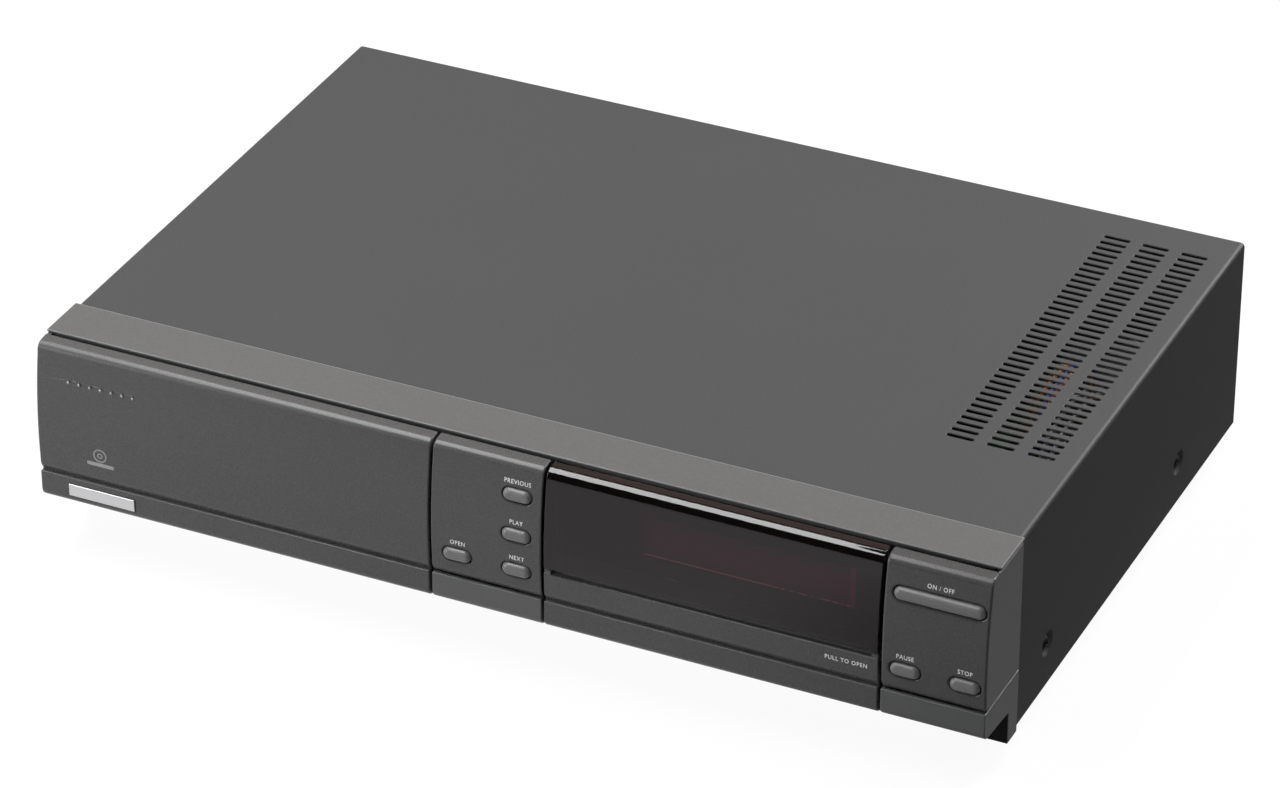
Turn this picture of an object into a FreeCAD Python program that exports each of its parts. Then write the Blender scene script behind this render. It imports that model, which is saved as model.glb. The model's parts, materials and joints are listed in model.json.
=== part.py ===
import FreeCAD, Part
import math
import os

import Sketcher

# Interactive disc player: a wide, flat steel-cased unit with a drawer, seven buttons and a flap.
# +X is to the right seen from the front, the front faces -Y, +Z is up. Lengths are in millimetres.
# Depths (named _depth) are counted forward from the seam where the steel cover meets the front
# moulding, rows (named _row) backward from it, and heights upward from the cover's lower edge.

V = FreeCAD.Vector
doc = FreeCAD.newDocument("disc_player")

SIZES = {
    # Housing
    "body_width": 420.0,
    "cover_depth": 251.0,
    "cover_height": 88.4,
    "base_height": 10.0,
    "sheet": 1.0,
    "cover_inset": 0.8,
    "cover_bend": 2.0,
    "rear_lip": 7.0,
    "sheet_gap": 0.3,
    "vent_length": 11.6,
    "vent_width": 2.3,
    "vent_pitch": 4.955,
    "vent_rows": 36.0,
    "vent_columns": 3.0,
    "vent_column_pitch": 17.2,
    "vent_first_from_right": 50.7,
    "vent_last_from_rear": 19.275,
    "dimple_radius": 5.6,
    "dimple_floor_radius": 3.6,
    "dimple_sink": 1.8,
    "dimple_height": 20.0,
    "dimple_front_row": 32.5,
    "dimple_from_rear": 70.5,
    "screw_radius": 1.5,
    "screw_head_radius": 3.0,
    "screw_head_height": 1.6,
    "screw_clearance": 0.1,
    "screw_length": 5.0,
    # Front mouldings: outline of the front seen from the side
    "front_depth": 35.5,
    "panel_back_depth": 24.5,
    "panel_drop": 0.5,
    "crown_start_depth": 28.6,
    "crown_start_drop": 1.0,
    "crown_end_depth": 32.15,
    "crown_end_drop": 4.8,
    "crown_radius": 3.75,
    "face_end_depth": 35.25,
    "face_end_height": 33.2,
    "face_radius": 227.0,
    "tuck_radius": 6.0,
    "groove_depth": 33.4,
    "groove_height": 28.3,
    "ledge_height": 27.9,
    "lower_face_height": 19.0,
    "heel_radius": 4.2,
    "under_depth": 32.2,
    "under_height": 15.2,
    "under_back_height": 14.6,
    "panel_wall": 2.2,
    "panel_end_wall": 1.4,
    # Front mouldings: places across the width
    "drawer_gap_from_left": 180.3,
    "centre_gap_from_left": 230.2,
    "flap_gap_from_right": 44.6,
    "section_gap": 1.2,
    # Fixed surround
    "strip_depth": 23.7,
    "strip_proud": 0.8,
    "rim": 1.2,
    "strip_under": 1.3,
    "frame_face_depth": 22.5,
    "frame_wall": 2.5,
    "plinth_depth": 10.3,
    "plinth_bottom": -1.4,
    "plinth_top": 13.4,
    "cheek_wall": 2.4,
    "cheek_drop": 1.0,
    "seam_gap": 0.3,
    "tuck_lip": 6.0,
    "mouth_side": 9.0,
    "mouth_bottom": 40.6,
    "mouth_top": 62.0,
    "bay_bottom": 16.4,
    "bay_drop": 2.4,
    # Buttons
    "button_height": 5.8,
    "button_width": 12.5,
    "power_width": 38.0,
    "button_proud": 1.4,
    "button_clearance": 0.4,
    "button_round": 2.2,
    "button_travel": 1.2,
    "button_skirt": 1.0,
    "button_skirt_thickness": 1.2,
    "stem_width": 3.4,
    "stem_height": 2.4,
    "stem_gap": 0.5,
    "stem_clearance": 0.7,
    "column_from_left": 218.7,
    "open_from_left": 192.4,
    "previous_drop": 15.3,
    "play_shift": -0.7,
    "next_height": 39.1,
    "power_from_right": 21.1,
    "power_drop": 15.4,
    "pause_from_right": 34.0,
    "stop_from_right": 9.0,
    # Raised dots on the drawer front
    "dot_count": 7.0,
    "dot_pitch": 5.0,
    "dot_first_from_left": 15.1,
    "dot_drop": 14.8,
    "dot_radius": 0.65,
    # Flap and its window
    "window_bottom": 43.2,
    "window_wall": 2.5,
    "flap_top": 41.3,
    "tab_width": 3.0,
    "tab_height": 43.0,
    "flange_top": 50.0,
    "flange_thickness": 2.0,
    "hinge_depth": 29.0,
    "hinge_height": 19.3,
    "hinge_pin_radius": 1.5,
    "hinge_running_gap": 0.05,
    "hinge_pin_grip": 2.4,
    # Control bay behind the flap
    "bay_depth": 12.0,
    "bay_wall": 2.2,
    "tub_rim": 1.5,
    "display_left_margin": 32.3,
    "display_right_margin": 19.4,
    "display_height": 19.0,
    "display_centre_height": 54.3,
    "filter_thickness": 1.5,
    "tube_border": 2.5,
    "tube_thickness": 5.0,
    "control_height": 31.0,
    "headphone_from_gap": 19.8,
    "volume_from_gap": 45.8,
    "port_from_gap": 71.8,
    "headphone_bore_radius": 3.2,
    "headphone_nose_radius": 5.5,
    "headphone_bore_length": 12.0,
    "socket_block": 14.0,
    "port_radius": 6.8,
    "knob_radius": 7.0,
    "knob_length": 7.0,
    "knob_gap": 1.0,
    "shaft_radius": 3.0,
    "shaft_gap": 0.05,
    "fit_gap": 0.2,
    # Boards
    "board_thickness": 1.6,
    "front_board_row": 3.0,
    "front_board_from_left": 180.0,
    "front_board_from_right": 5.0,
    "front_board_bottom": 16.0,
    "front_board_drop": 4.4,
    "switch_size": 6.0,
    "switch_depth": 3.5,
    "plunger_radius": 1.6,
    "plunger_length": 0.7,
    "board_height": 8.0,
    "standoff_radius": 3.0,
    "power_board_from_right": 6.0,
    "power_board_width": 62.0,
    "power_board_front": 40.0,
    "power_board_from_rear": 21.0,
    "main_board_from_left": 6.0,
    "main_board_inner_from_left": 177.0,
    "board_gap": 8.0,
    "main_board_front": 10.0,
    "loader_clearance": 7.0,
    "main_board_from_rear": 11.0,
    # Power parts
    "core_width": 46.0,
    "core_depth": 40.0,
    "core_height": 38.0,
    "coil_width": 28.0,
    "coil_bulge": 8.0,
    "core_from_right": 37.0,
    "core_from_rear": 51.0,
    "capacitor_radius": 7.5,
    "capacitor_height": 28.0,
    "capacitor_pitch": 19.0,
    "capacitor_from_right": 46.0,
    "capacitor_shift": 1.2,
    "fin_count": 8.0,
    "fin_pitch": 7.0,
    "fin_thickness": 1.6,
    "fin_length": 12.0,
    "sink_base": 3.0,
    "sink_height": 32.0,
    "sink_from_right": 60.0,
    "sink_row": 58.0,
    # Chassis, feet and rear panel
    "chassis_side": 28.0,
    "chassis_front_lip": 10.0,
    "bead_width": 6.0,
    "bead_height": 1.5,
    "bead_length": 170.0,
    "foot_radius": 12.0,
    "foot_taper": 2.0,
    "foot_inset": 45.0,
    "foot_front_row": 36.0,
    "foot_from_rear": 37.0,
    "socket_reach": 7.4,
    "rear_socket_height": 18.5,
    "phono_radius": 4.15,
    "phono_bore": 1.6,
    "phono_pitch": 18.0,
    "phono_x": -12.0,
    "phono_flange": 5.5,
    "scart_x": 63.0,
    "scart_width": 46.0,
    "scart_height": 13.0,
    "scart_wall": 1.5,
    "scart_cavity": 8.0,
    "din_x": -72.0,
    "din_pitch": 24.0,
    "inlet_from_right": 32.0,
    "inlet_height": 24.0,
    "inlet_width": 26.0,
    "inlet_tall": 16.0,
    "inlet_lobe": 4.4,
    "inlet_pitch": 8.6,
    "inlet_cavity": 13.0,
    "blade_radius": 1.2,
    # Loader
    "spindle_from_left": 90.0,
    "spindle_row": 45.0,
    "tray_half_width": 70.0,
    "tray_front_depth": 32.8,
    "tray_rear_row": 142.0,
    "tray_top": 55.0,
    "tray_bottom": 49.5,
    "disc_radius": 60.0,
    "small_disc_radius": 40.0,
    "disc_clearance": 1.5,
    "disc_floor": 53.2,
    "small_disc_floor": 51.7,
    "tray_slot_half": 21.0,
    "scallop_radius": 11.0,
    "scallop_reach": 6.0,
    "skirt_bottom": 44.0,
    "skirt_wall": 2.5,
    "rail_width": 8.5,
    "rail_thickness": 2.5,
    "tray_flange_bottom": 44.0,
    "tray_flange_top": 58.0,
    "tray_flange_thickness": 2.0,
    "loader_outer": 82.0,
    "loader_wall": 3.0,
    "loader_front_depth": 19.0,
    "loader_rear_row": 150.0,
    "loader_step_row": 4.0,
    "loader_top": 62.0,
    "loader_nose_bottom": 18.0,
    "slide_gap": 0.3,
    "ledge_width": 5.8,
    "ledge_thickness": 2.5,
    "retainer_thickness": 2.2,
    "retainer_length": 10.0,
    "shelf_bottom": 29.0,
    "shelf_thickness": 2.5,
    "shelf_rear_row": 8.0,
    "bridge_front_row": 25.0,
    "bridge_rear_row": 65.0,
    "bridge_sheet": 1.2,
    "bridge_rib": 4.0,
    "crossbar_rear_row": 128.0,
    "crossbar_thickness": 6.0,
    "loader_floor": 2.5,
    "floor_strip": 49.0,
    # Drive train
    "rack_module": 1.25,
    "rack_offset": 4.1,
    "rack_bottom": 44.3,
    "pinion_teeth": 14.0,
    "train_module": 1.0,
    "wheel_teeth": 24.0,
    "small_pinion_teeth": 10.0,
    "gear_row": -5.0,
    "backlash": 0.25,
    "post_radius": 1.5,
    "post_gap": 0.05,
    "wheel_bottom": 39.0,
    "wheel_thickness": 4.0,
    "pulley_bottom": 33.0,
    "pulley_thickness": 4.0,
    "pulley_flange": 1.0,
    "pulley_groove_radius": 12.4,
    "pulley_rim": 1.4,
    "motor_groove_radius": 3.4,
    "belt_spacing": 38.0,
    "belt_size": 1.6,
    "belt_gap": 0.3,
    "hub_radius": 2.6,
    "end_gap": 0.3,
    "motor_radius": 12.0,
    "motor_length": 11.0,
    "motor_shaft_radius": 1.0,
    # Lift and optical deck
    "cam_row": 12.0,
    "cam_thickness": 2.0,
    "cam_bottom": 20.0,
    "cam_top": 42.6,
    "cam_half_width": 52.0,
    "cam_travel": 12.0,
    "lift": 6.0,
    "cam_pin_radius": 2.0,
    "cam_pin_height": 37.0,
    "cam_pin_spacing": 60.0,
    "deck_top": 45.5,
    "deck_sheet": 1.5,
    "deck_half_width": 46.0,
    "deck_front_row": 18.0,
    "deck_rear_row": 123.0,
    "deck_flange": 13.0,
    "guide_post_radius": 2.2,
    "guide_post_x": 40.0,
    "guide_post_front_row": 27.0,
    "guide_post_rear_row": 114.0,
    "guide_post_top": 48.8,
    "spindle_motor_radius": 11.0,
    "spindle_motor_height": 11.0,
    "spindle_shaft_radius": 1.0,
    "spindle_hole_radius": 5.0,
    "turntable_radius": 17.0,
    "turntable_bottom": 53.0,
    "turntable_top": 56.0,
    "cone_radius": 7.4,
    "cone_height": 2.5,
    "turntable_boss": 4.0,
    "carriage_half": 20.0,
    "carriage_length": 22.0,
    "carriage_bottom": 36.0,
    "carriage_top": 43.5,
    "carriage_row": 58.0,
    "carriage_travel": 35.0,
    "lens_housing_half": 9.0,
    "lens_housing_top": 51.3,
    "lens_radius": 3.2,
    "lens_height": 1.2,
    "deck_slot_half": 12.0,
    "rod_radius": 1.5,
    "rod_spacing": 34.0,
    "rod_height": 40.0,
    "rod_front_row": 53.0,
    "carriage_end_gap": 3.0,
    "lug_thickness": 2.5,
    "sled_module": 0.8,
    "sled_teeth": 16.0,
    "sled_rack_x": 23.0,
    "sled_rack_front_row": 44.0,
    "sled_rack_rear_row": 90.0,
    "sled_gear_row": 84.0,
    "sled_gear_bottom": 38.0,
    "sled_gear_thickness": 3.0,
    "sled_motor_radius": 7.0,
    "sled_motor_length": 14.0,
    "sled_shelf_bottom": 34.0,
    # Clamp
    "puck_hole_radius": 11.0,
    "puck_neck_radius": 10.4,
    "puck_flange_radius": 14.0,
    "puck_flange_thickness": 2.0,
    "puck_pad_radius": 15.0,
    "puck_bottom": 57.5,
    "puck_pad_thickness": 2.5,
    "puck_recess_radius": 8.6,
    "puck_recess_depth": 1.8,
}

sheet = doc.addObject("Spreadsheet::Sheet", "sizes")
for row, (alias, value) in enumerate(SIZES.items(), start=1):
    sheet.set(f"A{row}", alias)
    sheet.set(f"B{row}", str(value))
    sheet.setAlias(f"B{row}", alias)
places = doc.addObject("Spreadsheet::Sheet", "places")
doc.recompute()


class Size:
    """A length from the sheet: its number, and the formula that features are bound to."""

    def __init__(self, value, text):
        self.value = value
        self.text = text

    def __add__(self, other):
        return join(self, "+", other)

    def __radd__(self, other):
        return join(other, "+", self)

    def __sub__(self, other):
        return join(self, "-", other)

    def __rsub__(self, other):
        return join(other, "-", self)

    def __mul__(self, other):
        return join(self, "*", other)

    def __rmul__(self, other):
        return join(other, "*", self)

    def __truediv__(self, other):
        return join(self, "/", other)

    def __neg__(self):
        return Size(-self.value, f"(-{self.text})")

    def root(self):
        return Size(math.sqrt(self.value), f"sqrt({self.text})")


def number(item):
    return item.value if isinstance(item, Size) else float(item)


def text(item):
    return item.text if isinstance(item, Size) else repr(float(item))


def join(a, sign, b):
    x, y = number(a), number(b)
    result = {"+": x + y, "-": x - y, "*": x * y, "/": x / y if y else 0.0}[sign]
    return Size(result, f"({text(a)}{sign}{text(b)})")


class Names:
    """The driving sizes by name, s.body_width and so on; worked-out places join them below."""

    def __getattr__(self, alias):
        return Size(float(sheet.get(alias)), "sizes." + alias)


s = Names()
place_rows = []


def work_out(**sizes):
    """Keeps places in the places sheet and lets them be read by name like the driving sizes."""
    for alias, size in sizes.items():
        setattr(s, alias, place(alias, size))


def place(alias, size):
    """Keeps a derived place in its own sheet, so that formulas which use it stay short."""
    place_rows.append(alias)
    row = len(place_rows)
    places.set(f"A{row}", alias)
    places.set(f"B{row}", "=" + size.text)
    places.setAlias(f"B{row}", alias)
    return Size(size.value, "places." + alias)


def bind(item, prop, size):
    if isinstance(size, Size):
        item.setExpression(prop, size.text)
    elif "." in prop:
        item.setExpression(prop, repr(float(size)))
    else:
        setattr(item, prop, size)


# Heights that follow the cover's top, counted down from it
work_out(
    panel_top=s.cover_height - s.panel_drop,
    crown_start_height=s.cover_height - s.crown_start_drop,
    crown_end_height=s.cover_height - s.crown_end_drop,
    cheek_top=s.cover_height - s.cheek_drop,
    bay_top=s.cover_height - s.bay_drop,
    previous_height=s.cover_height - s.previous_drop,
    power_height=s.cover_height - s.power_drop,
    dot_height=s.cover_height - s.dot_drop,
    front_board_top=s.cover_height - s.front_board_drop,
)
work_out(play_height=(s.previous_height + s.next_height) / 2 + s.play_shift)

# Where the curved face is at a height: its circle's centre first
chord_depth = s.face_end_depth - s.crown_end_depth
chord_height = s.crown_end_height - s.face_end_height
half_chord = place("half_chord", (chord_depth * chord_depth + chord_height * chord_height).root() / 2)
sag_arm = place("sag_arm", (s.face_radius * s.face_radius - half_chord * half_chord).root())
middle_depth = (s.face_end_depth + s.crown_end_depth) / 2
middle_height = (s.face_end_height + s.crown_end_height) / 2
arc_depth = place("arc_depth", middle_depth - sag_arm * chord_height / (half_chord * 2))
arc_height = place("arc_height", middle_height - sag_arm * chord_depth / (half_chord * 2))


def face_depth(height):
    """The depth of the curved front face at a height."""
    rise = height - arc_height
    return arc_depth + (s.face_radius * s.face_radius - rise * rise).root()


# Places that many pieces share. The lowest buttons are the foremost, the phono shells the rearmost
foremost = place("foremost", face_depth(s.next_height) + s.button_proud)
overall_depth = foremost + s.cover_depth + s.socket_reach
seam = place("seam", foremost - overall_depth / 2)
base = place("base", s.base_height * 1)
half = place("half_width", s.body_width / 2)
cover_half = place("cover_half", half - s.cover_inset)
rear = place("rear", seam + s.cover_depth)
inner_half = place("inner_half", cover_half - s.sheet - s.sheet_gap)
chassis_floor = place("chassis_floor", base + s.sheet + 0.8)
panel_front = place("panel_front", rear - s.sheet * 2)

# Places across the width, counted from the nearer end, so that each group moves with its own end
work_out(
    drawer_gap_x=s.drawer_gap_from_left - half,
    centre_gap_x=s.centre_gap_from_left - half,
    flap_gap_x=half - s.flap_gap_from_right,
    dot_first_x=s.dot_first_from_left - half,
    open_x=s.open_from_left - half,
    column_x=s.column_from_left - half,
    pause_x=half - s.pause_from_right,
    power_x=half - s.power_from_right,
    stop_x=half - s.stop_from_right,
    vent_first_x=half - s.vent_first_from_right,
    foot_x=half - s.foot_inset,
    spindle_x=s.spindle_from_left - half,
    front_board_left=s.front_board_from_left - half,
    front_board_right=half - s.front_board_from_right,
    power_board_right=half - s.power_board_from_right,
    main_board_left=s.main_board_from_left - half,
    main_board_inner=s.main_board_inner_from_left - half,
    core_x=half - s.core_from_right,
    capacitor_x=half - s.capacitor_from_right,
    sink_x=half - s.sink_from_right,
    inlet_x=half - s.inlet_from_right,
)
work_out(power_board_left=s.power_board_right - s.power_board_width)
work_out(main_board_right=s.power_board_left - s.board_gap)

# The display and the three controls lie between the flap's two gaps
display_left = s.centre_gap_x + s.display_left_margin
display_right = s.flap_gap_x - s.display_right_margin
work_out(
    display_x=(display_left + display_right) / 2,
    display_width=display_right - display_left,
    headphone_x=s.centre_gap_x + s.headphone_from_gap,
    volume_x=s.centre_gap_x + s.volume_from_gap,
    port_x=s.centre_gap_x + s.port_from_gap,
)

# Rows that follow the rear edge, counted forward from it
work_out(
    vent_first_row=s.cover_depth - s.vent_last_from_rear - s.vent_pitch * (s.vent_rows - 1),
    dimple_rear_row=s.cover_depth - s.dimple_from_rear,
    foot_rear_row=s.cover_depth - s.foot_from_rear,
    power_board_rear=s.cover_depth - s.power_board_from_rear,
    main_board_rear=s.cover_depth - s.main_board_from_rear,
    main_board_step=s.loader_rear_row + s.loader_clearance,
    core_row=s.cover_depth - s.core_from_rear,
)
# The capacitors stand between the heat sink and the transformer's coil
sink_end = s.sink_row + s.fin_pitch * (s.fin_count - 1) + s.fin_thickness
coil_front = s.core_row - s.core_depth / 2 - s.coil_bulge
free_middle = (sink_end + coil_front - s.capacitor_pitch) / 2
work_out(capacitor_row=free_middle + s.capacitor_shift)

# A button's stem ends one travel and a small gap in front of its switch
switch_tip = s.switch_depth + s.plunger_length - s.front_board_row
work_out(stem_end_depth=switch_tip + s.button_travel + s.stem_gap)
# The rods end behind the carriage's farthest place
carriage_end = s.carriage_row + s.carriage_length + s.carriage_travel
work_out(rod_rear_row=carriage_end + s.carriage_end_gap + s.lug_thickness)


def D(depth):
    """The Y of a depth, counted forward from the seam."""
    return seam - depth


def R(row):
    """The Y of a row, counted backward from the seam."""
    return seam + row


def H(height):
    """The Z of a height above the cover's lower edge."""
    return base + height


doc.recompute()

# Making solids


def solid_box(name, x, y, z):
    item = doc.addObject("Part::Box", name)
    for prop, side in (("Length", x), ("Width", y), ("Height", z)):
        bind(item, prop, side[1] - side[0])
    for prop, side in (("x", x), ("y", y), ("z", z)):
        bind(item, "Placement.Base." + prop, side[0])
    return item


def rod(name, axis, centre, span, radius, end_radius=None):
    """A round bar along an axis: centre is its place on the other two axes, in X, Y, Z order."""
    if end_radius is None:
        item = doc.addObject("Part::Cylinder", name)
        bind(item, "Radius", radius)
    else:
        item = doc.addObject("Part::Cone", name)
        bind(item, "Radius1", radius)
        bind(item, "Radius2", end_radius)
    bind(item, "Height", span[1] - span[0])
    turn = {"X": (V(0, 1, 0), 90), "Y": (V(1, 0, 0), -90), "Z": (V(0, 0, 1), 0)}[axis]
    item.Placement = FreeCAD.Placement(V(0, 0, 0), FreeCAD.Rotation(*turn))
    others = [letter for letter in "xyz" if letter != axis.lower()]
    bind(item, "Placement.Base." + axis.lower(), span[0])
    for letter, at in zip(others, centre):
        bind(item, "Placement.Base." + letter, at)
    return item


def fuse(name, *items):
    item = doc.addObject("Part::MultiFuse", name)
    item.Shapes = list(items)
    item.Refine = True
    return item


def minus(name, first, *tools):
    tool = tools[0] if len(tools) == 1 else fuse(name + "_tools", *tools)
    item = doc.addObject("Part::Cut", name)
    item.Base = first
    item.Tool = tool
    item.Refine = True
    return item


def group(name, *items):
    """Separate solids kept in one node, such as a set of screws."""
    item = doc.addObject("Part::Compound", name)
    item.Links = list(items)
    return item


def worked(name, shape):
    """A piece whose outline follows a formula, such as a toothed wheel."""
    item = doc.addObject("Part::Feature", name)
    item.Shape = shape
    return item


# Sketches whose corners are held by the sheet

PLANES = {"YZ": ("YZ_Plane", 1), "XZ": ("XZ_Plane", -1), "XY": ("XY_Plane", 1)}


def sketch_on(body, plane, offset):
    role, sign = PLANES[plane]
    sketch = body.newObject("Sketcher::SketchObject", body.Name + "_sketch")
    origin = [part for part in body.Origin.OriginFeatures if part.Role == role][0]
    sketch.AttachmentSupport = [(origin, "")]
    sketch.MapMode = "FlatFace"
    bind(sketch, "AttachmentOffset.Base.z", offset if sign > 0 else -1 * offset)
    return sketch


def hold(sketch, geometry, constraints):
    """Adds shapes and their constraints; each constraint is (constraint, size or None)."""
    first = sketch.GeometryCount
    sketch.addGeometry(geometry, False)
    at = sketch.ConstraintCount
    ready = []
    for kind, numbers, size in constraints:
        arguments = list(numbers) if size is None else list(numbers) + [number(size)]
        ready.append(Sketcher.Constraint(kind, *arguments))
    sketch.addConstraint(ready)
    for index, (kind, numbers, size) in enumerate(constraints):
        if isinstance(size, Size):
            sketch.setExpression(f"Constraints[{at + index}]", size.text)
    return first


def pin_point(geo, pos, x, y):
    return [("DistanceX", (-1, 1, geo, pos), x), ("DistanceY", (-1, 1, geo, pos), y)]


def arc_between(start, end, radius):
    """The arc from start to end: it turns left for a positive radius, right for a negative one."""
    size = abs(radius)
    across = end - start
    rise = math.sqrt(max(size * size - across.Length * across.Length / 4, 0.0))
    normal = V(-across.y, across.x, 0).normalize()
    centre = (start + end) * 0.5 + normal * (rise if radius > 0 else -rise)
    first, last = (start, end) if radius > 0 else (end, start)
    turn = [math.atan2(point.y - centre.y, point.x - centre.x) for point in (first, last)]
    if turn[1] < turn[0]:
        turn[1] += 2 * math.pi
    circle = Part.Circle(centre, V(0, 0, 1), size)
    return Part.ArcOfCircle(circle, turn[0], turn[1])


def path(sketch, corners):
    """A closed outline. A corner is (x, y), or (x, y, radius) where an arc leads to it."""
    points = [V(number(corner[0]), number(corner[1]), 0) for corner in corners]
    first = sketch.GeometryCount
    geometry, constraints, ends = [], [], []
    count = len(corners)
    for index in range(count):
        start, end = points[index - 1], points[index]
        corner = corners[index]
        if len(corner) == 3:
            radius = number(corner[2])
            geometry.append(arc_between(start, end, radius))
            ends.append((1, 2) if radius > 0 else (2, 1))
            size = corner[2] if radius > 0 else -1 * corner[2]
            constraints.append(("Radius", (first + index,), size))
        else:
            geometry.append(Part.LineSegment(start, end))
            ends.append((1, 2))
    for index in range(count):
        following = (index + 1) % count
        joint = (first + index, ends[index][1], first + following, ends[following][0])
        constraints.append(("Coincident", joint, None))
        corner = corners[index]
        constraints += pin_point(first + index, ends[index][1], corner[0], corner[1])
    hold(sketch, geometry, constraints)


def rectangle(sketch, x, y):
    path(sketch, [(x[0], y[0]), (x[1], y[0]), (x[1], y[1]), (x[0], y[1])])


def circle(sketch, x, y, radius):
    geo = sketch.GeometryCount
    shape = Part.Circle(V(number(x), number(y), 0), V(0, 0, 1), number(radius))
    hold(sketch, [shape], pin_point(geo, 3, x, y) + [("Radius", (geo,), radius)])


def pill(sketch, x, y, width, height):
    """A long hole or boss with round ends."""
    radius = height / 2
    left, right = x - (width - height) / 2, x + (width - height) / 2
    geo = sketch.GeometryCount
    places_of = [number(item) for item in (left, right, y, radius)]
    x0, x1, level, size = places_of
    geometry = [
        Part.ArcOfCircle(Part.Circle(V(x0, level, 0), V(0, 0, 1), size), math.pi / 2, 1.5 * math.pi),
        Part.LineSegment(V(x0, level - size, 0), V(x1, level - size, 0)),
        Part.ArcOfCircle(Part.Circle(V(x1, level, 0), V(0, 0, 1), size), -math.pi / 2, math.pi / 2),
        Part.LineSegment(V(x1, level + size, 0), V(x0, level + size, 0)),
    ]
    constraints = [("Coincident", (geo + k, 2, geo + (k + 1) % 4, 1), None) for k in range(4)]
    constraints += pin_point(geo, 3, left, y) + pin_point(geo + 2, 3, right, y)
    constraints += [("Radius", (geo,), radius), ("Radius", (geo + 2,), radius)]
    for end, at in ((geo, left), (geo + 2, right)):
        constraints += [("DistanceX", (-1, 1, end, 1), at), ("DistanceX", (-1, 1, end, 2), at)]
    hold(sketch, geometry, constraints)


def rectangles(sketch, *places_of):
    for x, y in places_of:
        rectangle(sketch, x, y)


def circles(sketch, centres, radius):
    for x, y in centres:
        circle(sketch, x, y, radius)


def span_of(middle, size):
    return (middle - size / 2, middle + size / 2)


def mirrored(a, b):
    """The two ends of a span, the lower one first."""
    return (a, b) if number(a) < number(b) else (b, a)


def new_body(name):
    body = doc.addObject("PartDesign::Body", name)
    body.Label = name
    return body


def feature(body, kind, plane, span, draw, outward):
    """A pad or pocket between two places along a plane's axis; draw fills its sketch."""
    sketch = sketch_on(body, plane, span[0])
    draw(sketch)
    item = body.newObject("PartDesign::" + kind, body.Name + "_" + kind.lower())
    item.Profile = sketch
    bind(item, "Length", span[1] - span[0])
    item.Reversed = (PLANES[plane][1] < 0) == outward
    return item


def pad(body, plane, span, draw):
    return feature(body, "Pad", plane, span, draw, True)


def cut(body, plane, span, draw):
    return feature(body, "Pocket", plane, span, draw, False)


def round_edges(body, kind, chosen, size):
    """A fillet or chamfer on the edges of the body's tip that the test picks."""
    doc.recompute()
    tip = body.Tip
    names = [f"Edge{n}" for n, edge in enumerate(tip.Shape.Edges, start=1) if chosen(edge)]
    item = body.newObject("PartDesign::" + kind, body.Name + "_" + kind.lower())
    item.Base = (tip, names)
    bind(item, "Radius" if kind == "Fillet" else "Size", size)
    return item


def lies(edge, axis, value, slack=0.01):
    """True if the whole edge lies at one place along an axis."""
    box = edge.BoundBox
    low, high = {"x": (box.XMin, box.XMax), "y": (box.YMin, box.YMax), "z": (box.ZMin, box.ZMax)}[axis]
    return abs(low - number(value)) < slack and abs(high - number(value)) < slack


# Outlines of the front seen from the side, as (Y, Z) corners


def front_outline():
    return [
        (D(s.panel_back_depth), H(s.under_back_height)),
        (D(s.panel_back_depth), H(s.panel_top)),
        (D(s.crown_start_depth), H(s.crown_start_height)),
        (D(s.crown_end_depth), H(s.crown_end_height), s.crown_radius),
        (D(s.face_end_depth), H(s.face_end_height), s.face_radius),
        (D(s.groove_depth), H(s.groove_height), s.tuck_radius),
        (D(s.groove_depth), H(s.ledge_height)),
        (D(s.front_depth), H(s.ledge_height)),
        (D(s.front_depth), H(s.lower_face_height)),
        (D(s.under_depth), H(s.under_height), s.heel_radius),
    ]


def cavity_outline(wall):
    inner_face = s.face_end_depth - wall
    return [
        (D(s.panel_back_depth - 1), H(s.under_back_height + wall)),
        (D(s.panel_back_depth - 1), H(s.panel_top - wall)),
        (D(s.crown_start_depth - wall / 2), H(s.crown_start_height - wall)),
        (D(s.crown_end_depth - wall), H(s.crown_end_height - wall / 2)),
        (D(inner_face), H(s.face_end_height), s.face_radius - wall),
        (D(s.groove_depth - wall), H(s.groove_height + wall / 2)),
        (D(s.groove_depth - wall), H(s.ledge_height - wall)),
        (D(s.front_depth - wall), H(s.ledge_height - wall)),
        (D(s.front_depth - wall), H(s.lower_face_height)),
        (D(s.under_depth - wall / 2), H(s.under_height + wall)),
    ]


def front_section(name, x, low=None, high=None, wall=None, end_wall=None):
    """A hollow front moulding between two places across the width, cut to the heights given."""
    wall = wall or s.panel_wall
    end_wall = end_wall or wall
    body = new_body(name)
    pad(body, "YZ", x, lambda sketch: path(sketch, front_outline()))
    inside = (x[0] + wall, x[1] - end_wall)
    cut(body, "YZ", inside, lambda sketch: path(sketch, cavity_outline(wall)))
    around = (D(s.front_depth + 1), D(s.panel_back_depth - 2))
    if low is not None:
        below = (H(s.under_back_height - 2), H(low))
        cut(body, "YZ", (x[0] - 1, x[1] + 1), lambda sketch: rectangle(sketch, around, below))
    if high is not None:
        above = (H(high), H(s.panel_top + 2))
        cut(body, "YZ", (x[0] - 1, x[1] + 1), lambda sketch: rectangle(sketch, around, above))
    return body


# Columns across the front
drawer_span = (-1 * half, s.drawer_gap_x - s.section_gap / 2)
centre_span = (s.drawer_gap_x + s.section_gap / 2, s.centre_gap_x - s.section_gap / 2)
flap_span = (s.centre_gap_x + s.section_gap / 2, s.flap_gap_x - s.section_gap / 2)
right_span = (s.flap_gap_x + s.section_gap / 2, half)

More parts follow.
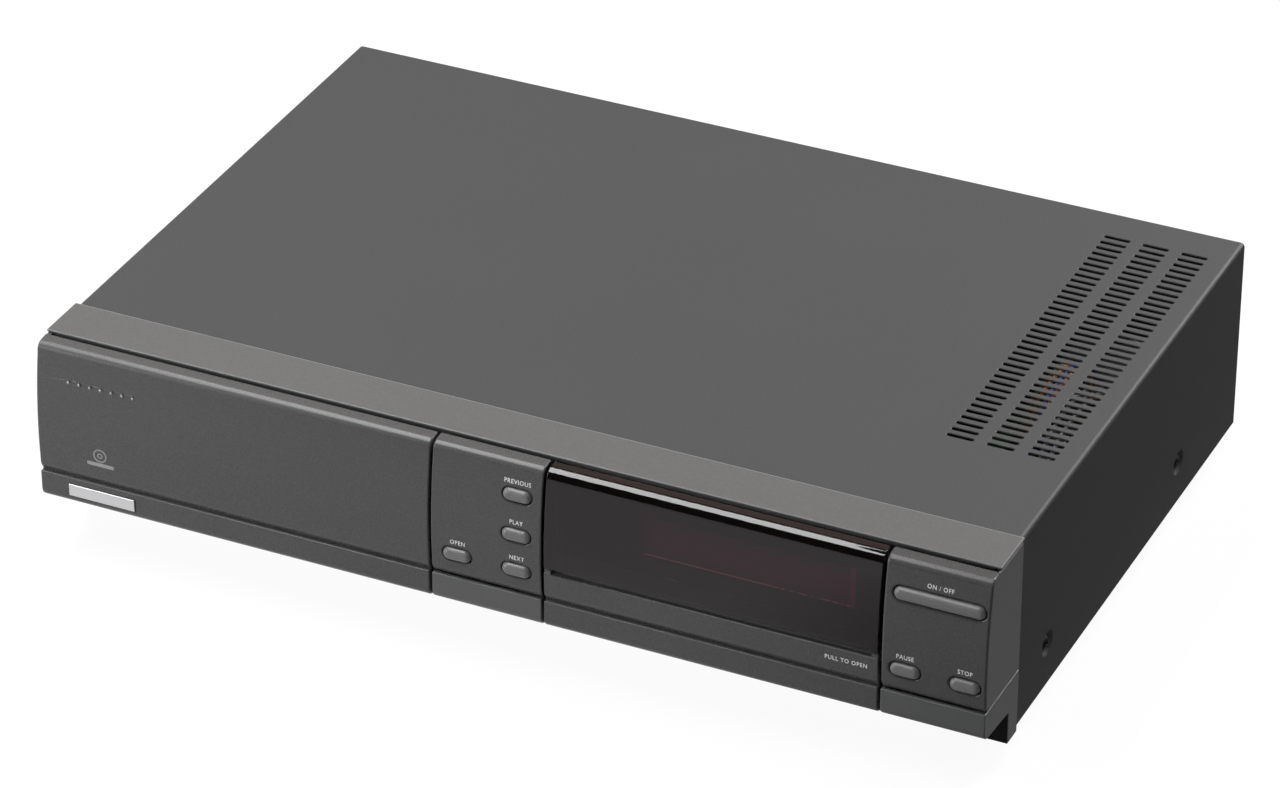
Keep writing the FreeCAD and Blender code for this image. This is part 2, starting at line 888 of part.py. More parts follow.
BUTTONS = {
    "previous_button": (s.column_x, s.previous_height, s.button_width),
    "play_button": (s.column_x, s.play_height, s.button_width),
    "next_button": (s.column_x, s.next_height, s.button_width),
    "open_button": (s.open_x, s.next_height, s.button_width),
    "power_button": (s.power_x, s.power_height, s.power_width),
    "pause_button": (s.pause_x, s.next_height, s.button_width),
    "stop_button": (s.stop_x, s.next_height, s.button_width),
}


def in_span(x, span):
    return number(span[0]) < number(x) < number(span[1])


def button_holes(body, span):
    """Long holes with round ends that the buttons of one section pass through."""

    def holes(sketch):
        gap = s.button_clearance * 2
        for x, height, width in BUTTONS.values():
            if in_span(x, span):
                pill(sketch, x, H(height), width + gap, s.button_height + gap)

    cut(body, "XZ", (D(s.front_depth + 1), D(s.panel_back_depth + 2)), holes)


def make_drawer_front():
    body = front_section("drawer_front", drawer_span)
    steps = range(int(number(s.dot_count)))
    dots = [(s.dot_first_x + s.dot_pitch * step, H(s.dot_height)) for step in steps]
    surface = face_depth(s.dot_height)
    span = (D(surface + s.dot_radius * 0.7), D(surface - 0.5))
    pad(body, "XZ", span, lambda sketch: circles(sketch, dots, s.dot_radius))
    return body


def bosses(body, across, height):
    """Pillars behind a fixed panel that seat on the surround's wall."""
    span = (D(face_depth(height) - s.panel_wall / 2), D(s.frame_face_depth))
    centres = [(x, H(height)) for x in across]
    pad(body, "XZ", span, lambda sketch: circles(sketch, centres, s.screw_radius * 2))


def make_button_panel():
    body = front_section("button_panel", centre_span, low=s.groove_height)
    button_holes(body, centre_span)
    bosses(body, (s.open_x, s.column_x), (s.previous_height + s.play_height) / 2)
    return body


def make_right_panel():
    body = front_section("right_panel", right_span, low=s.groove_height, end_wall=s.panel_end_wall)
    cheek = (half - s.cheek_wall, half)
    rows = (D(s.panel_back_depth + 1), D(s.seam_gap))
    pad(body, "YZ", cheek, lambda sketch: rectangle(sketch, rows, (H(s.groove_height), H(s.cheek_top))))
    button_holes(body, right_span)
    bosses(body, (s.pause_x, s.stop_x), s.play_height)
    return body


def panel_button(name, x, height, width):
    """A button cap with a soft front edge, a skirt that stops it, and a stem to its switch."""
    body = new_body(name)
    front = D(face_depth(height) + s.button_proud)
    skirt_top = height + s.button_height / 2 + s.button_skirt
    skirt_front = D(face_depth(skirt_top) - s.panel_wall - s.slide_gap)
    skirt_back = skirt_front + s.button_skirt_thickness
    pad(body, "XZ", (front, skirt_front), lambda k: pill(k, x, H(height), width, s.button_height))
    round_edges(body, "Fillet", lambda edge: lies(edge, "y", front), s.button_round)
    skirt = ((x - width / 2, x + width / 2), span_of(H(height), s.button_height + s.button_skirt * 2))
    pad(body, "XZ", (skirt_front, skirt_back), lambda k: rectangle(k, *skirt))
    stem = (span_of(x, s.stem_width), span_of(H(height), s.stem_height))
    pad(body, "XZ", (skirt_back, D(s.stem_end_depth)), lambda k: rectangle(k, *stem))
    return body


# Fixed surround of the front


def lower_outline(back_depth, top):
    """The lower strip's outline: a flat ledge, a face and a round heel."""
    return [
        (D(back_depth), H(top)),
        (D(s.front_depth), H(s.ledge_height)),
        (D(s.front_depth), H(s.lower_face_height)),
        (D(s.under_depth), H(s.under_height), s.heel_radius),
        (D(back_depth), H(s.under_back_height)),
    ]


def make_bezel_frame():
    body = new_body("bezel_frame")
    strip_top = base + s.cover_height + s.strip_proud
    rim_low = strip_top - s.rim
    under = rim_low - s.strip_under
    face, back = D(s.frame_face_depth), D(s.frame_face_depth - s.frame_wall)
    plinth, plinth_back = D(s.plinth_depth), D(s.plinth_depth - s.frame_wall)
    wide = (-1 * half, half)
    section = [
        (seam, strip_top),
        (D(s.strip_depth), strip_top),
        (D(s.strip_depth), rim_low),
        (face, rim_low),
        (face, H(s.under_back_height)),
        (plinth, H(s.plinth_top)),
        (plinth, H(s.plinth_bottom)),
        (plinth_back, H(s.plinth_bottom)),
        (plinth_back, H(s.plinth_top + s.frame_wall)),
        (back, H(s.under_back_height + s.frame_wall)),
        (back, under),
        (seam, under),
    ]
    pad(body, "YZ", wide, lambda k: path(k, section))
    # The lip that tucks under the cover's front edge
    lip_top = base + s.cover_height - s.sheet - s.sheet_gap
    lip_rows = (seam - s.frame_wall, R(s.tuck_lip))
    lip_heights = (lip_top - s.rim, lip_top)
    lip_across = (-1 * inner_half + s.cover_bend, inner_half - s.cover_bend)
    pad(body, "YZ", lip_across, lambda k: rectangle(k, lip_rows, lip_heights))
    # Left cheek, down to its leg
    left_cheek = (-1 * half, s.cheek_wall - half)
    left = [
        (D(s.seam_gap), H(s.cheek_top)),
        (D(s.strip_depth), H(s.cheek_top)),
        (D(s.strip_depth), H(s.under_back_height)),
        (plinth, H(s.plinth_top)),
        (plinth, H(s.plinth_bottom)),
        (D(s.seam_gap), H(s.plinth_bottom)),
    ]
    pad(body, "YZ", left_cheek, lambda k: path(k, left))
    # Right side: the lower strip's end and its leg
    right_cheek = (half - s.cheek_wall, half)
    right = [
        (D(s.seam_gap), H(s.ledge_height)),
        (D(s.front_depth), H(s.ledge_height)),
        (D(s.front_depth), H(s.lower_face_height)),
        (D(s.under_depth), H(s.under_height), s.heel_radius),
        (plinth, H(s.plinth_top)),
        (plinth, H(s.plinth_bottom)),
        (D(s.seam_gap), H(s.plinth_bottom)),
    ]
    pad(body, "YZ", right_cheek, lambda k: path(k, right))
    # Lower strips of the two fixed sections, open at the top under their panels
    for span in (centre_span, (right_span[0], half - s.cheek_wall / 2)):
        pad(body, "YZ", span, lambda k: path(k, lower_outline(s.frame_face_depth, s.ledge_height)))
        hollow_x = (span[0] + s.frame_wall, span[1] - s.frame_wall)
        hollow_y = (D(s.front_depth - s.panel_wall), D(s.panel_back_depth))
        hollow_z = (H(s.under_height + s.panel_wall), H(s.ledge_height + 1))
        cut(body, "YZ", hollow_x, lambda k: rectangle(k, hollow_y, hollow_z))
    # Room for the right panel's cheek
    relief_x = (half - s.cheek_wall - s.seam_gap, half + 1)
    relief_z = (H(s.ledge_height), rim_low)
    cut(body, "XZ", (D(s.strip_depth + 1), D(-1)), lambda k: rectangle(k, relief_x, relief_z))
    # Shadow gap under the strip along the left side
    groove_x = (-1 * half - 1, s.strip_proud - half)
    groove_z = (H(s.cheek_top), rim_low)
    cut(body, "XZ", (D(s.strip_depth + 1), D(-1)), lambda k: rectangle(k, groove_x, groove_z))
    # Mouth of the drawer and bay of the flap
    wall_rows = (D(s.frame_face_depth + 0.5), D(s.frame_face_depth - s.frame_wall - 0.5))
    mouth_x = (drawer_span[0] + s.mouth_side, drawer_span[1] - s.mouth_side)
    mouth = (mouth_x, (H(s.mouth_bottom), H(s.mouth_top)))
    bay_x = (flap_span[0] - s.section_gap * 0.75, flap_span[1] + s.section_gap * 0.75)
    bay = (bay_x, (H(s.bay_bottom), H(s.bay_top)))
    cut(body, "XZ", wall_rows, lambda k: rectangles(k, mouth, bay))
    # Holes for the buttons' stems
    wide, tall = s.stem_width / 2 + s.stem_clearance, s.stem_height / 2 + s.stem_clearance
    stems = [((x - wide, x + wide), (H(z) - tall, H(z) + tall)) for x, z, width in BUTTONS.values()]
    cut(body, "XZ", wall_rows, lambda k: rectangles(k, *stems))
    # Seats of the flap's hinge pins
    seat = s.section_gap + s.hinge_pin_grip
    pin_x = (flap_span[0] - seat, flap_span[1] + seat)
    cut(body, "YZ", pin_x, lambda k: circle(k, D(s.hinge_depth), H(s.hinge_height), s.hinge_pin_radius))
    return body


# Flap, its window and the bay behind it


def make_flap_panel():
    body = front_section("flap_panel", flap_span, high=s.flap_top)
    across = flap_span
    ledge_y = (D(s.face_end_depth - s.panel_wall / 2), D(s.panel_back_depth))
    ledge_z = (H(s.flap_top - s.panel_wall), H(s.flap_top))
    pad(body, "YZ", across, lambda k: rectangle(k, ledge_y, ledge_z))
    # The flange behind the window's lower edge
    flange_front = s.face_end_depth - s.window_wall - s.fit_gap
    flange_y = (D(flange_front), D(flange_front - s.flange_thickness))
    flange_x = (flap_span[0] + s.window_wall + s.fit_gap, flap_span[1] - s.window_wall - s.fit_gap)
    flange_z = (H(s.flap_top - s.panel_wall / 2), H(s.flange_top))
    pad(body, "YZ", flange_x, lambda k: rectangle(k, flange_y, flange_z))
    # Small end tabs beside the shadow gap
    tab_y = (D(s.face_end_depth - s.seam_gap), D(s.face_end_depth - s.panel_wall))
    tab_z = (H(s.flap_top - s.panel_wall / 2), H(s.tab_height))
    tabs = ((flap_span[0], flap_span[0] + s.tab_width), (flap_span[1] - s.tab_width, flap_span[1]))
    pad(body, "XZ", tab_y, lambda k: rectangles(k, (tabs[0], tab_z), (tabs[1], tab_z)))
    bore = s.hinge_pin_radius + s.hinge_running_gap
    ends = (flap_span[0] - 1, flap_span[1] + 1)
    cut(body, "YZ", ends, lambda k: circle(k, D(s.hinge_depth), H(s.hinge_height), bore))
    return body


def make_flap_window():
    return front_section("flap_window", flap_span, low=s.window_bottom, wall=s.window_wall)


def make_hinge_pins():
    pins = []
    for side, edge in (("left", flap_span[0]), ("right", flap_span[1])):
        away = -1 if side == "left" else 1
        outer = edge + (s.section_gap + s.hinge_pin_grip) * away
        inner = edge - (s.panel_wall + s.fit_gap) * away
        span = (outer, inner) if side == "left" else (inner, outer)
        at = (D(s.hinge_depth), H(s.hinge_height))
        pins.append(rod("hinge_pin_" + side, "X", at, span, s.hinge_pin_radius))
    return group("hinge_pins", *pins)


def make_recess_panel():
    """The moulded tub behind the flap, with its display window and three control holes."""
    body = new_body("recess_panel")
    rim = s.section_gap * 0.75 + s.tub_rim
    outer_x = (flap_span[0] - rim, flap_span[1] + rim)
    outer_z = (H(s.under_back_height + s.frame_wall + s.sheet_gap), H(s.bay_top + s.sheet_gap))
    front, face = D(s.frame_face_depth - s.frame_wall), D(s.bay_depth)
    back = face + s.bay_wall
    pad(body, "XZ", (front, back), lambda k: rectangle(k, outer_x, outer_z))
    inner_x = (outer_x[0] + s.bay_wall, outer_x[1] - s.bay_wall)
    inner_z = (outer_z[0] + s.bay_wall, outer_z[1] - s.bay_wall)
    cut(body, "XZ", (front - 1, face), lambda k: rectangle(k, inner_x, inner_z))

    def inner_corner(edge):
        along = abs(edge.Length - number(face - front)) < 0.01
        return along and in_span(edge.BoundBox.XMin, (inner_x[0] - 0.1, inner_x[1] + 0.1))

    round_edges(body, "Fillet", inner_corner, s.bay_wall)
    through = (face - 1, back + 1)
    display_x = (s.display_x - s.display_width / 2, s.display_x + s.display_width / 2)
    level = H(s.display_centre_height)
    display_z = (level - s.display_height / 2, level + s.display_height / 2)

    def holes(sketch):
        rectangle(sketch, display_x, display_z)
        circle(sketch, s.headphone_x, H(s.control_height), s.headphone_nose_radius + s.fit_gap)
        circle(sketch, s.volume_x, H(s.control_height), s.shaft_radius + s.fit_gap)
        circle(sketch, s.port_x, H(s.control_height), s.port_radius + s.fit_gap)

    cut(body, "XZ", through, holes)
    return body


def make_display():
    level = H(s.display_centre_height)
    fit = s.fit_gap / 2
    half_w, half_h = s.display_width / 2 - fit, s.display_height / 2 - fit
    face = D(s.bay_depth)
    solid_box(
        "display_filter",
        (s.display_x - half_w, s.display_x + half_w),
        (face, face + s.filter_thickness),
        (level - half_h, level + half_h),
    )
    wide = s.display_width / 2 + s.tube_border
    tall = s.display_height / 2 + s.tube_border
    back = face + s.bay_wall + s.seam_gap
    glass = solid_box(
        "tube_glass",
        (s.display_x - wide, s.display_x + wide),
        (back, back + s.tube_thickness),
        (level - tall, level + tall),
    )
    stub = rod(
        "tube_stub",
        "X",
        (back + s.tube_thickness / 2, level),
        (s.display_x + wide, s.display_x + wide + s.tube_border),
        s.tube_border / 2,
    )
    leads = []
    for index in range(12):
        at = s.display_x - wide * 0.9 + wide * 1.8 / 11 * index
        leads.append(
            solid_box(
                f"tube_lead_{index}",
                (at - 0.3, at + 0.3),
                (back + s.tube_thickness / 2, R(s.front_board_row)),
                (level - tall, level - tall + 0.6),
            )
        )
    return fuse("display_tube", glass, stub, *leads)


def make_bay_controls():
    level = H(s.control_height)
    block = s.socket_block / 2
    behind = (D(s.bay_depth - s.bay_wall), R(s.front_board_row))
    blocks = {}
    for name, x in (("headphone", s.headphone_x), ("volume", s.volume_x), ("port", s.port_x)):
        blocks[name] = solid_box(
            name + "_block", (x - block, x + block), behind, (level - block, level + block)
        )
    # Headphone socket: a nose through the bay's wall, bored for a plug
    nose_span = (D(s.bay_depth + 1.5), behind[0])
    nose = rod("headphone_nose", "Y", (s.headphone_x, level), nose_span, s.headphone_nose_radius)
    bore_span = (nose_span[0] - 1, nose_span[0] + s.headphone_bore_length)
    bore = rod("headphone_bore", "Y", (s.headphone_x, level), bore_span, s.headphone_bore_radius)
    minus("headphone_socket", fuse("headphone_body", blocks["headphone"], nose), bore)
    # Volume control: a pot with a thin shaft, and the knob that turns on it
    shaft_front = D(s.bay_depth + s.knob_gap + s.knob_length - 2)
    shaft = rod("volume_shaft", "Y", (s.volume_x, level), (shaft_front, behind[0]), s.shaft_radius / 2)
    fuse("volume_control", blocks["volume"], shaft)
    knob_span = (D(s.bay_depth + s.knob_gap + s.knob_length), D(s.bay_depth + s.knob_gap))
    knob = new_body("volume_knob")
    pad(knob, "XZ", knob_span, lambda k: circle(k, s.volume_x, level, s.knob_radius))
    round_edges(knob, "Chamfer", lambda edge: lies(edge, "y", knob_span[0]), 0.8)
    marker_x = (s.volume_x - 0.5, s.volume_x + 0.5)
    marker_z = (level + s.knob_radius * 0.45, level + s.knob_radius + 1)
    cut(knob, "XZ", (knob_span[0] - 1, knob_span[0] + 0.5), lambda k: rectangle(k, marker_x, marker_z))
    hole = s.shaft_radius / 2 + s.shaft_gap
    hole_span = (shaft_front - s.end_gap, knob_span[1] + 1)
    cut(knob, "XZ", hole_span, lambda k: circle(k, s.volume_x, level, hole))
    # Controller port: a round face with a shallow ring
    face = rod("port_face", "Y", (s.port_x, level), (D(s.bay_depth), behind[0]), s.port_radius)
    ring_span = (D(s.bay_depth + 1), D(s.bay_depth - 1))
    ring_out = rod("port_ring_out", "Y", (s.port_x, level), ring_span, s.port_radius - 1.4)
    ring_in = rod("port_ring_in", "Y", (s.port_x, level), ring_span, s.port_radius - 2.6)
    ring = minus("port_ring", ring_out, ring_in)
    minus("front_controller_port", fuse("port_body", blocks["port"], face), ring)


def make_front_board():
    row = R(s.front_board_row)
    board = solid_box(
        "front_board",
        (s.front_board_left, s.front_board_right),
        (row, row + s.board_thickness),
        (H(s.front_board_bottom), H(s.front_board_top)),
    )
    parts = []
    reach = s.switch_size / 2
    for name, (x, height, width) in BUTTONS.items():
        level = H(height)
        sides = ((x - reach, x + reach), (level - reach, level + reach))
        block = solid_box(name + "_switch", sides[0], (row - s.switch_depth, row), sides[1])
        span = (row - s.switch_depth - s.plunger_length, row - s.switch_depth)
        plunger = rod(name + "_plunger", "Y", (x, level), span, s.plunger_radius)
        parts.append(fuse(name + "_key", block, plunger))
    group("key_switches", *parts)
    return board


# Steel housing


def make_top_cover():
    body = new_body("top_cover")
    top = base + s.cover_height
    bend = s.cover_bend
    inner = s.cover_bend - s.sheet
    outline = [
        (-1 * cover_half, base),
        (-1 * cover_half, top - bend),
        (bend - cover_half, top, -1 * bend),
        (cover_half - bend, top),
        (cover_half, top - bend, -1 * bend),
        (cover_half, base),
        (cover_half - s.sheet, base),
        (cover_half - s.sheet, top - bend),
        (cover_half - bend, top - s.sheet, inner),
        (bend - cover_half, top - s.sheet),
        (s.sheet - cover_half, top - bend, inner),
        (s.sheet - cover_half, base),
    ]
    pad(body, "XZ", (seam, rear), lambda k: path(k, outline))
    # The lip that closes the rear edge round the rear panel
    lip = [
        (s.sheet - cover_half, base + s.sheet * 2),
        (s.sheet - cover_half, top - s.sheet),
        (cover_half - s.sheet, top - s.sheet),
        (cover_half - s.sheet, base + s.sheet * 2),
        (cover_half - s.rear_lip, base + s.sheet * 2),
        (cover_half - s.rear_lip, top - s.rear_lip),
        (s.rear_lip - cover_half, top - s.rear_lip),
        (s.rear_lip - cover_half, base + s.sheet * 2),
    ]
    pad(body, "XZ", (rear - s.sheet, rear), lambda k: path(k, lip))
    centres = [(x, top - s.rear_lip / 2) for x in rear_screw_places()]
    radius = s.screw_radius + s.screw_clearance
    cut(body, "XZ", (rear - s.sheet - 0.2, rear + 1), lambda k: circles(k, centres, radius))
    # Pressed dimples for the side screws, the same on both sides
    for side in (-1, 1):
        for row in (s.dimple_front_row, s.dimple_rear_row):
            press_dimple(body, side, row)
    # Vent slots: one row across the columns, repeated backward
    end = s.vent_length / 2
    bevel = s.vent_width / 4
    level = s.vent_width / 2

    def slots(sketch):
        for column in range(int(number(s.vent_columns))):
            x = s.vent_first_x + s.vent_column_pitch * column
            y = R(s.vent_first_row)
            corners = [
                (x - end + bevel * 1.5, y - level),
                (x + end - bevel * 1.5, y - level),
                (x + end, y - bevel),
                (x + end, y + bevel),
                (x + end - bevel * 1.5, y + level),
                (x - end + bevel * 1.5, y + level),
                (x - end, y + bevel),
                (x - end, y - bevel),
            ]
            path(sketch, corners)

    slot = cut(body, "XY", (top - s.sheet * 1.5, top + 1), slots)
    pattern = body.newObject("PartDesign::LinearPattern", "vent_rows_pattern")
    pattern.Originals = [slot]
    direction = [part for part in body.Origin.OriginFeatures if part.Role == "Y_Axis"][0]
    pattern.Direction = (direction, [""])
    bind(pattern, "Length", s.vent_pitch * (s.vent_rows - 1))
    pattern.Occurrences = int(number(s.vent_rows))
    body.Tip = pattern
    return body


def rear_screw_places():
    return (-1 * cover_half + s.rear_lip * 3, 0.0, cover_half - s.rear_lip * 3)


def press_dimple(body, side, row):
    """A dished screw seat pressed inward: a cone outside, its wall inside, and a screw hole."""
    face = cover_half * side
    inward = -1 * side
    wall = s.sheet
    steps = (
        ("dish", s.dimple_radius + wall, s.dimple_floor_radius + wall, wall, "Additive"),
        ("bowl", s.dimple_radius, s.dimple_floor_radius, 0.0, "Subtractive"),
    )
    for label, wide, narrow, start, kind in steps:
        cone = body.newObject(f"PartDesign::{kind}Cone", f"{label}_{body.Name}")
        bind(cone, "Radius1", wide)
        bind(cone, "Radius2", narrow)
        bind(cone, "Height", s.dimple_sink)
        cone.AttachmentOffset = FreeCAD.Placement(V(0, 0, 0), FreeCAD.Rotation(V(0, 1, 0), 90 * inward))
        origin = [part for part in body.Origin.OriginFeatures if part.Role == "XY_Plane"][0]
        cone.AttachmentSupport = [(origin, "")]
        cone.MapMode = "FlatFace"
        bind(cone, "AttachmentOffset.Base.x", face + start * inward)
        bind(cone, "AttachmentOffset.Base.y", R(row))
        bind(cone, "AttachmentOffset.Base.z", H(s.dimple_height))
    radius = s.screw_radius + s.screw_clearance
    low = face - (s.dimple_sink + s.sheet + 1) if side > 0 else face - 1
    span = (low, low + s.dimple_sink + s.sheet + 2)
    cut(body, "YZ", span, lambda k: circle(k, R(row), H(s.dimple_height), radius))


def make_bottom_chassis():
    """The pressed steel tray: floor, side walls, a front lip, beads, foot holes and board posts."""
    body = new_body("bottom_chassis")
    bottom, top = chassis_floor - s.sheet, chassis_floor
    wide = (-1 * inner_half, inner_half)
    rows = (R(s.sheet), rear - s.sheet)
    pad(body, "XY", (bottom, top), lambda k: rectangle(k, wide, rows))
    side_rows = (rows[0] + s.sheet * 2, rear - s.sheet * 3)
    sides = ((wide[0], wide[0] + s.sheet), (wide[1] - s.sheet, wide[1]))
    walls = [(side, side_rows) for side in sides]
    pad(body, "XY", (top, H(s.chassis_side)), lambda k: rectangles(k, *walls))
    # Relief round the pressed dimples of the cover
    relief = s.dimple_radius + s.sheet + s.sheet_gap
    dimples = [(R(row), H(s.dimple_height)) for row in (s.dimple_front_row, s.dimple_rear_row)]
    for x in ((wide[0] - 1, wide[0] + 2), (wide[1] - 2, wide[1] + 1)):
        cut(body, "YZ", x, lambda k: circles(k, dimples, relief))
    # Front lip, and the tongue of the floor that runs on to the front moulding's leg
    lip_x = (s.main_board_inner, wide[1] - s.sheet * 2)
    lip_rows = (rows[0], rows[0] + s.sheet)
    pad(body, "XY", (top, H(s.chassis_front_lip)), lambda k: rectangle(k, lip_x, lip_rows))
    tongue = half - s.cheek_wall - s.sheet_gap * 2
    tongue_rows = (D(s.plinth_depth - s.frame_wall - s.sheet_gap), rows[0] + 0.5)
    pad(body, "XY", (bottom, top), lambda k: rectangle(k, (-1 * tongue, tongue), tongue_rows))
    # Stiffening beads pressed upward
    beads, grooves = [], []
    for x in (s.main_board_inner + 20, s.main_board_right - 60, s.power_board_left + 30):
        bead = (x - s.bead_width / 2, x + s.bead_width / 2)
        bead_rows = (R(s.main_board_front + 20), R(s.main_board_front + 20) + s.bead_length)
        beads.append((bead, bead_rows))
        groove_rows = (bead_rows[0] + s.sheet, bead_rows[1] - s.sheet)
        grooves.append(((bead[0] + s.sheet, bead[1] - s.sheet), groove_rows))
    pad(body, "XY", (top, top + s.bead_height), lambda k: rectangles(k, *beads))
    depth = (bottom - 0.5, top + s.bead_height - s.sheet)
    cut(body, "XY", depth, lambda k: rectangles(k, *grooves))
    # Posts under the boards, and the floor's screw holes
    posts = board_screw_places()
    pad(body, "XY", (top, H(s.board_height)), lambda k: circles(k, posts, s.standoff_radius))
    hole = s.screw_radius + s.screw_clearance
    drilled = posts + foot_places() + loader_screw_places()
    cut(body, "XY", (bottom - 1, H(s.board_height + 1)), lambda k: circles(k, drilled, hole))
    return body


def foot_places():
    rows = (R(s.foot_front_row), R(s.foot_rear_row))
    return [(s.foot_x * side, y) for side in (-1, 1) for y in rows]


def board_screw_places():
    edge = s.standoff_radius * 2
    power = [
        (x, y)
        for x in (s.power_board_left + edge, s.power_board_right - edge)
        for y in (R(s.power_board_front) + edge, R(s.power_board_rear) - edge)
    ]
    main = [
        (s.main_board_inner + edge, R(s.main_board_front) + edge),
        (s.main_board_right - edge, R(s.main_board_front) + edge),
        (s.main_board_right - edge, R(s.main_board_rear) - edge),
        (s.main_board_left + edge, R(s.main_board_rear) - edge),
    ]
    return power + main


def loader_screw_places():
    inset = s.loader_wall + s.screw_head_radius * 2
    return [
        (s.spindle_x + (s.loader_outer - inset) * side, R(row))
        for side in (-1, 1)
        for row in (s.loader_step_row + 18, s.loader_rear_row - 10)
    ]


def make_feet():
    feet = []
    for index, (x, y) in enumerate(foot_places()):
        top = chassis_floor - s.sheet
        sole = s.foot_radius - s.foot_taper
        bore = s.screw_radius + s.screw_clearance
        cone = rod(f"foot_body_{index}", "Z", (x, y), (0.0, top), sole, s.foot_radius)
        well = rod(f"foot_well_{index}", "Z", (x, y), (-1.0, top * 0.6), s.foot_radius / 2)
        hole = rod(f"foot_hole_{index}", "Z", (x, y), (0.0, top + 1), bore)
        feet.append(minus(f"foot_{index}", cone, well, hole))
    return group("feet", *feet)


def rear_cuts():
    """Openings of the rear panel: (x range, z range) boxes for the sockets."""
    level = H(s.rear_socket_height)
    gap = s.fit_gap
    scart = (
        (s.scart_x - s.scart_width / 2 - gap, s.scart_x + s.scart_width / 2 + gap),
        (level - s.scart_height / 2 - gap, level + s.scart_height / 2 + gap),
    )
    mains = H(s.inlet_height)
    inlet = (
        (s.inlet_x - s.inlet_width / 2 - gap, s.inlet_x + s.inlet_width / 2 + gap),
        (mains - s.inlet_tall / 2 - gap, mains + s.inlet_tall / 2 + gap),
    )
    return scart, inlet


def phono_places():
    return [s.phono_x + s.phono_pitch * step for step in (-1, 0, 1)]


def din_places():
    return [s.din_x + s.din_pitch * step for step in (-0.5, 0.5)]


def make_rear_panel():
    body = new_body("rear_panel")
    front, back = panel_front, rear - s.sheet
    across = (-1 * inner_half, inner_half)
    heights = (chassis_floor, base + s.cover_height - s.sheet - s.sheet_gap)
    pad(body, "XZ", (front, back), lambda k: rectangle(k, across, heights))
    level = H(s.rear_socket_height)
    top = base + s.cover_height - s.rear_lip / 2

    def holes(sketch):
        rectangles(sketch, *rear_cuts())
        circles(sketch, [(x, level) for x in phono_places()], s.phono_radius + s.fit_gap)
        circles(sketch, [(x, level) for x in din_places()], s.port_radius + s.fit_gap)
        circles(sketch, [(x, top) for x in rear_screw_places()], s.screw_radius + s.screw_clearance)

    cut(body, "XZ", (front - 1, back + 1), holes)
    return body


def make_rear_sockets():
    level = H(s.rear_socket_height)
    front, back = panel_front, rear - s.sheet
    inside = front - s.socket_block / 2
    jacks = []
    for index, x in enumerate(phono_places()):
        reach = s.socket_block / 2
        at = (x, level)
        end = rear + s.socket_reach
        sides = ((x - reach, x + reach), (level - reach, level + reach))
        block = solid_box(f"phono_block_{index}", sides[0], (inside, front), sides[1])
        flange = rod(f"phono_flange_{index}", "Y", at, (back, back + 1), s.phono_flange)
        shell = rod(f"phono_shell_{index}", "Y", at, (front, end), s.phono_radius)
        ring = rod(f"phono_ring_{index}", "Y", at, (back + 2, end + 1), s.phono_radius - 0.8)
        core = rod(f"phono_core_{index}", "Y", at, (back + 2, end), s.phono_bore + 1)
        bore = rod(f"phono_bore_{index}", "Y", at, (back, end + 1), s.phono_bore)
        outer = minus(f"phono_hollow_{index}", fuse(f"phono_outer_{index}", block, flange, shell), ring)
        jacks.append(minus(f"phono_{index}", fuse(f"phono_full_{index}", outer, core), bore))
    group("phono_sockets", *jacks)
    # Video socket with a wide shroud and a contact tongue
    mouth = back + s.scart_wall
    wide, tall = s.scart_width / 2, s.scart_height / 2
    sides = ((s.scart_x - wide, s.scart_x + wide), (level - tall, level + tall))
    box = solid_box("scart_box", sides[0], (inside, mouth), sides[1])
    wall = s.scart_wall
    hollow = solid_box(
        "scart_hollow",
        (s.scart_x - wide + wall, s.scart_x + wide - wall),
        (mouth - s.scart_cavity, mouth + 1),
        (level - tall + wall, level + tall - wall),
    )
    tongue = solid_box(
        "scart_tongue",
        (s.scart_x - wide + wall * 3, s.scart_x + wide - wall * 3),
        (mouth - s.scart_cavity - 1, mouth - wall),
        (level - wall / 3, level + wall / 3),
    )
    fuse("scart_socket", minus("scart_shell", box, hollow), tongue)
    # Round controller and video sockets
    rounds = []
    for index, x in enumerate(din_places()):
        reach = s.socket_block / 2
        sides = ((x - reach, x + reach), (level - reach, level + reach))
        block = solid_box(f"din_block_{index}", sides[0], (inside, front), sides[1])
        nose = rod(f"din_nose_{index}", "Y", (x, level), (front, back + 0.5), s.port_radius)
        outer = rod(f"din_outer_{index}", "Y", (x, level), (back - 0.5, back + 1), s.port_radius - 1.4)
        inner = rod(f"din_inner_{index}", "Y", (x, level), (back - 0.5, back + 1), s.port_radius - 2.6)
        ring = minus(f"din_ring_{index}", outer, inner)
        rounds.append(minus(f"din_{index}", fuse(f"din_body_{index}", block, nose), ring))
    group("rear_din_sockets", *rounds)
    # Mains inlet with a two-lobed mouth and its two pins
    mains = H(s.inlet_height)
    wide, tall = s.inlet_width / 2, s.inlet_tall / 2
    mouth = back + 1
    inlet = new_body("mains_inlet")
    depth = (mouth - s.inlet_cavity - s.scart_wall * 2, mouth)
    sides = ((s.inlet_x - wide, s.inlet_x + wide), (mains - tall, mains + tall))
    pad(inlet, "XZ", depth, lambda k: rectangle(k, *sides))
    lobes = (s.inlet_pitch + s.inlet_lobe * 2, s.inlet_lobe * 2)
    cut(inlet, "XZ", (mouth - s.inlet_cavity, mouth + 1), lambda k: pill(k, s.inlet_x, mains, *lobes))
    span = (mouth - s.inlet_cavity - 0.5, mouth - s.scart_wall)
    pins = [(s.inlet_x + s.inlet_pitch * side, mains) for side in (-0.5, 0.5)]
    pad(inlet, "XZ", span, lambda k: circles(k, pins, s.blade_radius))


# Boards and power parts


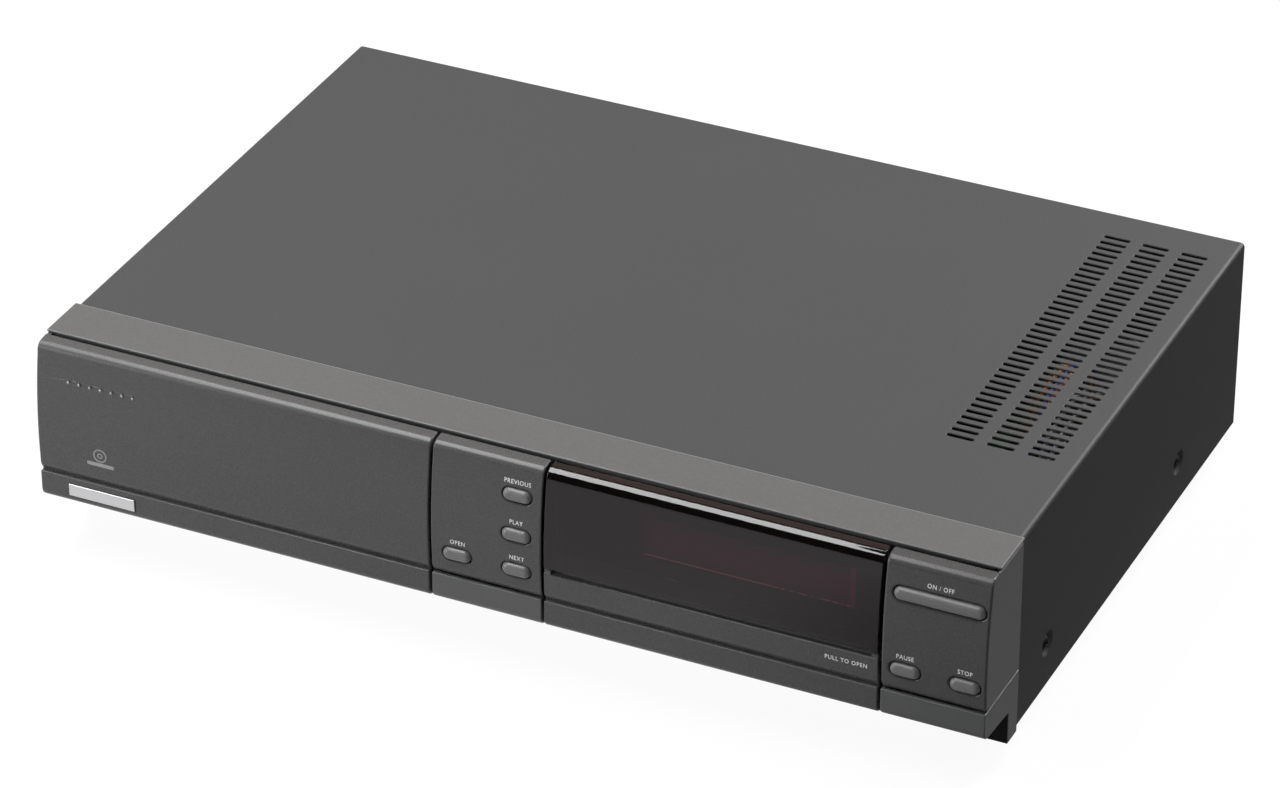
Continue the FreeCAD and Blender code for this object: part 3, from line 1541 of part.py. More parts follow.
def make_boards():
    low, high = H(s.board_height), H(s.board_height + s.board_thickness)
    hole = s.screw_radius + s.screw_clearance
    power = new_body("power_board")
    across = (s.power_board_left, s.power_board_right)
    rows = (R(s.power_board_front), R(s.power_board_rear))
    pad(power, "XY", (low, high), lambda k: rectangle(k, across, rows))
    main = new_body("main_board")
    outline = [
        (s.main_board_inner, R(s.main_board_front)),
        (s.main_board_right, R(s.main_board_front)),
        (s.main_board_right, R(s.main_board_rear)),
        (s.main_board_left, R(s.main_board_rear)),
        (s.main_board_left, R(s.main_board_step)),
        (s.main_board_inner, R(s.main_board_step)),
    ]
    pad(main, "XY", (low, high), lambda k: path(k, outline))
    corners = board_screw_places()
    for board, centres in ((power, corners[:4]), (main, corners[4:])):
        cut(board, "XY", (low - 1, high + 1), lambda k, centres=centres: circles(k, centres, hole))
    chips = []
    rows = (40.0, 78.0, 116.0, 190.0)
    for index in range(8):
        x = s.main_board_inner + 45.0 + 62.0 * (index % 2)
        y = R(s.main_board_front) + rows[index // 2]
        wide = 12.0 if index % 3 else 16.0
        sides = ((x - wide, x + wide), (y - 8.0, y + 8.0))
        chips.append(solid_box(f"chip_{index}", *sides, (high, high + 3.2)))
    group("board_chips", *chips)


def make_power_parts():
    """Transformer, capacitors and the finned heat sink, all standing on the power board."""
    floor = H(s.board_height + s.board_thickness)
    core_x = (s.core_x - s.core_width / 2, s.core_x + s.core_width / 2)
    core_y = (R(s.core_row) - s.core_depth / 2, R(s.core_row) + s.core_depth / 2)
    core = solid_box("core", core_x, core_y, (floor, floor + s.core_height))
    coil = solid_box(
        "coil",
        (s.core_x - s.coil_width / 2, s.core_x + s.coil_width / 2),
        (core_y[0] - s.coil_bulge, core_y[1] + s.coil_bulge),
        (floor + s.coil_bulge * 0.8, floor + s.core_height - s.coil_bulge * 0.8),
    )
    fuse("transformer", core, coil)
    cans = []
    for index in range(4):
        x = s.capacitor_x + s.capacitor_pitch * (index % 2)
        y = R(s.capacitor_row) + s.capacitor_pitch * (index // 2)
        can = rod(f"can_{index}", "Z", (x, y), (floor, floor + s.capacitor_height), s.capacitor_radius)
        neck_low = floor + s.capacitor_height * 0.12
        ring = rod(f"neck_{index}", "Z", (x, y), (neck_low, neck_low + 1.2), s.capacitor_radius + 1)
        neck = s.capacitor_radius - 0.6
        keep = rod(f"neck_core_{index}", "Z", (x, y), (neck_low - 1, neck_low + 3), neck)
        cans.append(minus(f"capacitor_{index}", can, minus(f"neck_cut_{index}", ring, keep)))
    group("filter_capacitors", *cans)
    sink = new_body("heat_sink")
    span = s.fin_pitch * (s.fin_count - 1) + s.fin_thickness
    base_x = (s.sink_x, s.sink_x + s.sink_base)
    base_y = (R(s.sink_row), R(s.sink_row) + span)
    height = (floor, floor + s.sink_height)
    pad(sink, "XY", height, lambda k: rectangle(k, base_x, base_y))
    fin_x = (s.sink_x + s.sink_base / 2, s.sink_x + s.sink_base + s.fin_length)
    fin_y = (R(s.sink_row), R(s.sink_row) + s.fin_thickness)
    fin = pad(sink, "XY", height, lambda k: rectangle(k, fin_x, fin_y))
    pattern = sink.newObject("PartDesign::LinearPattern", "fins_pattern")
    pattern.Originals = [fin]
    direction = [part for part in sink.Origin.OriginFeatures if part.Role == "Y_Axis"][0]
    pattern.Direction = (direction, [""])
    bind(pattern, "Length", s.fin_pitch * (s.fin_count - 1))
    pattern.Occurrences = int(number(s.fin_count))
    sink.Tip = pattern


def screw(name, axis, at, head, point, head_height):
    """A pan-head screw: head is where the head seats, point is where the shank ends."""
    toward = 1 if number(point) > number(head) else -1
    top = head - head_height * toward
    head_span = (top, head) if toward > 0 else (head, top)
    shank_span = (head, point) if toward > 0 else (point, head)
    cap = rod(name + "_head", axis, at, head_span, s.screw_head_radius)
    shank = rod(name + "_shank", axis, at, shank_span, s.screw_radius)
    return fuse(name, cap, shank)


def make_screws():
    sides, rears, inners = [], [], []
    seat = s.dimple_sink
    for side in (-1, 1):
        for row in (s.dimple_front_row, s.dimple_rear_row):
            head = (cover_half - seat) * side
            point = (cover_half - seat - s.screw_length) * side
            name = f"side_screw_{len(sides)}"
            sides.append(screw(name, "X", (R(row), H(s.dimple_height)), head, point, s.screw_head_height))
    group("side_screws", *sides)
    level = base + s.cover_height - s.rear_lip / 2
    for x in rear_screw_places():
        name = f"rear_screw_{len(rears)}"
        rears.append(screw(name, "Y", (x, level), rear, rear - s.screw_length, s.screw_head_height))
    group("rear_screws", *rears)
    board_top = H(s.board_height + s.board_thickness)
    for x, y in board_screw_places():
        name = f"inner_screw_{len(inners)}"
        inners.append(screw(name, "Z", (x, y), board_top, chassis_floor, s.screw_head_height))
    strip_top = chassis_floor + s.loader_floor
    for x, y in loader_screw_places():
        name = f"inner_screw_{len(inners)}"
        inners.append(screw(name, "Z", (x, y), strip_top, chassis_floor - s.sheet, s.screw_head_height))
    group("inner_screws", *inners)


# Toothed wheels and racks


def gear_shape(teeth, module, angle, slack):
    """The face of a spur wheel with curved flanks, its first tooth centred on the angle."""
    teeth = int(round(teeth))
    pitch = teeth * module / 2
    pressure = math.radians(20)
    ground = pitch * math.cos(pressure)
    tip, root = pitch + module, pitch - 1.25 * module
    half_tooth = math.pi / (2 * teeth) - slack / (2 * pitch)
    lean = math.tan(pressure) - pressure

    def flank(radius):
        if radius <= ground:
            return half_tooth + lean
        bend = math.acos(ground / radius)
        return half_tooth + lean - (math.tan(bend) - bend)

    radii = [max(root, ground) + (tip - max(root, ground)) * step / 3 for step in range(4)]
    points = []
    for tooth in range(teeth):
        middle = angle + 2 * math.pi * tooth / teeth
        side = [(root, flank(radii[0]))] if root < ground else []
        side += [(radius, flank(radius)) for radius in radii]
        for radius, turn in side:
            points.append(V(radius * math.cos(middle - turn), radius * math.sin(middle - turn), 0))
        for radius, turn in reversed(side):
            points.append(V(radius * math.cos(middle + turn), radius * math.sin(middle + turn), 0))
    return Part.Face(Part.makePolygon(points + [points[0]]))


def wheel(face, low, high):
    solid = face.extrude(V(0, 0, high - low))
    solid.translate(V(0, 0, low))
    return solid


def drum(radius, low, high):
    return Part.makeCylinder(radius, high - low, V(0, 0, low))


def rack_solid(x, facing, y0, y1, z0, z1, module, phase, slack, back):
    """A toothed bar along Y. phase is the Y of one tooth space's middle."""
    pitch = math.pi * module
    lean = math.tan(math.radians(20))
    tip, root = module, 1.25 * module
    half_tooth = pitch / 4 - slack / 2
    half_tip, half_root = half_tooth - tip * lean, half_tooth + root * lean
    bottom, top = x - facing * root, x + facing * tip
    first = math.ceil((y0 + half_root - phase) / pitch - 0.5)
    last = math.floor((y1 - half_root - phase) / pitch - 0.5)
    points = [V(bottom - facing * back, y0, 0), V(bottom, y0, 0)]
    for step in range(first, last + 1):
        middle = phase + (step + 0.5) * pitch
        points += [
            V(bottom, middle - half_root, 0),
            V(top, middle - half_tip, 0),
            V(top, middle + half_tip, 0),
            V(bottom, middle + half_root, 0),
        ]
    points += [V(bottom, y1, 0), V(bottom - facing * back, y1, 0)]
    face = Part.Face(Part.makePolygon(points + [points[0]]))
    solid = face.extrude(V(0, 0, z1 - z0))
    solid.translate(V(0, 0, z0))
    return solid


# Loader: the frame, the tray and the drive train

tray_half = s.tray_half_width
rack_x = place("rack_x", s.spindle_x - tray_half + s.rack_offset)
pinion_pitch = place("pinion_pitch", s.rack_module * s.pinion_teeth / 2)
gear_x = place("gear_x", rack_x + pinion_pitch)
train_spacing = place("train_spacing", s.train_module * (s.wheel_teeth + s.small_pinion_teeth) / 2)
pulley_x = place("pulley_x", gear_x + train_spacing)
motor_x = place("motor_x", pulley_x + s.belt_spacing)
gear_y = place("gear_y", R(s.gear_row))
shelf_top = place("shelf_top", H(s.shelf_bottom + s.shelf_thickness))


def make_disc_tray():
    """The moulded tray: stepped disc wells, an open slot at the rear, skirts, rails and a rack."""
    body = new_body("disc_tray_moulding")
    x, y = s.spindle_x, R(s.spindle_row)
    across = (x - tray_half, x + tray_half)
    front = D(s.tray_front_depth)
    rows = (front, R(s.tray_rear_row))
    pad(body, "XY", (H(s.tray_bottom), H(s.tray_top)), lambda k: rectangle(k, across, rows))
    above = H(s.tray_top + 1)
    disc = s.disc_radius + s.disc_clearance
    small = s.small_disc_radius + s.disc_clearance
    cut(body, "XY", (H(s.disc_floor), above), lambda k: circle(k, x, y, disc))
    cut(body, "XY", (H(s.small_disc_floor), above), lambda k: circle(k, x, y, small))
    reach = disc - s.scallop_radius + s.scallop_reach
    scallops = [(x - reach, y), (x + reach, y)]
    cut(body, "XY", (H(s.disc_floor - 1), above), lambda k: circles(k, scallops, s.scallop_radius))
    slot = [
        (x - s.tray_slot_half, y),
        (x + s.tray_slot_half, y, s.tray_slot_half * 1.0001),
        (x + s.tray_slot_half, rows[1] + 1),
        (x - s.tray_slot_half, rows[1] + 1),
    ]
    cut(body, "XY", (H(s.tray_bottom - 1), above), lambda k: path(k, slot))
    skirt_z = (H(s.skirt_bottom), H(s.tray_bottom + 0.5))
    rail_z = (H(s.skirt_bottom), H(s.skirt_bottom + s.rail_thickness))
    skirt_rows = (D(s.tray_front_depth - s.tray_flange_thickness), rows[1])
    rail_rows = (D(s.loader_front_depth - 2), rows[1])
    skirts, rails = [], []
    for side in (-1, 1):
        outer = x + tray_half * side
        inner = outer - s.skirt_wall * side
        skirts.append((mirrored(outer, inner), skirt_rows))
        rails.append((mirrored(outer + s.rail_width * side, inner), rail_rows))
    pad(body, "XY", skirt_z, lambda k: rectangles(k, *skirts))
    pad(body, "XY", rail_z, lambda k: rectangles(k, *rails))
    flange_rows = (front, front + s.tray_flange_thickness)
    flange_z = (H(s.tray_flange_bottom), H(s.tray_flange_top))
    pad(body, "XY", flange_z, lambda k: rectangle(k, across, flange_rows))
    doc.recompute()
    module = number(s.rack_module)
    back = number(rack_x) - 1.25 * module - number(x - tray_half) - number(s.skirt_wall) / 2
    teeth = rack_solid(
        number(rack_x),
        1,
        number(D(s.panel_back_depth)),
        number(rows[1]),
        number(H(s.rack_bottom)),
        number(H(s.tray_bottom)),
        module,
        number(gear_y),
        number(s.backlash),
        back,
    )
    rack = worked("tray_rack", teeth)
    return fuse("disc_tray", body, rack)


def make_loader_frame():
    """The moulded bed of the loader: walls with ledges, shelf, crossbars, posts and floor strips."""
    body = new_body("loader_frame")
    x = s.spindle_x
    floor = chassis_floor
    top = H(s.loader_top)
    low_top = H(s.tray_top + 2)
    outer, wall = s.loader_outer, s.loader_wall
    start, step, end = D(s.loader_front_depth), R(s.loader_step_row), R(s.loader_rear_row)
    bridge = (R(s.bridge_front_row), R(s.bridge_rear_row))
    side_outline = [
        (start, H(s.loader_nose_bottom)),
        (step, H(s.loader_nose_bottom)),
        (step, floor),
        (end, floor),
        (end, low_top),
        (bridge[1] + 4, low_top),
        (bridge[1], top),
        (bridge[0], top),
        (bridge[0] - 4, low_top),
        (start, low_top),
    ]
    ledge_top = H(s.skirt_bottom) - s.slide_gap
    ledge_z = (ledge_top - s.ledge_thickness, ledge_top)
    keep_low = H(s.skirt_bottom + s.rail_thickness) + s.slide_gap
    keep_z = (keep_low, keep_low + s.retainer_thickness)
    shelf_rows = (start, R(s.shelf_rear_row))
    shelf_z = (H(s.shelf_bottom), shelf_top)
    wide = (x - outer, x + outer)
    pad(body, "XY", shelf_z, lambda k: rectangle(k, wide, shelf_rows))
    ledges, keepers, strips = [], [], []
    for side in (-1, 1):
        face = x + outer * side
        inner = face - wall * side
        pad(body, "YZ", mirrored(face, inner), lambda k: path(k, side_outline))
        ledges.append((mirrored(face, inner - s.ledge_width * side), (start, end)))
        strips.append((mirrored(face, face - s.floor_strip * side), (step, end)))
        for row in (start, R(s.bridge_rear_row), R(s.crossbar_rear_row)):
            tab = mirrored(face, inner - s.ledge_width * 0.9 * side)
            keepers.append((tab, (row, row + s.retainer_length)))
    pad(body, "XY", ledge_z, lambda k: rectangles(k, *ledges))
    pad(body, "XY", keep_z, lambda k: rectangles(k, *keepers))
    pad(body, "XY", (floor, floor + s.loader_floor), lambda k: rectangles(k, *strips))
    # Front crossbar under the lift cam, with its guide cheeks, and the rear crossbar
    bar_rows = (R(s.cam_row - 3), R(s.cam_row + s.cam_thickness + 3))
    bar_z = (floor, H(s.cam_bottom) - s.slide_gap)
    pad(body, "XY", bar_z, lambda k: rectangle(k, wide, bar_rows))
    cheek_z = (bar_z[1] - 1, H(s.cam_bottom) + 4)
    cheeks = []
    for side in (-1, 1):
        centre = x + s.cam_half_width * 0.8 * side
        cheeks.append(((centre - 6, centre + 6), (bar_rows[0], R(s.cam_row) - s.slide_gap)))
        behind = (R(s.cam_row + s.cam_thickness) + s.slide_gap, bar_rows[1])
        cheeks.append(((centre - 6, centre + 6), behind))
    pad(body, "XY", cheek_z, lambda k: rectangles(k, *cheeks))
    rear_rows = (R(s.crossbar_rear_row), R(s.crossbar_rear_row + s.crossbar_thickness))
    pad(body, "XY", (floor, ledge_top), lambda k: rectangle(k, wide, rear_rows))
    # Guide posts of the lifting deck
    posts = guide_post_places()
    pad(body, "XY", (floor, H(s.guide_post_top)), lambda k: circles(k, posts, s.guide_post_radius))
    # Shaft hole of the loading motor, press holes of the two wheel posts, and screw holes

    def shelf_holes(sketch):
        circle(sketch, motor_x, gear_y, s.motor_shaft_radius * 3)
        circles(sketch, [(gear_x, gear_y), (pulley_x, gear_y)], s.post_radius)

    cut(body, "XY", (shelf_z[0] - 1, shelf_z[1] + 1), shelf_holes)
    strip_z = (floor - 1, floor + s.loader_floor + 1)
    hole = s.screw_radius + s.screw_clearance
    cut(body, "XY", strip_z, lambda k: circles(k, loader_screw_places(), hole))
    return body


def guide_post_places():
    rows = (R(s.guide_post_front_row), R(s.guide_post_rear_row))
    return [(s.spindle_x + s.guide_post_x * side, y) for side in (-1, 1) for y in rows]


def make_drive_train():
    """Belt drive from the motor to the wheel that moves the tray's rack."""
    slack = number(s.backlash)
    y = number(gear_y)
    rest = number(shelf_top) + number(s.end_gap)
    wheel_low = number(H(s.wheel_bottom))
    wheel_high = wheel_low + number(s.wheel_thickness)
    rack_top = number(H(s.tray_bottom)) - number(s.end_gap) * 2
    hub = number(s.hub_radius)
    bore = number(s.post_radius) + number(s.post_gap)
    gap = number(s.end_gap)
    # Drive gear: the large wheel below, the pinion above. A pinion tooth faces the rack (-X).
    train, coarse = number(s.train_module), number(s.rack_module)
    big = wheel(gear_shape(number(s.wheel_teeth), train, 0.0, slack), wheel_low, wheel_high)
    pinion = wheel(gear_shape(number(s.pinion_teeth), coarse, math.pi, slack), wheel_high, rack_top)
    gear = big.fuse([pinion, drum(hub, rest, wheel_low)]).cut(drum(bore, rest - 1, rack_top + 1))
    gear.translate(V(number(gear_x), y, 0))
    worked("drive_gear", gear.removeSplitter())
    # Drive pulley: a grooved wheel below, the small pinion above, a tooth gap facing the wheel
    low = number(H(s.pulley_bottom))
    high = low + number(s.pulley_thickness)
    rim = number(s.pulley_flange)
    groove = number(s.pulley_groove_radius)
    outer = groove + number(s.pulley_rim)
    tooth = math.pi + math.pi / round(number(s.small_pinion_teeth))
    small = wheel(gear_shape(number(s.small_pinion_teeth), train, tooth, slack), high, wheel_high)
    pulley = drum(outer, low, low + rim).fuse(
        [drum(groove, low, high), drum(outer, high - rim, high), drum(hub, rest, low), small]
    )
    pulley = pulley.cut(drum(bore, rest - 1, wheel_high + 1))
    pulley.translate(V(number(pulley_x), y, 0))
    worked("drive_pulley", pulley.removeSplitter())
    # Motor pulley
    shaft = number(s.motor_shaft_radius)
    motor_groove = number(s.motor_groove_radius)
    flange = motor_groove + number(s.pulley_rim)
    little = drum(flange, low, low + rim)
    little = little.fuse([drum(motor_groove, low, high), drum(flange, high - rim, high)])
    little = little.cut(drum(shaft + number(s.post_gap), low - 1, high + 1))
    little.translate(V(number(motor_x), y, 0))
    worked("motor_pulley", little.removeSplitter())
    # Belt: a closed band that lies round both grooves
    thick = number(s.belt_size)
    clear = number(s.belt_gap)
    middle = (low + high) / 2
    band = (middle - thick / 2 * 0.9, middle + thick / 2 * 0.9)
    outside = band_face(groove + clear + thick, motor_groove + clear + thick)
    inside = band_face(groove + clear, motor_groove + clear)
    belt = outside.cut(inside).extrude(V(0, 0, band[1] - band[0]))
    belt.translate(V(number(pulley_x), y, band[0]))
    worked("drive_belt", belt)
    # Motor under the shelf, its shaft through the pulley
    body = H(s.shelf_bottom)
    can = rod("motor_can", "Z", (motor_x, gear_y), (body - s.motor_length, body), s.motor_radius)
    tip = H(s.pulley_bottom + s.pulley_thickness) + s.end_gap
    spindle = rod("motor_spindle", "Z", (motor_x, gear_y), (body, tip), s.motor_shaft_radius)
    nose_span = (body - s.motor_length - s.sheet, body - s.motor_length)
    nose = rod("motor_nose", "Z", (motor_x, gear_y), nose_span, s.motor_shaft_radius * 3)
    fuse("loading_motor", can, spindle, nose)
    # Steel posts that the two wheels turn on
    posts = []
    for name, at, top in (
        ("gear_post", gear_x, H(s.tray_bottom) - s.end_gap),
        ("pulley_post", pulley_x, H(s.wheel_bottom + s.wheel_thickness) + s.end_gap),
    ):
        posts.append(rod(name, "Z", (at, gear_y), (H(s.shelf_bottom), top), s.post_radius))
    group("wheel_posts", *posts)


def band_face(big, small):
    """The face inside a taut band round two circles on the X axis, the big one at the origin."""
    span = number(s.belt_spacing)
    lean = math.acos((big - small) / span)
    touch = [
        V(big * math.cos(lean), big * math.sin(lean), 0),
        V(span + small * math.cos(lean), small * math.sin(lean), 0),
    ]
    mirror = [V(point.x, -point.y, 0) for point in touch]
    edges = [
        Part.LineSegment(touch[0], touch[1]).toShape(),
        Part.Arc(touch[1], V(span + small, 0, 0), mirror[1]).toShape(),
        Part.LineSegment(mirror[1], mirror[0]).toShape(),
        Part.Arc(mirror[0], V(-big, 0, 0), touch[0]).toShape(),
    ]
    return Part.Face(Part.Wire(edges))


# Lift and optical deck


def make_lift_cam():
    """A sliding plate with two inclined slots that lower the deck's pins."""
    body = new_body("lift_cam")
    x = s.spindle_x
    across = (x - s.cam_half_width, x + s.cam_half_width)
    rows = (R(s.cam_row), R(s.cam_row + s.cam_thickness))
    pad(body, "XZ", rows, lambda k: rectangle(k, across, (H(s.cam_bottom), H(s.cam_top))))
    reach = s.cam_pin_radius + s.slide_gap
    run = (s.cam_travel * s.cam_travel + s.lift * s.lift).root()
    rise = reach * s.lift / run
    side = reach * s.cam_travel / run
    for end in (-0.5, 0.5):
        px = x + s.cam_pin_spacing * end
        pz = H(s.cam_pin_height)
        qx, qz = px - s.cam_travel, pz - s.lift
        slot = [
            (qx - rise, qz + side),
            (qx + rise, qz - side, reach * 1.0001),
            (px + rise, pz - side),
            (px - rise, pz + side, reach * 1.0001),
        ]
        cut(body, "XZ", (rows[0] - 1, rows[1] + 1), lambda k, slot=slot: path(k, slot))
    # A window that lightens the plate between the slots
    gap_x = (x - s.cam_pin_spacing / 2 + s.cam_travel / 2, x + s.cam_pin_spacing / 2 - s.cam_travel * 2)
    gap_z = (H(s.cam_bottom) + s.cam_travel / 2, H(s.cam_top) - s.cam_travel / 2)
    cut(body, "XZ", (rows[0] - 1, rows[1] + 1), lambda k: rectangle(k, gap_x, gap_z))
    return body


def make_deck_plate():
    """The pressed plate that carries the spindle, the rods and the carriage's motor."""
    body = new_body("deck_plate")
    x = s.spindle_x
    top = H(s.deck_top)
    low = top - s.deck_sheet
    across = (x - s.deck_half_width, x + s.deck_half_width)
    rows = (R(s.deck_front_row), R(s.deck_rear_row))
    pad(body, "XY", (low, top), lambda k: rectangle(k, across, rows))
    flange_rows = (rows[0], rows[0] + s.deck_sheet)
    pad(body, "XY", (low - s.deck_flange, low), lambda k: rectangle(k, across, flange_rows))
    # Bearing lugs of the two rods
    lugs, bores = [], []
    for side in (-0.5, 0.5):
        at = x + s.rod_spacing * side
        bores.append((at, H(s.rod_height)))
        for row in (R(s.rod_front_row), R(s.rod_rear_row) - s.lug_thickness):
            lugs.append((span_of(at, s.rod_radius * 4), (row, row + s.lug_thickness)))
    lug_z = (H(s.rod_height) - s.rod_radius * 2.5, low)
    pad(body, "XY", lug_z, lambda k: rectangles(k, *lugs))
    span = (R(s.rod_front_row) - 1, R(s.rod_rear_row) + 1)
    cut(body, "XZ", span, lambda k: circles(k, bores, s.rod_radius))
    # Bracket that carries the carriage's motor beside the rack
    gear_at = sled_gear_x()
    arm_x = (gear_at + s.sled_motor_radius + 2, gear_at + s.sled_motor_radius + 2 + s.deck_sheet)
    arm_rows = (R(s.sled_gear_row) - s.sled_motor_radius, R(s.sled_gear_row) + s.sled_motor_radius)
    arm_z = (H(s.sled_shelf_bottom), low)
    pad(body, "XY", arm_z, lambda k: rectangle(k, arm_x, arm_rows))
    foot_x = (gear_at - s.sled_motor_radius, arm_x[1])
    foot_z = (H(s.sled_shelf_bottom), H(s.sled_shelf_bottom) + s.deck_sheet)
    pad(body, "XY", foot_z, lambda k: rectangle(k, foot_x, arm_rows))
    shaft_hole = s.motor_shaft_radius * 2
    hole_z = (foot_z[0] - 1, foot_z[1] + 1)
    cut(body, "XY", hole_z, lambda k: circle(k, gear_at, R(s.sled_gear_row), shaft_hole))
    # Holes for the spindle, the lens and the guide posts
    slot_x = (x - s.deck_slot_half, x + s.deck_slot_half)
    slot_rows = (R(s.carriage_row - 1), R(s.rod_rear_row) - s.lug_thickness)

    def holes(sketch):
        circle(sketch, x, R(s.spindle_row), s.spindle_hole_radius)
        rectangle(sketch, slot_x, slot_rows)
        circles(sketch, guide_post_places(), s.guide_post_radius + s.slide_gap)

    cut(body, "XY", (low - 0.5, top + 1), holes)
    # Pins that ride in the cam's slots
    span = (R(s.cam_row) - s.slide_gap, rows[0])
    pins = [(x + s.cam_pin_spacing * end, H(s.cam_pin_height)) for end in (-0.5, 0.5)]
    pad(body, "XZ", span, lambda k: circles(k, pins, s.cam_pin_radius))
    return body


def sled_rack_line():
    return s.spindle_x + s.sled_rack_x


def sled_gear_x():
    return s.spindle_x + s.sled_rack_x + s.sled_module * s.sled_teeth / 2


def make_spindle():
    """Spindle motor under the deck, and the turntable that seats a disc."""
    at = (s.spindle_x, R(s.spindle_row))
    under = H(s.deck_top) - s.deck_sheet
    can = rod("spindle_can", "Z", at, (under - s.spindle_motor_height, under), s.spindle_motor_radius)
    tip = H(s.turntable_bottom) + s.deck_sheet
    shaft = rod("spindle_shaft", "Z", at, (under, tip), s.spindle_shaft_radius)
    fuse("spindle_motor", can, shaft)
    body = new_body("turntable")
    x, y = at
    platter = (H(s.turntable_bottom), H(s.turntable_top))
    pad(body, "XY", platter, lambda k: circle(k, x, y, s.turntable_radius))
    boss_z = (H(s.deck_top) + s.end_gap * 2, platter[0])
    pad(body, "XY", boss_z, lambda k: circle(k, x, y, s.turntable_boss))
    hub_z = (platter[1], platter[1] + s.cone_height)
    pad(body, "XY", hub_z, lambda k: circle(k, x, y, s.cone_radius))
    round_edges(body, "Chamfer", lambda edge: lies(edge, "z", hub_z[1]), s.cone_height * 0.6)
    dish = (platter[1] - 0.6, platter[1] + 0.01)

    def ring(sketch):
        circle(sketch, x, y, s.turntable_radius - 1.5)
        circle(sketch, x, y, s.cone_radius + 1.2)

    cut(body, "XY", (dish[0], dish[1]), ring)
    hole = s.spindle_shaft_radius + s.post_gap
    cut(body, "XY", (boss_z[0] - 1, tip + s.end_gap), lambda k: circle(k, x, y, hole))
    return body


def make_sled():
    """Laser carriage on two rods, with a side rack, its lens, gear and motor."""
    body = new_body("laser_carriage_block")
    x = s.spindle_x
    rows = (R(s.carriage_row), R(s.carriage_row + s.carriage_length))
    across = (x - s.carriage_half, x + s.carriage_half)
    pad(body, "XY", (H(s.carriage_bottom), H(s.carriage_top)), lambda k: rectangle(k, across, rows))
    house_x = (x - s.lens_housing_half, x + s.lens_housing_half)
    house_rows = (rows[0] + 2, rows[1] - 2)
    house_z = (H(s.carriage_top), H(s.lens_housing_top))
    pad(body, "XY", house_z, lambda k: rectangle(k, house_x, house_rows))
    round_edges(
        body,
        "Fillet",
        lambda edge: lies(edge, "x", edge.BoundBox.XMin)
        and lies(edge, "y", edge.BoundBox.YMin)
        and edge.BoundBox.ZMin > number(house_z[0]) - 0.1,
        2.0,
    )
    hole = s.rod_radius + s.post_gap
    bores = [(x + s.rod_spacing * side, H(s.rod_height)) for side in (-0.5, 0.5)]
    cut(body, "XZ", (rows[0] - 1, rows[1] + 1), lambda k: circles(k, bores, hole))
    doc.recompute()
    module = number(s.sled_module)
    line = number(sled_rack_line())
    bar_low = number(H(s.sled_gear_bottom)) + 0.2
    bar_high = bar_low + number(s.sled_gear_thickness) - 0.4
    gear_row = number(R(s.sled_gear_row))
    back = line - 1.25 * module - number(across[1])
    teeth = rack_solid(
        line,
        1,
        number(R(s.sled_rack_front_row)),
        number(R(s.sled_rack_rear_row)),
        bar_low,
        bar_high,
        module,
        gear_row,
        number(s.backlash) * 0.6,
        max(back, 0.0),
    )
    rack = worked("sled_rack", teeth)
    web = solid_box(
        "sled_web",
        (across[1] - 1, sled_rack_line() - s.sled_module * 1.25),
        rows,
        (H(s.sled_gear_bottom) + 0.2, H(s.sled_gear_bottom) + s.sled_gear_thickness - 0.2),
    )
    carriage = doc.addObject("Part::MultiFuse", "laser_carriage")
    carriage.Shapes = [body, web, rack]
    carriage.Refine = True
    # Lens
    lens_y = R(s.carriage_row) + s.carriage_length / 2
    top = H(s.lens_housing_top)
    body = rod("lens_disc", "Z", (x, lens_y), (top, top + s.lens_height), s.lens_radius)
    crown_z = (top + s.lens_height, top + s.lens_height + 0.5)
    crown = rod("lens_crown", "Z", (x, lens_y), crown_z, s.lens_radius, s.lens_radius / 2)
    fuse("objective_lens", body, crown)
    # Rods
    rods = []
    rod_span = (R(s.rod_front_row), R(s.rod_rear_row))
    for index, side in enumerate((-0.5, 0.5)):
        at = (x + s.rod_spacing * side, H(s.rod_height))
        rods.append(rod(f"guide_rod_{index}", "Y", at, rod_span, s.rod_radius))
    group("guide_rods", *rods)
    # Gear on the shaft of the carriage's motor
    low = number(H(s.sled_gear_bottom))
    high = low + number(s.sled_gear_thickness)
    face = gear_shape(number(s.sled_teeth), module, math.pi, number(s.backlash) * 0.6)
    bore = number(s.motor_shaft_radius) + number(s.post_gap)
    gear = wheel(face, low, high).cut(drum(bore, low - 1, high + 1))
    gear.translate(V(number(sled_gear_x()), gear_row, 0))
    worked("sled_gear", gear)
    at = (sled_gear_x(), R(s.sled_gear_row))
    shelf = H(s.sled_shelf_bottom)
    can = rod("sled_can", "Z", at, (shelf - s.sled_motor_length, shelf), s.sled_motor_radius)
    tip = H(s.sled_gear_bottom) + s.sled_gear_thickness + s.end_gap
    shaft = rod("sled_shaft", "Z", at, (shelf, tip), s.motor_shaft_radius)
    fuse("sled_motor", can, shaft)


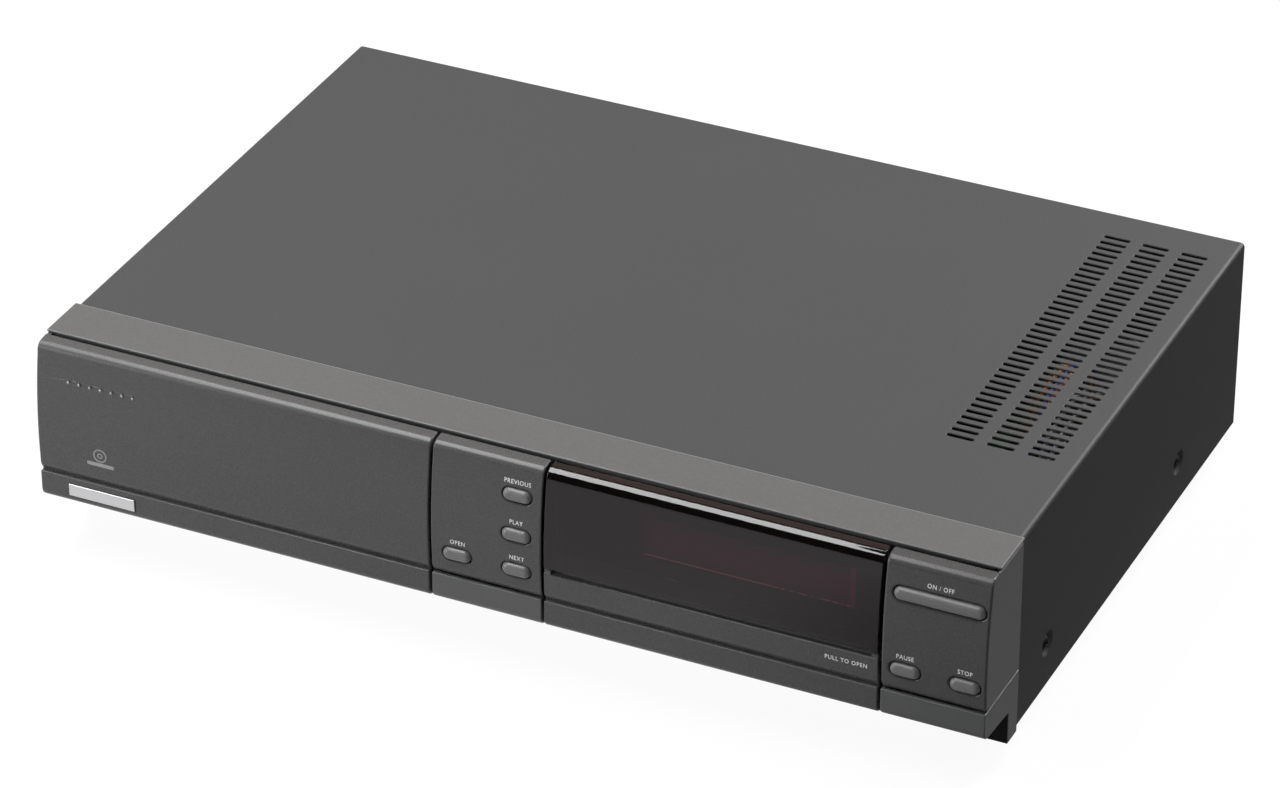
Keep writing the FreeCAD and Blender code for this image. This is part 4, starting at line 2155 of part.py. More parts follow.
def make_clamp():
    """The bridge over the tray and the puck that holds a disc on the turntable."""
    body = new_body("clamp_bridge")
    x = s.spindle_x
    low = H(s.loader_top)
    high = low + s.bridge_sheet
    across = (x - s.loader_outer, x + s.loader_outer)
    rows = (R(s.bridge_front_row), R(s.bridge_rear_row))
    pad(body, "XY", (low, high), lambda k: rectangle(k, across, rows))
    rib_x = (x - tray_half + 2, x + tray_half - 2)
    ribs = [(rib_x, (row, row + s.bridge_sheet)) for row in (rows[0], rows[1] - s.bridge_sheet)]
    pad(body, "XY", (high, high + s.bridge_rib), lambda k: rectangles(k, *ribs))
    y = R(s.spindle_row)
    cut(body, "XY", (low - 1, high + 1), lambda k: circle(k, x, y, s.puck_hole_radius))
    puck = new_body("clamp_puck")
    pad_z = (H(s.puck_bottom), H(s.puck_bottom + s.puck_pad_thickness))
    pad(puck, "XY", pad_z, lambda k: circle(k, x, y, s.puck_pad_radius))
    neck_z = (pad_z[1], high + s.end_gap)
    pad(puck, "XY", neck_z, lambda k: circle(k, x, y, s.puck_neck_radius))
    flange_z = (neck_z[1], neck_z[1] + s.puck_flange_thickness)
    pad(puck, "XY", flange_z, lambda k: circle(k, x, y, s.puck_flange_radius))
    recess = (pad_z[0] - 1, pad_z[0] + s.puck_recess_depth)
    cut(puck, "XY", recess, lambda k: circle(k, x, y, s.puck_recess_radius))
    return body


# Build every piece

make_top_cover()
make_bottom_chassis()
make_rear_panel()
make_feet()
make_bezel_frame()
make_drawer_front()
make_button_panel()
make_right_panel()
make_flap_panel()
make_flap_window()
make_hinge_pins()
make_recess_panel()
make_display()
make_bay_controls()
make_front_board()
for name, (x, height, width) in BUTTONS.items():
    panel_button(name, x, height, width)
make_rear_sockets()
make_boards()
make_power_parts()
make_screws()
make_disc_tray()
make_loader_frame()
make_drive_train()
make_lift_cam()
make_deck_plate()
make_spindle()
make_sled()
make_clamp()
doc.recompute()

NODES = {
    "top_cover": 1,
    "bottom_chassis": 1,
    "rear_panel": 1,
    "feet": 4,
    "bezel_frame": 1,
    "drawer_front": 1,
    "button_panel": 1,
    "right_panel": 1,
    "flap_panel": 1,
    "flap_window": 1,
    "hinge_pins": 2,
    "recess_panel": 1,
    "display_filter": 1,
    "display_tube": 1,
    "headphone_socket": 1,
    "volume_control": 1,
    "volume_knob": 1,
    "front_controller_port": 1,
    "front_board": 1,
    "key_switches": 7,
    "previous_button": 1,
    "play_button": 1,
    "next_button": 1,
    "open_button": 1,
    "power_button": 1,
    "pause_button": 1,
    "stop_button": 1,
    "phono_sockets": 3,
    "scart_socket": 1,
    "rear_din_sockets": 2,
    "mains_inlet": 1,
    "power_board": 1,
    "main_board": 1,
    "board_chips": 8,
    "transformer": 1,
    "filter_capacitors": 4,
    "heat_sink": 1,
    "side_screws": 4,
    "rear_screws": 3,
    "inner_screws": 12,
    "disc_tray": 1,
    "loader_frame": 1,
    "drive_gear": 1,
    "drive_pulley": 1,
    "motor_pulley": 1,
    "drive_belt": 1,
    "loading_motor": 1,
    "wheel_posts": 2,
    "lift_cam": 1,
    "deck_plate": 1,
    "spindle_motor": 1,
    "turntable": 1,
    "laser_carriage": 1,
    "objective_lens": 1,
    "guide_rods": 2,
    "sled_gear": 1,
    "sled_motor": 1,
    "clamp_bridge": 1,
    "clamp_puck": 1,
}

problems = []
for item in doc.Objects:
    if "Invalid" in item.State or "Error" in item.State:
        problems.append(f"{item.Label}: {item.State}")
found = {}
for node, count in NODES.items():
    matches = doc.getObjectsByLabel(node)
    if len(matches) != 1:
        problems.append(f"{node}: {len(matches)} objects have this label")
        continue
    shape = matches[0].Shape
    if shape.isNull() or not shape.isValid() or len(shape.Solids) != count:
        solids = 0 if shape.isNull() else len(shape.Solids)
        problems.append(f"{node}: {solids} solids, {count} wanted")
        continue
    found[node] = shape
if problems:
    raise RuntimeError("The model has faults: " + "; ".join(problems))

os.makedirs("parts", exist_ok=True)
for node, shape in found.items():
    shape.exportStep(f"parts/{node}.step")
print(f"{len(found)} nodes written")
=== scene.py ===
"""Looks of a wide, dark grey disc player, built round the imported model.

Lengths are in metres and in the frame's own axes: +X to the right seen from the front, the front faces -Y
and +Z is up. A field or argument whose name ends in _mm is in millimetres, and so is everything that a
Shaper or the front's outline takes.
"""

import json
import logging
import math
from dataclasses import dataclass
from enum import Enum
from typing import Callable, Optional, Sequence, Union

import bmesh
import bpy
from mathutils import Matrix, Vector

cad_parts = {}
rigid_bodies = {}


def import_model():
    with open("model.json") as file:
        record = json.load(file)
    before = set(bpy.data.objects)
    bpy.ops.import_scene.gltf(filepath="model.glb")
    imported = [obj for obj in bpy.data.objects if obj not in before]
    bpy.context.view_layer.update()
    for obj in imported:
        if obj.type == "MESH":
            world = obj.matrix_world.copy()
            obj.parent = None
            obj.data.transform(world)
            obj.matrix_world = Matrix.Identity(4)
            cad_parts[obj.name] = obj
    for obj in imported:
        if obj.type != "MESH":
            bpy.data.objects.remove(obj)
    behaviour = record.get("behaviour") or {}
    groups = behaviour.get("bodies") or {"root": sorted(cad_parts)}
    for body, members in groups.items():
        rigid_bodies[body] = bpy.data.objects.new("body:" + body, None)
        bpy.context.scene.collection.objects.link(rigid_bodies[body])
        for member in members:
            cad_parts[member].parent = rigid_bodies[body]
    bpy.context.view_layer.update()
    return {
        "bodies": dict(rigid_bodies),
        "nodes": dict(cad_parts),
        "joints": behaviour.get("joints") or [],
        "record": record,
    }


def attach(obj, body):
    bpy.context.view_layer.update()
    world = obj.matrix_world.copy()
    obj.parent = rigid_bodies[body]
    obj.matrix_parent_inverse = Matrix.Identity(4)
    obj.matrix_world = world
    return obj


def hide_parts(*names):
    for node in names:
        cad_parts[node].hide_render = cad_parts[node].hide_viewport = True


LOG = logging.getLogger("disc_player")
MM = 0.001
TINY = 1e-9  # less than any real length here
Color = tuple[float, float, float]
Point = tuple[float, float, float]
Flat = tuple[float, float]
Number = Union[float, "Wire"]


class Facing(Enum):
    """The ways that a piece can face."""

    FRONT = (0.0, -1.0, 0.0)
    REAR = (0.0, 1.0, 0.0)
    RIGHT = (1.0, 0.0, 0.0)
    UP = (0.0, 0.0, 1.0)


# Shader graphs


class Wire:
    """One output socket of a shader graph, with arithmetic that adds its own Math nodes."""

    def __init__(self, graph: "Graph", socket: bpy.types.NodeSocket) -> None:
        """Keeps the graph and the socket."""
        self.graph = graph
        self.socket = socket

    def math(self, operation: str, *others: Number) -> "Wire":
        """Adds one Math node on this value and the others and returns its result."""
        return self.graph.math(operation, self, *others)

    def __add__(self, other: Number) -> "Wire":
        """Sum."""
        return self.math("ADD", other)

    def __radd__(self, other: Number) -> "Wire":
        """Sum, reflected."""
        return self.math("ADD", other)

    def __sub__(self, other: Number) -> "Wire":
        """Difference."""
        return self.math("SUBTRACT", other)

    def __rsub__(self, other: Number) -> "Wire":
        """Difference, reflected."""
        return self.graph.math("SUBTRACT", other, self)

    def __mul__(self, other: Number) -> "Wire":
        """Product."""
        return self.math("MULTIPLY", other)

    def __rmul__(self, other: Number) -> "Wire":
        """Product, reflected."""
        return self.math("MULTIPLY", other)

    def above(self, limit: float, softness: float) -> "Wire":
        """A mask that rises from 0 to 1 where the value passes a limit.

        Args:
            limit: The value at the mask's middle.
            softness: The width of the rise.

        Returns:
            The mask.
        """
        return self.graph.rise(self, limit - softness / 2, limit + softness / 2)

    def near(self, middle: float, reach: float, softness: float) -> "Wire":
        """A mask that is 1 within reach of a middle value and 0 outside."""
        return 1.0 - (self - middle).math("ABSOLUTE").above(reach, softness)


class Graph:
    """A shader's node tree, filled from Python expressions."""

    def __init__(self, tree: bpy.types.NodeTree, ending: str = "OutputMaterial") -> None:
        """Empties the tree and gives it its output node.

        Args:
            tree: A material's or the world's node tree.
            ending: The output node's type, without its Shader prefix.
        """
        self.tree = tree
        self.tree.nodes.clear()
        self.output = self.tree.nodes.new("ShaderNode" + ending)
        self.place: Optional[Wire] = None

    def add(
        self,
        kind: str,
        inputs: Optional[dict[Union[str, int], object]] = None,
        output: Union[str, int] = 0,
        **settings: object,
    ) -> Wire:
        """Adds a node.

        Args:
            kind: The node's type, without its ShaderNode prefix.
            inputs: Values or wires by input name or number.
            output: The output to return.
            settings: The node's own settings, set before its inputs.

        Returns:
            The chosen output.
        """
        node = self.tree.nodes.new("ShaderNode" + kind)
        for name, value in settings.items():
            setattr(node, name, value)
        for name, value in (inputs or {}).items():
            target = node.inputs[name]
            if isinstance(value, Wire):
                self.tree.links.new(value.socket, target)
            else:
                target.default_value = value
        return Wire(self, node.outputs[output])

    def math(self, operation: str, *operands: Number) -> Wire:
        """Adds a Math node on values or wires and returns its result."""
        return self.add("Math", dict(enumerate(operands)), operation=operation)

    def rise(self, value: Wire, low: float, high: float) -> Wire:
        """Maps a value from low..high to 0..1, held at both ends."""
        return self.add("MapRange", {"Value": value, "From Min": low, "From Max": high})

    def blend(self, factor: Number, first: object, second: object) -> Wire:
        """Mixes two colours by a factor and returns the result."""
        inputs = {0: factor, 6: self._rgba(first), 7: self._rgba(second)}
        return self.add("Mix", inputs, output=2, data_type="RGBA")

    @staticmethod
    def _rgba(color: object) -> object:
        """Gives a plain colour its alpha and leaves a wire as it is."""
        return color if isinstance(color, Wire) else (*color, 1.0)

    def position(self) -> Wire:
        """Gives the object coordinates, in metres, from one node that the graph shares.

        Returns:
            The coordinates.
        """
        if self.place is None:
            self.place = self.add("TexCoord", output="Object")
        return self.place

    def axis(self, letter: str) -> Wire:
        """One of the object coordinates, in metres."""
        return self.add("SeparateXYZ", {0: self.position()}, output=letter)

    def noise(
        self,
        size_mm: float,
        detail: float = 2.0,
        stretch: Point = (1.0, 1.0, 1.0),
        rough: float = 0.5,
    ) -> Wire:
        """Smooth noise over the surface.

        Args:
            size_mm: The size of its features.
            detail: How many finer layers it has.
            stretch: Scale along each axis: below 1 draws it out.
            rough: The strength of the finer layers.

        Returns:
            The noise, about 0.5 on average.
        """
        vector = self.add("Mapping", {"Vector": self.position(), "Scale": stretch})
        inputs = {"Vector": vector, "Scale": 1 / (size_mm * MM), "Detail": detail, "Roughness": rough}
        return self.add("TexNoise", inputs)

    def cells(self, size_mm: float, output: str = "Distance", feature: str = "F1") -> Wire:
        """Adds a pattern of round cells and returns one of its outputs."""
        inputs = {"Vector": self.position(), "Scale": 1 / (size_mm * MM)}
        return self.add("TexVoronoi", inputs, output=output, feature=feature)

    def bump(self, height: Wire, depth_mm: float) -> Wire:
        """Turns a height field into a normal."""
        return self.add("Bump", {"Strength": 1.0, "Distance": depth_mm * MM, "Height": height})

    def principled(self, **inputs: object) -> Wire:
        """Adds the surface shader.

        Args:
            inputs: Values or wires by input name, with underscores for spaces.

        Returns:
            The shader.
        """
        named = {name.replace("_", " "): value for name, value in inputs.items()}
        if not isinstance(named["Base Color"], Wire):
            named["Base Color"] = self._rgba(named["Base Color"])
        return self.add("BsdfPrincipled", named)

    def background_rays(self) -> Wire:
        """Tells rays that show what is behind, camera, glossy and transmission rays, from those that light.

        Returns:
            A mask that is 1 for them.
        """
        rays = ("Camera", "Glossy", "Transmission")
        camera, glossy, through = (self.add("LightPath", output=f"Is {ray} Ray") for ray in rays)
        return camera.math("MAXIMUM", glossy).math("MAXIMUM", through)

    def end(self, shader: Wire) -> None:
        """Joins the shader to the output."""
        self.tree.links.new(shader.socket, self.output.inputs["Surface"])


def shade(color: Color, factor: float) -> Color:
    """Scales a colour, held below white."""
    return tuple(min(channel * factor, 1.0) for channel in color)


# Finishes


@dataclass(frozen=True)
class Finish:
    """A plain moulded or printed surface, with slow drift in its tone and gloss."""

    name: str
    color: Color
    roughness: float = 0.5

    def material(self) -> bpy.types.Material:
        """Makes this finish's material once, under a name that no packed material has.

        Returns:
            The material.
        """
        name = "look_" + self.name
        known = bpy.data.materials.get(name)
        if known is None:
            known = bpy.data.materials.new(name)
            known.use_nodes = True
            graph = Graph(known.node_tree)
            graph.end(self.shader(graph))
        return known

    def shader(self, graph: Graph) -> Wire:
        """Builds the nodes.

        Args:
            graph: The material's nodes.

        Returns:
            The shader.
        """
        tone = graph.noise(size_mm=7.0, detail=4.0)
        color = graph.blend(tone, shade(self.color, 0.93), shade(self.color, 1.07))
        return graph.principled(Base_Color=color, Roughness=self.roughness - 0.03 + tone * 0.06)


@dataclass(frozen=True)
class GrainedFinish(Finish):
    """Paint or moulded plastic with a fine leathery grain that catches the light."""

    grain_mm: float = 0.55
    grain_depth_mm: float = 0.018
    speckle: float = 0.10
    specular: float = 0.5

    def shader(self, graph: Graph) -> Wire:
        """Builds grain from cells and fine noise, with a faint tone drift over the whole surface.

        Args:
            graph: The material's nodes.

        Returns:
            The shader.
        """
        cells = graph.cells(self.grain_mm, feature="SMOOTH_F1")
        fine = graph.noise(self.grain_mm * 1.6, detail=3.0, rough=0.7)
        drift = graph.noise(size_mm=70.0)
        speck = graph.rise(fine, low=0.35, high=0.68)
        dark, light = shade(self.color, 1.0 - self.speckle), shade(self.color, 1.0 + self.speckle)
        color = graph.blend(speck, dark, light)
        color = graph.blend(drift * 0.10, color, shade(self.color, 1.25))
        return graph.principled(
            Base_Color=self.painted_highlight(graph, color),
            Roughness=self.roughness - 0.05 + speck * 0.07 + drift * 0.04,
            Normal=graph.bump(cells * 0.65 + fine * 0.5, self.grain_depth_mm),
            Specular_IOR_Level=self.specular,
        )

    def painted_highlight(self, graph: Graph, color: Wire) -> Wire:
        """Adds a painted highlight to the surface's colour; this one has none."""
        return color


@dataclass(frozen=True)
class HighlightedEdgeFinish(GrainedFinish):
    """A grained surface with a painted highlight: a paler line along one of its edges across the player."""

    highlight_y_mm: float = 0.0
    highlight_mm: float = 0.55
    highlight_soft_mm: float = 0.15
    highlight_factor: float = 2.0

    def painted_highlight(self, graph: Graph, color: Wire) -> Wire:
        """Adds the pale line, a painted highlight along the edge."""
        line = graph.axis("Y").near(self.highlight_y_mm * MM, self.highlight_mm / 2 * MM, self.highlight_soft_mm * MM)
        return graph.blend(line, color, shade(self.color, self.highlight_factor))


@dataclass(frozen=True)
class PolishedFinish(Finish):
    """Polished plastic or glass that dust and faint swirls dull a little."""

    alpha: float = 1.0
    refraction: float = 1.5
    dust: float = 0.5

    def shader(self, graph: Graph) -> Wire:
        """Builds a near-mirror surface with slow unevenness in its gloss.

        Args:
            graph: The material's nodes.

        Returns:
            The shader.
        """
        swirl = graph.noise(size_mm=26.0, detail=4.0)
        specks = graph.noise(size_mm=1.1, detail=3.0).above(limit=0.72, softness=0.05) * self.dust
        return graph.principled(
            Base_Color=graph.blend(specks * 0.4, self.color, shade(self.color, 2.0)),
            Roughness=self.roughness + swirl * 0.02 + specks * 0.08,
            Alpha=self.alpha,
            IOR=self.refraction,
        )


@dataclass(frozen=True)
class MetalFinish(Finish):
    """Bare or plated metal, drawn or brushed along one axis."""

    grain: Point = (0.06, 1.0, 1.0)
    grain_mm: float = 0.5
    grain_depth_mm: float = 0.004
    tarnish: float = 0.08

    def shader(self, graph: Graph) -> Wire:
        """Builds stretched scratches and blotches of tarnish.

        Args:
            graph: The material's nodes.

        Returns:
            The shader.
        """
        lines = graph.noise(self.grain_mm, stretch=self.grain)
        blotch = graph.noise(size_mm=14.0, detail=4.0)
        color = graph.blend(blotch, shade(self.color, 1.0 - self.tarnish), self.color)
        return graph.principled(
            Base_Color=graph.blend(lines * 0.25, color, shade(self.color, 0.8)),
            Metallic=1.0,
            Roughness=self.roughness - 0.06 + lines * 0.12 + blotch * 0.05,
            Normal=graph.bump(lines, self.grain_depth_mm),
        )


@dataclass(frozen=True)
class SpangleFinish(Finish):
    """Zinc-plated sheet with large soft crystals."""

    crystal_mm: float = 5.0

    def shader(self, graph: Graph) -> Wire:
        """Builds crystal cells that differ in tone and gloss.

        Args:
            graph: The material's nodes.

        Returns:
            The shader.
        """
        tone = graph.add("SeparateColor", {0: graph.cells(self.crystal_mm, output="Color")})
        return graph.principled(
            Base_Color=graph.blend(tone, shade(self.color, 0.86), shade(self.color, 1.08)),
            Metallic=1.0,
            Roughness=self.roughness - 0.05 + tone * 0.12,
        )


@dataclass(frozen=True)
class BoardFinish(Finish):
    """A lacquered circuit board with copper tracks under the lacquer and bright solder pads."""

    track_mm: float = 10.0
    pad_mm: float = 4.0
    pad_tall_mm: float = 0.15
    solder: Color = (0.52, 0.52, 0.48)

    def shader(self, graph: Graph) -> Wire:
        """Builds tracks from the gaps of a brick pattern, and pads from round cells.

        Args:
            graph: The material's nodes.

        Returns:
            The shader.
        """
        inputs = {
            "Vector": graph.position(),
            "Scale": 1 / (self.track_mm * MM),
            "Mortar Size": 0.012,
            "Color1": (0, 0, 0, 1),
            "Color2": (0, 0, 0, 1),
            "Mortar": (1, 1, 1, 1),
        }
        tracks = graph.add("TexBrick", inputs, output="Fac")
        pad = 1.0 - graph.cells(self.pad_mm).above(limit=0.16, softness=0.04)
        color = graph.blend(tracks * 0.6, self.color, shade(self.color, 1.9))
        return graph.principled(
            Base_Color=graph.blend(pad, color, self.solder),
            Roughness=self.roughness - pad * 0.15,
            Metallic=pad * 0.7,
            Normal=graph.bump(pad, self.pad_tall_mm),
        )


@dataclass(frozen=True)
class LayeredFinish(Finish):
    """Something wound or stacked in fine layers along one axis: iron plates, wire or tape."""

    layer_mm: float = 0.6
    along: str = "Y"
    metallic: float = 0.4
    stain: Color = (0.10, 0.055, 0.035)

    def shader(self, graph: Graph) -> Wire:
        """Builds fine lines between the layers and blotchy stains.

        Args:
            graph: The material's nodes.

        Returns:
            The shader.
        """
        lines = (graph.axis(self.along) * (2 * math.pi / (self.layer_mm * MM))).math("SINE") * 0.5 + 0.5
        stains = graph.noise(size_mm=6.0, detail=4.0)
        color = graph.blend(stains * 0.4, self.color, self.stain)
        return graph.principled(
            Base_Color=graph.blend(lines * 0.35, color, shade(self.color, 0.5)),
            Roughness=self.roughness + stains * 0.05,
            Metallic=self.metallic,
            Normal=graph.bump(lines, depth_mm=self.layer_mm * 0.12),
        )


@dataclass(frozen=True)
class PaintedGlowFinish(Finish):
    """A tinted part behind the window with a painted glow, softer towards its edges: the display is unlit, so
    the glow is painted light.
    """

    glow: Color = (0.0, 0.0, 0.0)
    low_mm: Flat = (0.0, 0.0)
    high_mm: Flat = (0.0, 0.0)
    fade_mm: float = 9.0
    bar_x_mm: float = 143.9
    bar_reach_mm: float = 1.1
    bar_soft_mm: float = 0.8
    bar_glow: Color = (0.0, 0.0, 0.0)

    def shader(self, graph: Graph) -> Wire:
        """Builds a slow cloud, the painted glow fading towards the edges in X and Z, and a pale glowing bar
        near the right end.

        Args:
            graph: The material's nodes.

        Returns:
            The shader.
        """
        cloud = graph.noise(size_mm=24.0, detail=3.0)
        color = graph.blend(cloud, shade(self.color, 0.80), shade(self.color, 1.20))
        inputs = {"Base_Color": color, "Roughness": self.roughness + cloud * 0.05}
        if self.fade_mm > 0:
            mask = 1.0
            for letter, low, high in zip("XZ", self.low_mm, self.high_mm):
                middle, reach = (low + high) / 2 * MM, ((high - low) / 2 - self.fade_mm / 3) * MM
                mask = graph.axis(letter).near(middle, reach, self.fade_mm * MM / 1.6) * mask
            bar_at, bar_reach, bar_soft = self.bar_x_mm * MM, self.bar_reach_mm * MM, self.bar_soft_mm * MM
            bar = graph.axis("X").near(bar_at, bar_reach, bar_soft)
            light = graph.blend(mask * (0.75 + cloud * 0.5), (0.0, 0.0, 0.0), self.glow)
            light = graph.blend(bar * 0.8, light, self.bar_glow)
        else:
            light = self.glow
        inputs["Emission_Color"] = light if isinstance(light, Wire) else (*light, 1.0)
        return graph.principled(**inputs, Emission_Strength=1.0)


class Finishes:
    """Every finish of the player."""

    COVER = GrainedFinish("cover_paint", (0.0488, 0.0495, 0.0500), 0.50, 0.50, 0.012, 0.18, 0.20)
    FRONT = GrainedFinish("front_moulding", (0.070, 0.070, 0.0698), 0.27, 0.30, 0.004, 0.14, 0.27)
    # The right panel is the same moulding as FRONT, painted darker: painted shade where the light falls off
    # towards the right.
    FRONT_RIGHT_SHADED = GrainedFinish("right_moulding", (0.062, 0.062, 0.0618), 0.27, 0.30, 0.004, 0.14, 0.32)
    # The cheeks' outer sides are the same moulding as the front, painted lighter: painted light on the sides.
    CHEEK_LIT = GrainedFinish("cheek_moulding", (0.124, 0.124, 0.124), 0.40, 0.42, 0.008, 0.12, 0.45)
    # The strip's paler line near Y -111.15 mm is a painted highlight on its rounded rear edge.
    STRIP = HighlightedEdgeFinish(
        "strip_moulding",
        (0.0830, 0.0855, 0.0855),
        0.38,
        0.34,
        0.008,
        0.20,
        0.45,
        highlight_y_mm=-111.15,
        highlight_factor=2.1,
    )
    DOT = GrainedFinish("raised_dot", (0.26, 0.26, 0.26), 0.28, 0.34, 0.002, 0.05, 0.60)
    BUTTON = GrainedFinish("button_moulding", (0.140, 0.140, 0.1405), 0.36, 0.34, 0.004, 0.08, 0.45)
    WINDOW = PolishedFinish("smoked_window", (0.004, 0.003, 0.003), 0.01, alpha=0.72, refraction=1.56)
    WINDOW_INSIDE = PolishedFinish("window_inside", (0.004, 0.003, 0.003), 0.10, alpha=0.06, refraction=1.30)
    # Near-black painted shade on faces that lie in shade: the plinth under the lower strips, the walls round
    # the buttons and between sections, the flap's lap, and the window's recess, whose black plastic it
    # darkens further.
    SHADE_BLACK = GrainedFinish("recess_moulding", (0.006, 0.006, 0.006), 0.60, 0.6, 0.008, 0.10, 0.2)
    BLACK = GrainedFinish("black_moulding", (0.022, 0.022, 0.024), 0.50, 0.6, 0.012, 0.10, 0.4)
    TRAY = GrainedFinish("tray_moulding", (0.036, 0.036, 0.039), 0.40, 0.5, 0.008, 0.08, 0.45)
    RUBBER = GrainedFinish("mat_rubber", (0.026, 0.026, 0.027), 0.75, 0.7, 0.025, 0.12, 0.3)
    # The display filter's glow is painted light: the display is unlit.
    FILTER = PaintedGlowFinish(
        "display_tint",
        (0.060, 0.008, 0.019),
        0.30,
        glow=(0.030, 0.000, 0.012),
        low_mm=(52.6, 54.9),
        high_mm=(145.9, 73.7),
        fade_mm=9.0,
        bar_glow=(0.075, 0.006, 0.030),
    )
    # The display line's glow is painted light too.
    DASH = PaintedGlowFinish("display_dashes", (0.30, 0.10, 0.12), 0.45, glow=(0.28, 0.07, 0.10), fade_mm=0.0)
    TUBE = PolishedFinish("tube_glass", (0.05, 0.07, 0.075), 0.08)
    ZINC = SpangleFinish("zinc_sheet", (0.60, 0.61, 0.60), 0.34)
    STEEL = MetalFinish("bright_steel", (0.62, 0.62, 0.63), 0.30)
    SCREW = MetalFinish("black_screw", (0.22, 0.22, 0.225), 0.36, grain=(1.0, 1.0, 1.0))
    SILVER = MetalFinish("silver_plate", (0.70, 0.73, 0.735), 0.27, grain=(0.05, 1.0, 1.0), grain_mm=0.25)
    CAN = MetalFinish("motor_can", (0.50, 0.51, 0.52), 0.33)
    GEAR = Finish("gear_resin", (0.66, 0.64, 0.56), 0.42)
    BELT = Finish("belt_rubber", (0.018, 0.018, 0.018), 0.70)
    FOOT = GrainedFinish("foot_rubber", (0.022, 0.022, 0.023), 0.75, 0.9, 0.03, 0.10, 0.3)
    BOARD = BoardFinish("board_lacquer", (0.020, 0.085, 0.032), 0.32)
    POWER_BOARD = BoardFinish("power_board_resin", (0.30, 0.17, 0.055), 0.40, track_mm=16.0, pad_mm=6.0)
    CHIP = GrainedFinish("chip_resin", (0.020, 0.020, 0.021), 0.58, 0.3, 0.006, 0.10, 0.4)
    CORE = LayeredFinish("core_laminate", (0.085, 0.085, 0.088), 0.48)
    WINDING = LayeredFinish("coil_wire", (0.62, 0.26, 0.10), 0.34, 0.7, "Z", 1.0, (0.40, 0.15, 0.05))
    TAPE = LayeredFinish("coil_tape", (0.66, 0.55, 0.06), 0.36, 9.0, "Z", 0.0, (0.50, 0.40, 0.05))
    SLEEVE = PolishedFinish("can_sleeve", (0.015, 0.050, 0.30), 0.20)
    SLEEVE_BLACK = PolishedFinish("small_can_sleeve", (0.014, 0.015, 0.020), 0.24)
    CAN_TOP = MetalFinish("can_top", (0.70, 0.70, 0.71), 0.30)
    SINK = MetalFinish("sink_aluminium", (0.58, 0.59, 0.60), 0.34, grain=(1.0, 1.0, 0.05))
    GOLD = MetalFinish("socket_gold", (0.76, 0.55, 0.24), 0.26, grain=(1.0, 0.06, 1.0))
    RED = Finish("ring_red", (0.50, 0.022, 0.020), 0.38)
    WHITE = Finish("ring_white", (0.74, 0.73, 0.69), 0.40)
    YELLOW = Finish("ring_yellow", (0.78, 0.54, 0.03), 0.38)
    RESISTOR = Finish("resistor_body", (0.52, 0.36, 0.20), 0.42)
    LEAD_BLUE = Finish("lead_blue", (0.02, 0.07, 0.42), 0.36)
    LEAD_GREEN = Finish("lead_green", (0.25, 0.30, 0.06), 0.36)
    LEAD_ORANGE = Finish("lead_orange", (0.65, 0.22, 0.03), 0.36)
    LEAD_GREY = Finish("lead_grey", (0.42, 0.42, 0.43), 0.36)
    LENS = PolishedFinish("lens_glass", (0.05, 0.10, 0.24), 0.03)
    PRINT = Finish("pale_print", (0.84, 0.84, 0.85), 0.45)
    FAINT_PRINT = Finish("grey_print", (0.285, 0.285, 0.29), 0.45)


# Mesh tools

WELD = 2e-6  # how far apart the points of one corner can lie
FLAT_DEGREES = 0.4  # how far the triangles of one flat face can lean
PLAIN_CORNERS = 12  # a flat face with more corners may wind round an opening, so it is split
EDGE_SHARE = 0.45  # how much of a face's width a rounded edge takes at most
OUTER_SHARE = 0.2  # an outer edge with room for less than this share of its radius stays sharp
INNER_SHARE = 0.9  # the same for an inner edge


def add_object(name: str, mesh: bpy.types.Mesh, *finishes: Finish) -> bpy.types.Object:
    """Puts a mesh in the scene as a piece at the origin.

    Args:
        name: The piece's name.
        mesh: Its mesh, already in place.
        finishes: Its finishes, one for each material slot.

    Returns:
        The new object.
    """
    piece = bpy.data.objects.new(name, mesh)
    bpy.context.scene.collection.objects.link(piece)
    if finishes:
        mesh.materials.clear()
    for finish in finishes:
        mesh.materials.append(finish.material())
    return piece


def bake_modifiers(piece: bpy.types.Object) -> None:
    """Turns a piece's modifiers into plain mesh.

    Args:
        piece: The piece, which gets a new mesh of its own name.
    """
    graph = bpy.context.evaluated_depsgraph_get()
    solid = bpy.data.meshes.new_from_object(piece.evaluated_get(graph), depsgraph=graph)
    piece.modifiers.clear()
    old, piece.data = piece.data, solid
    solid.name = piece.name
    bpy.data.meshes.remove(old)


def smooth_by_angle(mesh: bpy.types.Mesh, degrees: float) -> None:
    """Shades a mesh smoothly, apart from edges sharper than the angle."""
    mesh.shade_smooth()
    mesh.set_sharp_from_angle(angle=math.radians(degrees))


def joined_copy(node: bpy.types.Object, flat: bool = True) -> bmesh.types.BMesh:
    """Copies a CAD node's loose triangles as one joined mesh.

    Args:
        node: The node to copy.
        flat: Whether triangles in one plane become one face.

    Returns:
        The joined mesh.
    """
    work = bmesh.new()
    work.from_mesh(node.data)
    bmesh.ops.remove_doubles(work, verts=work.verts, dist=WELD)
    if flat:
        limit = math.radians(FLAT_DEGREES)
        bmesh.ops.dissolve_limit(work, angle_limit=limit, verts=work.verts, edges=work.edges)
        winding = [face for face in work.faces if len(face.verts) > PLAIN_CORNERS]
        bmesh.ops.connect_verts_concave(work, faces=winding)
    return work


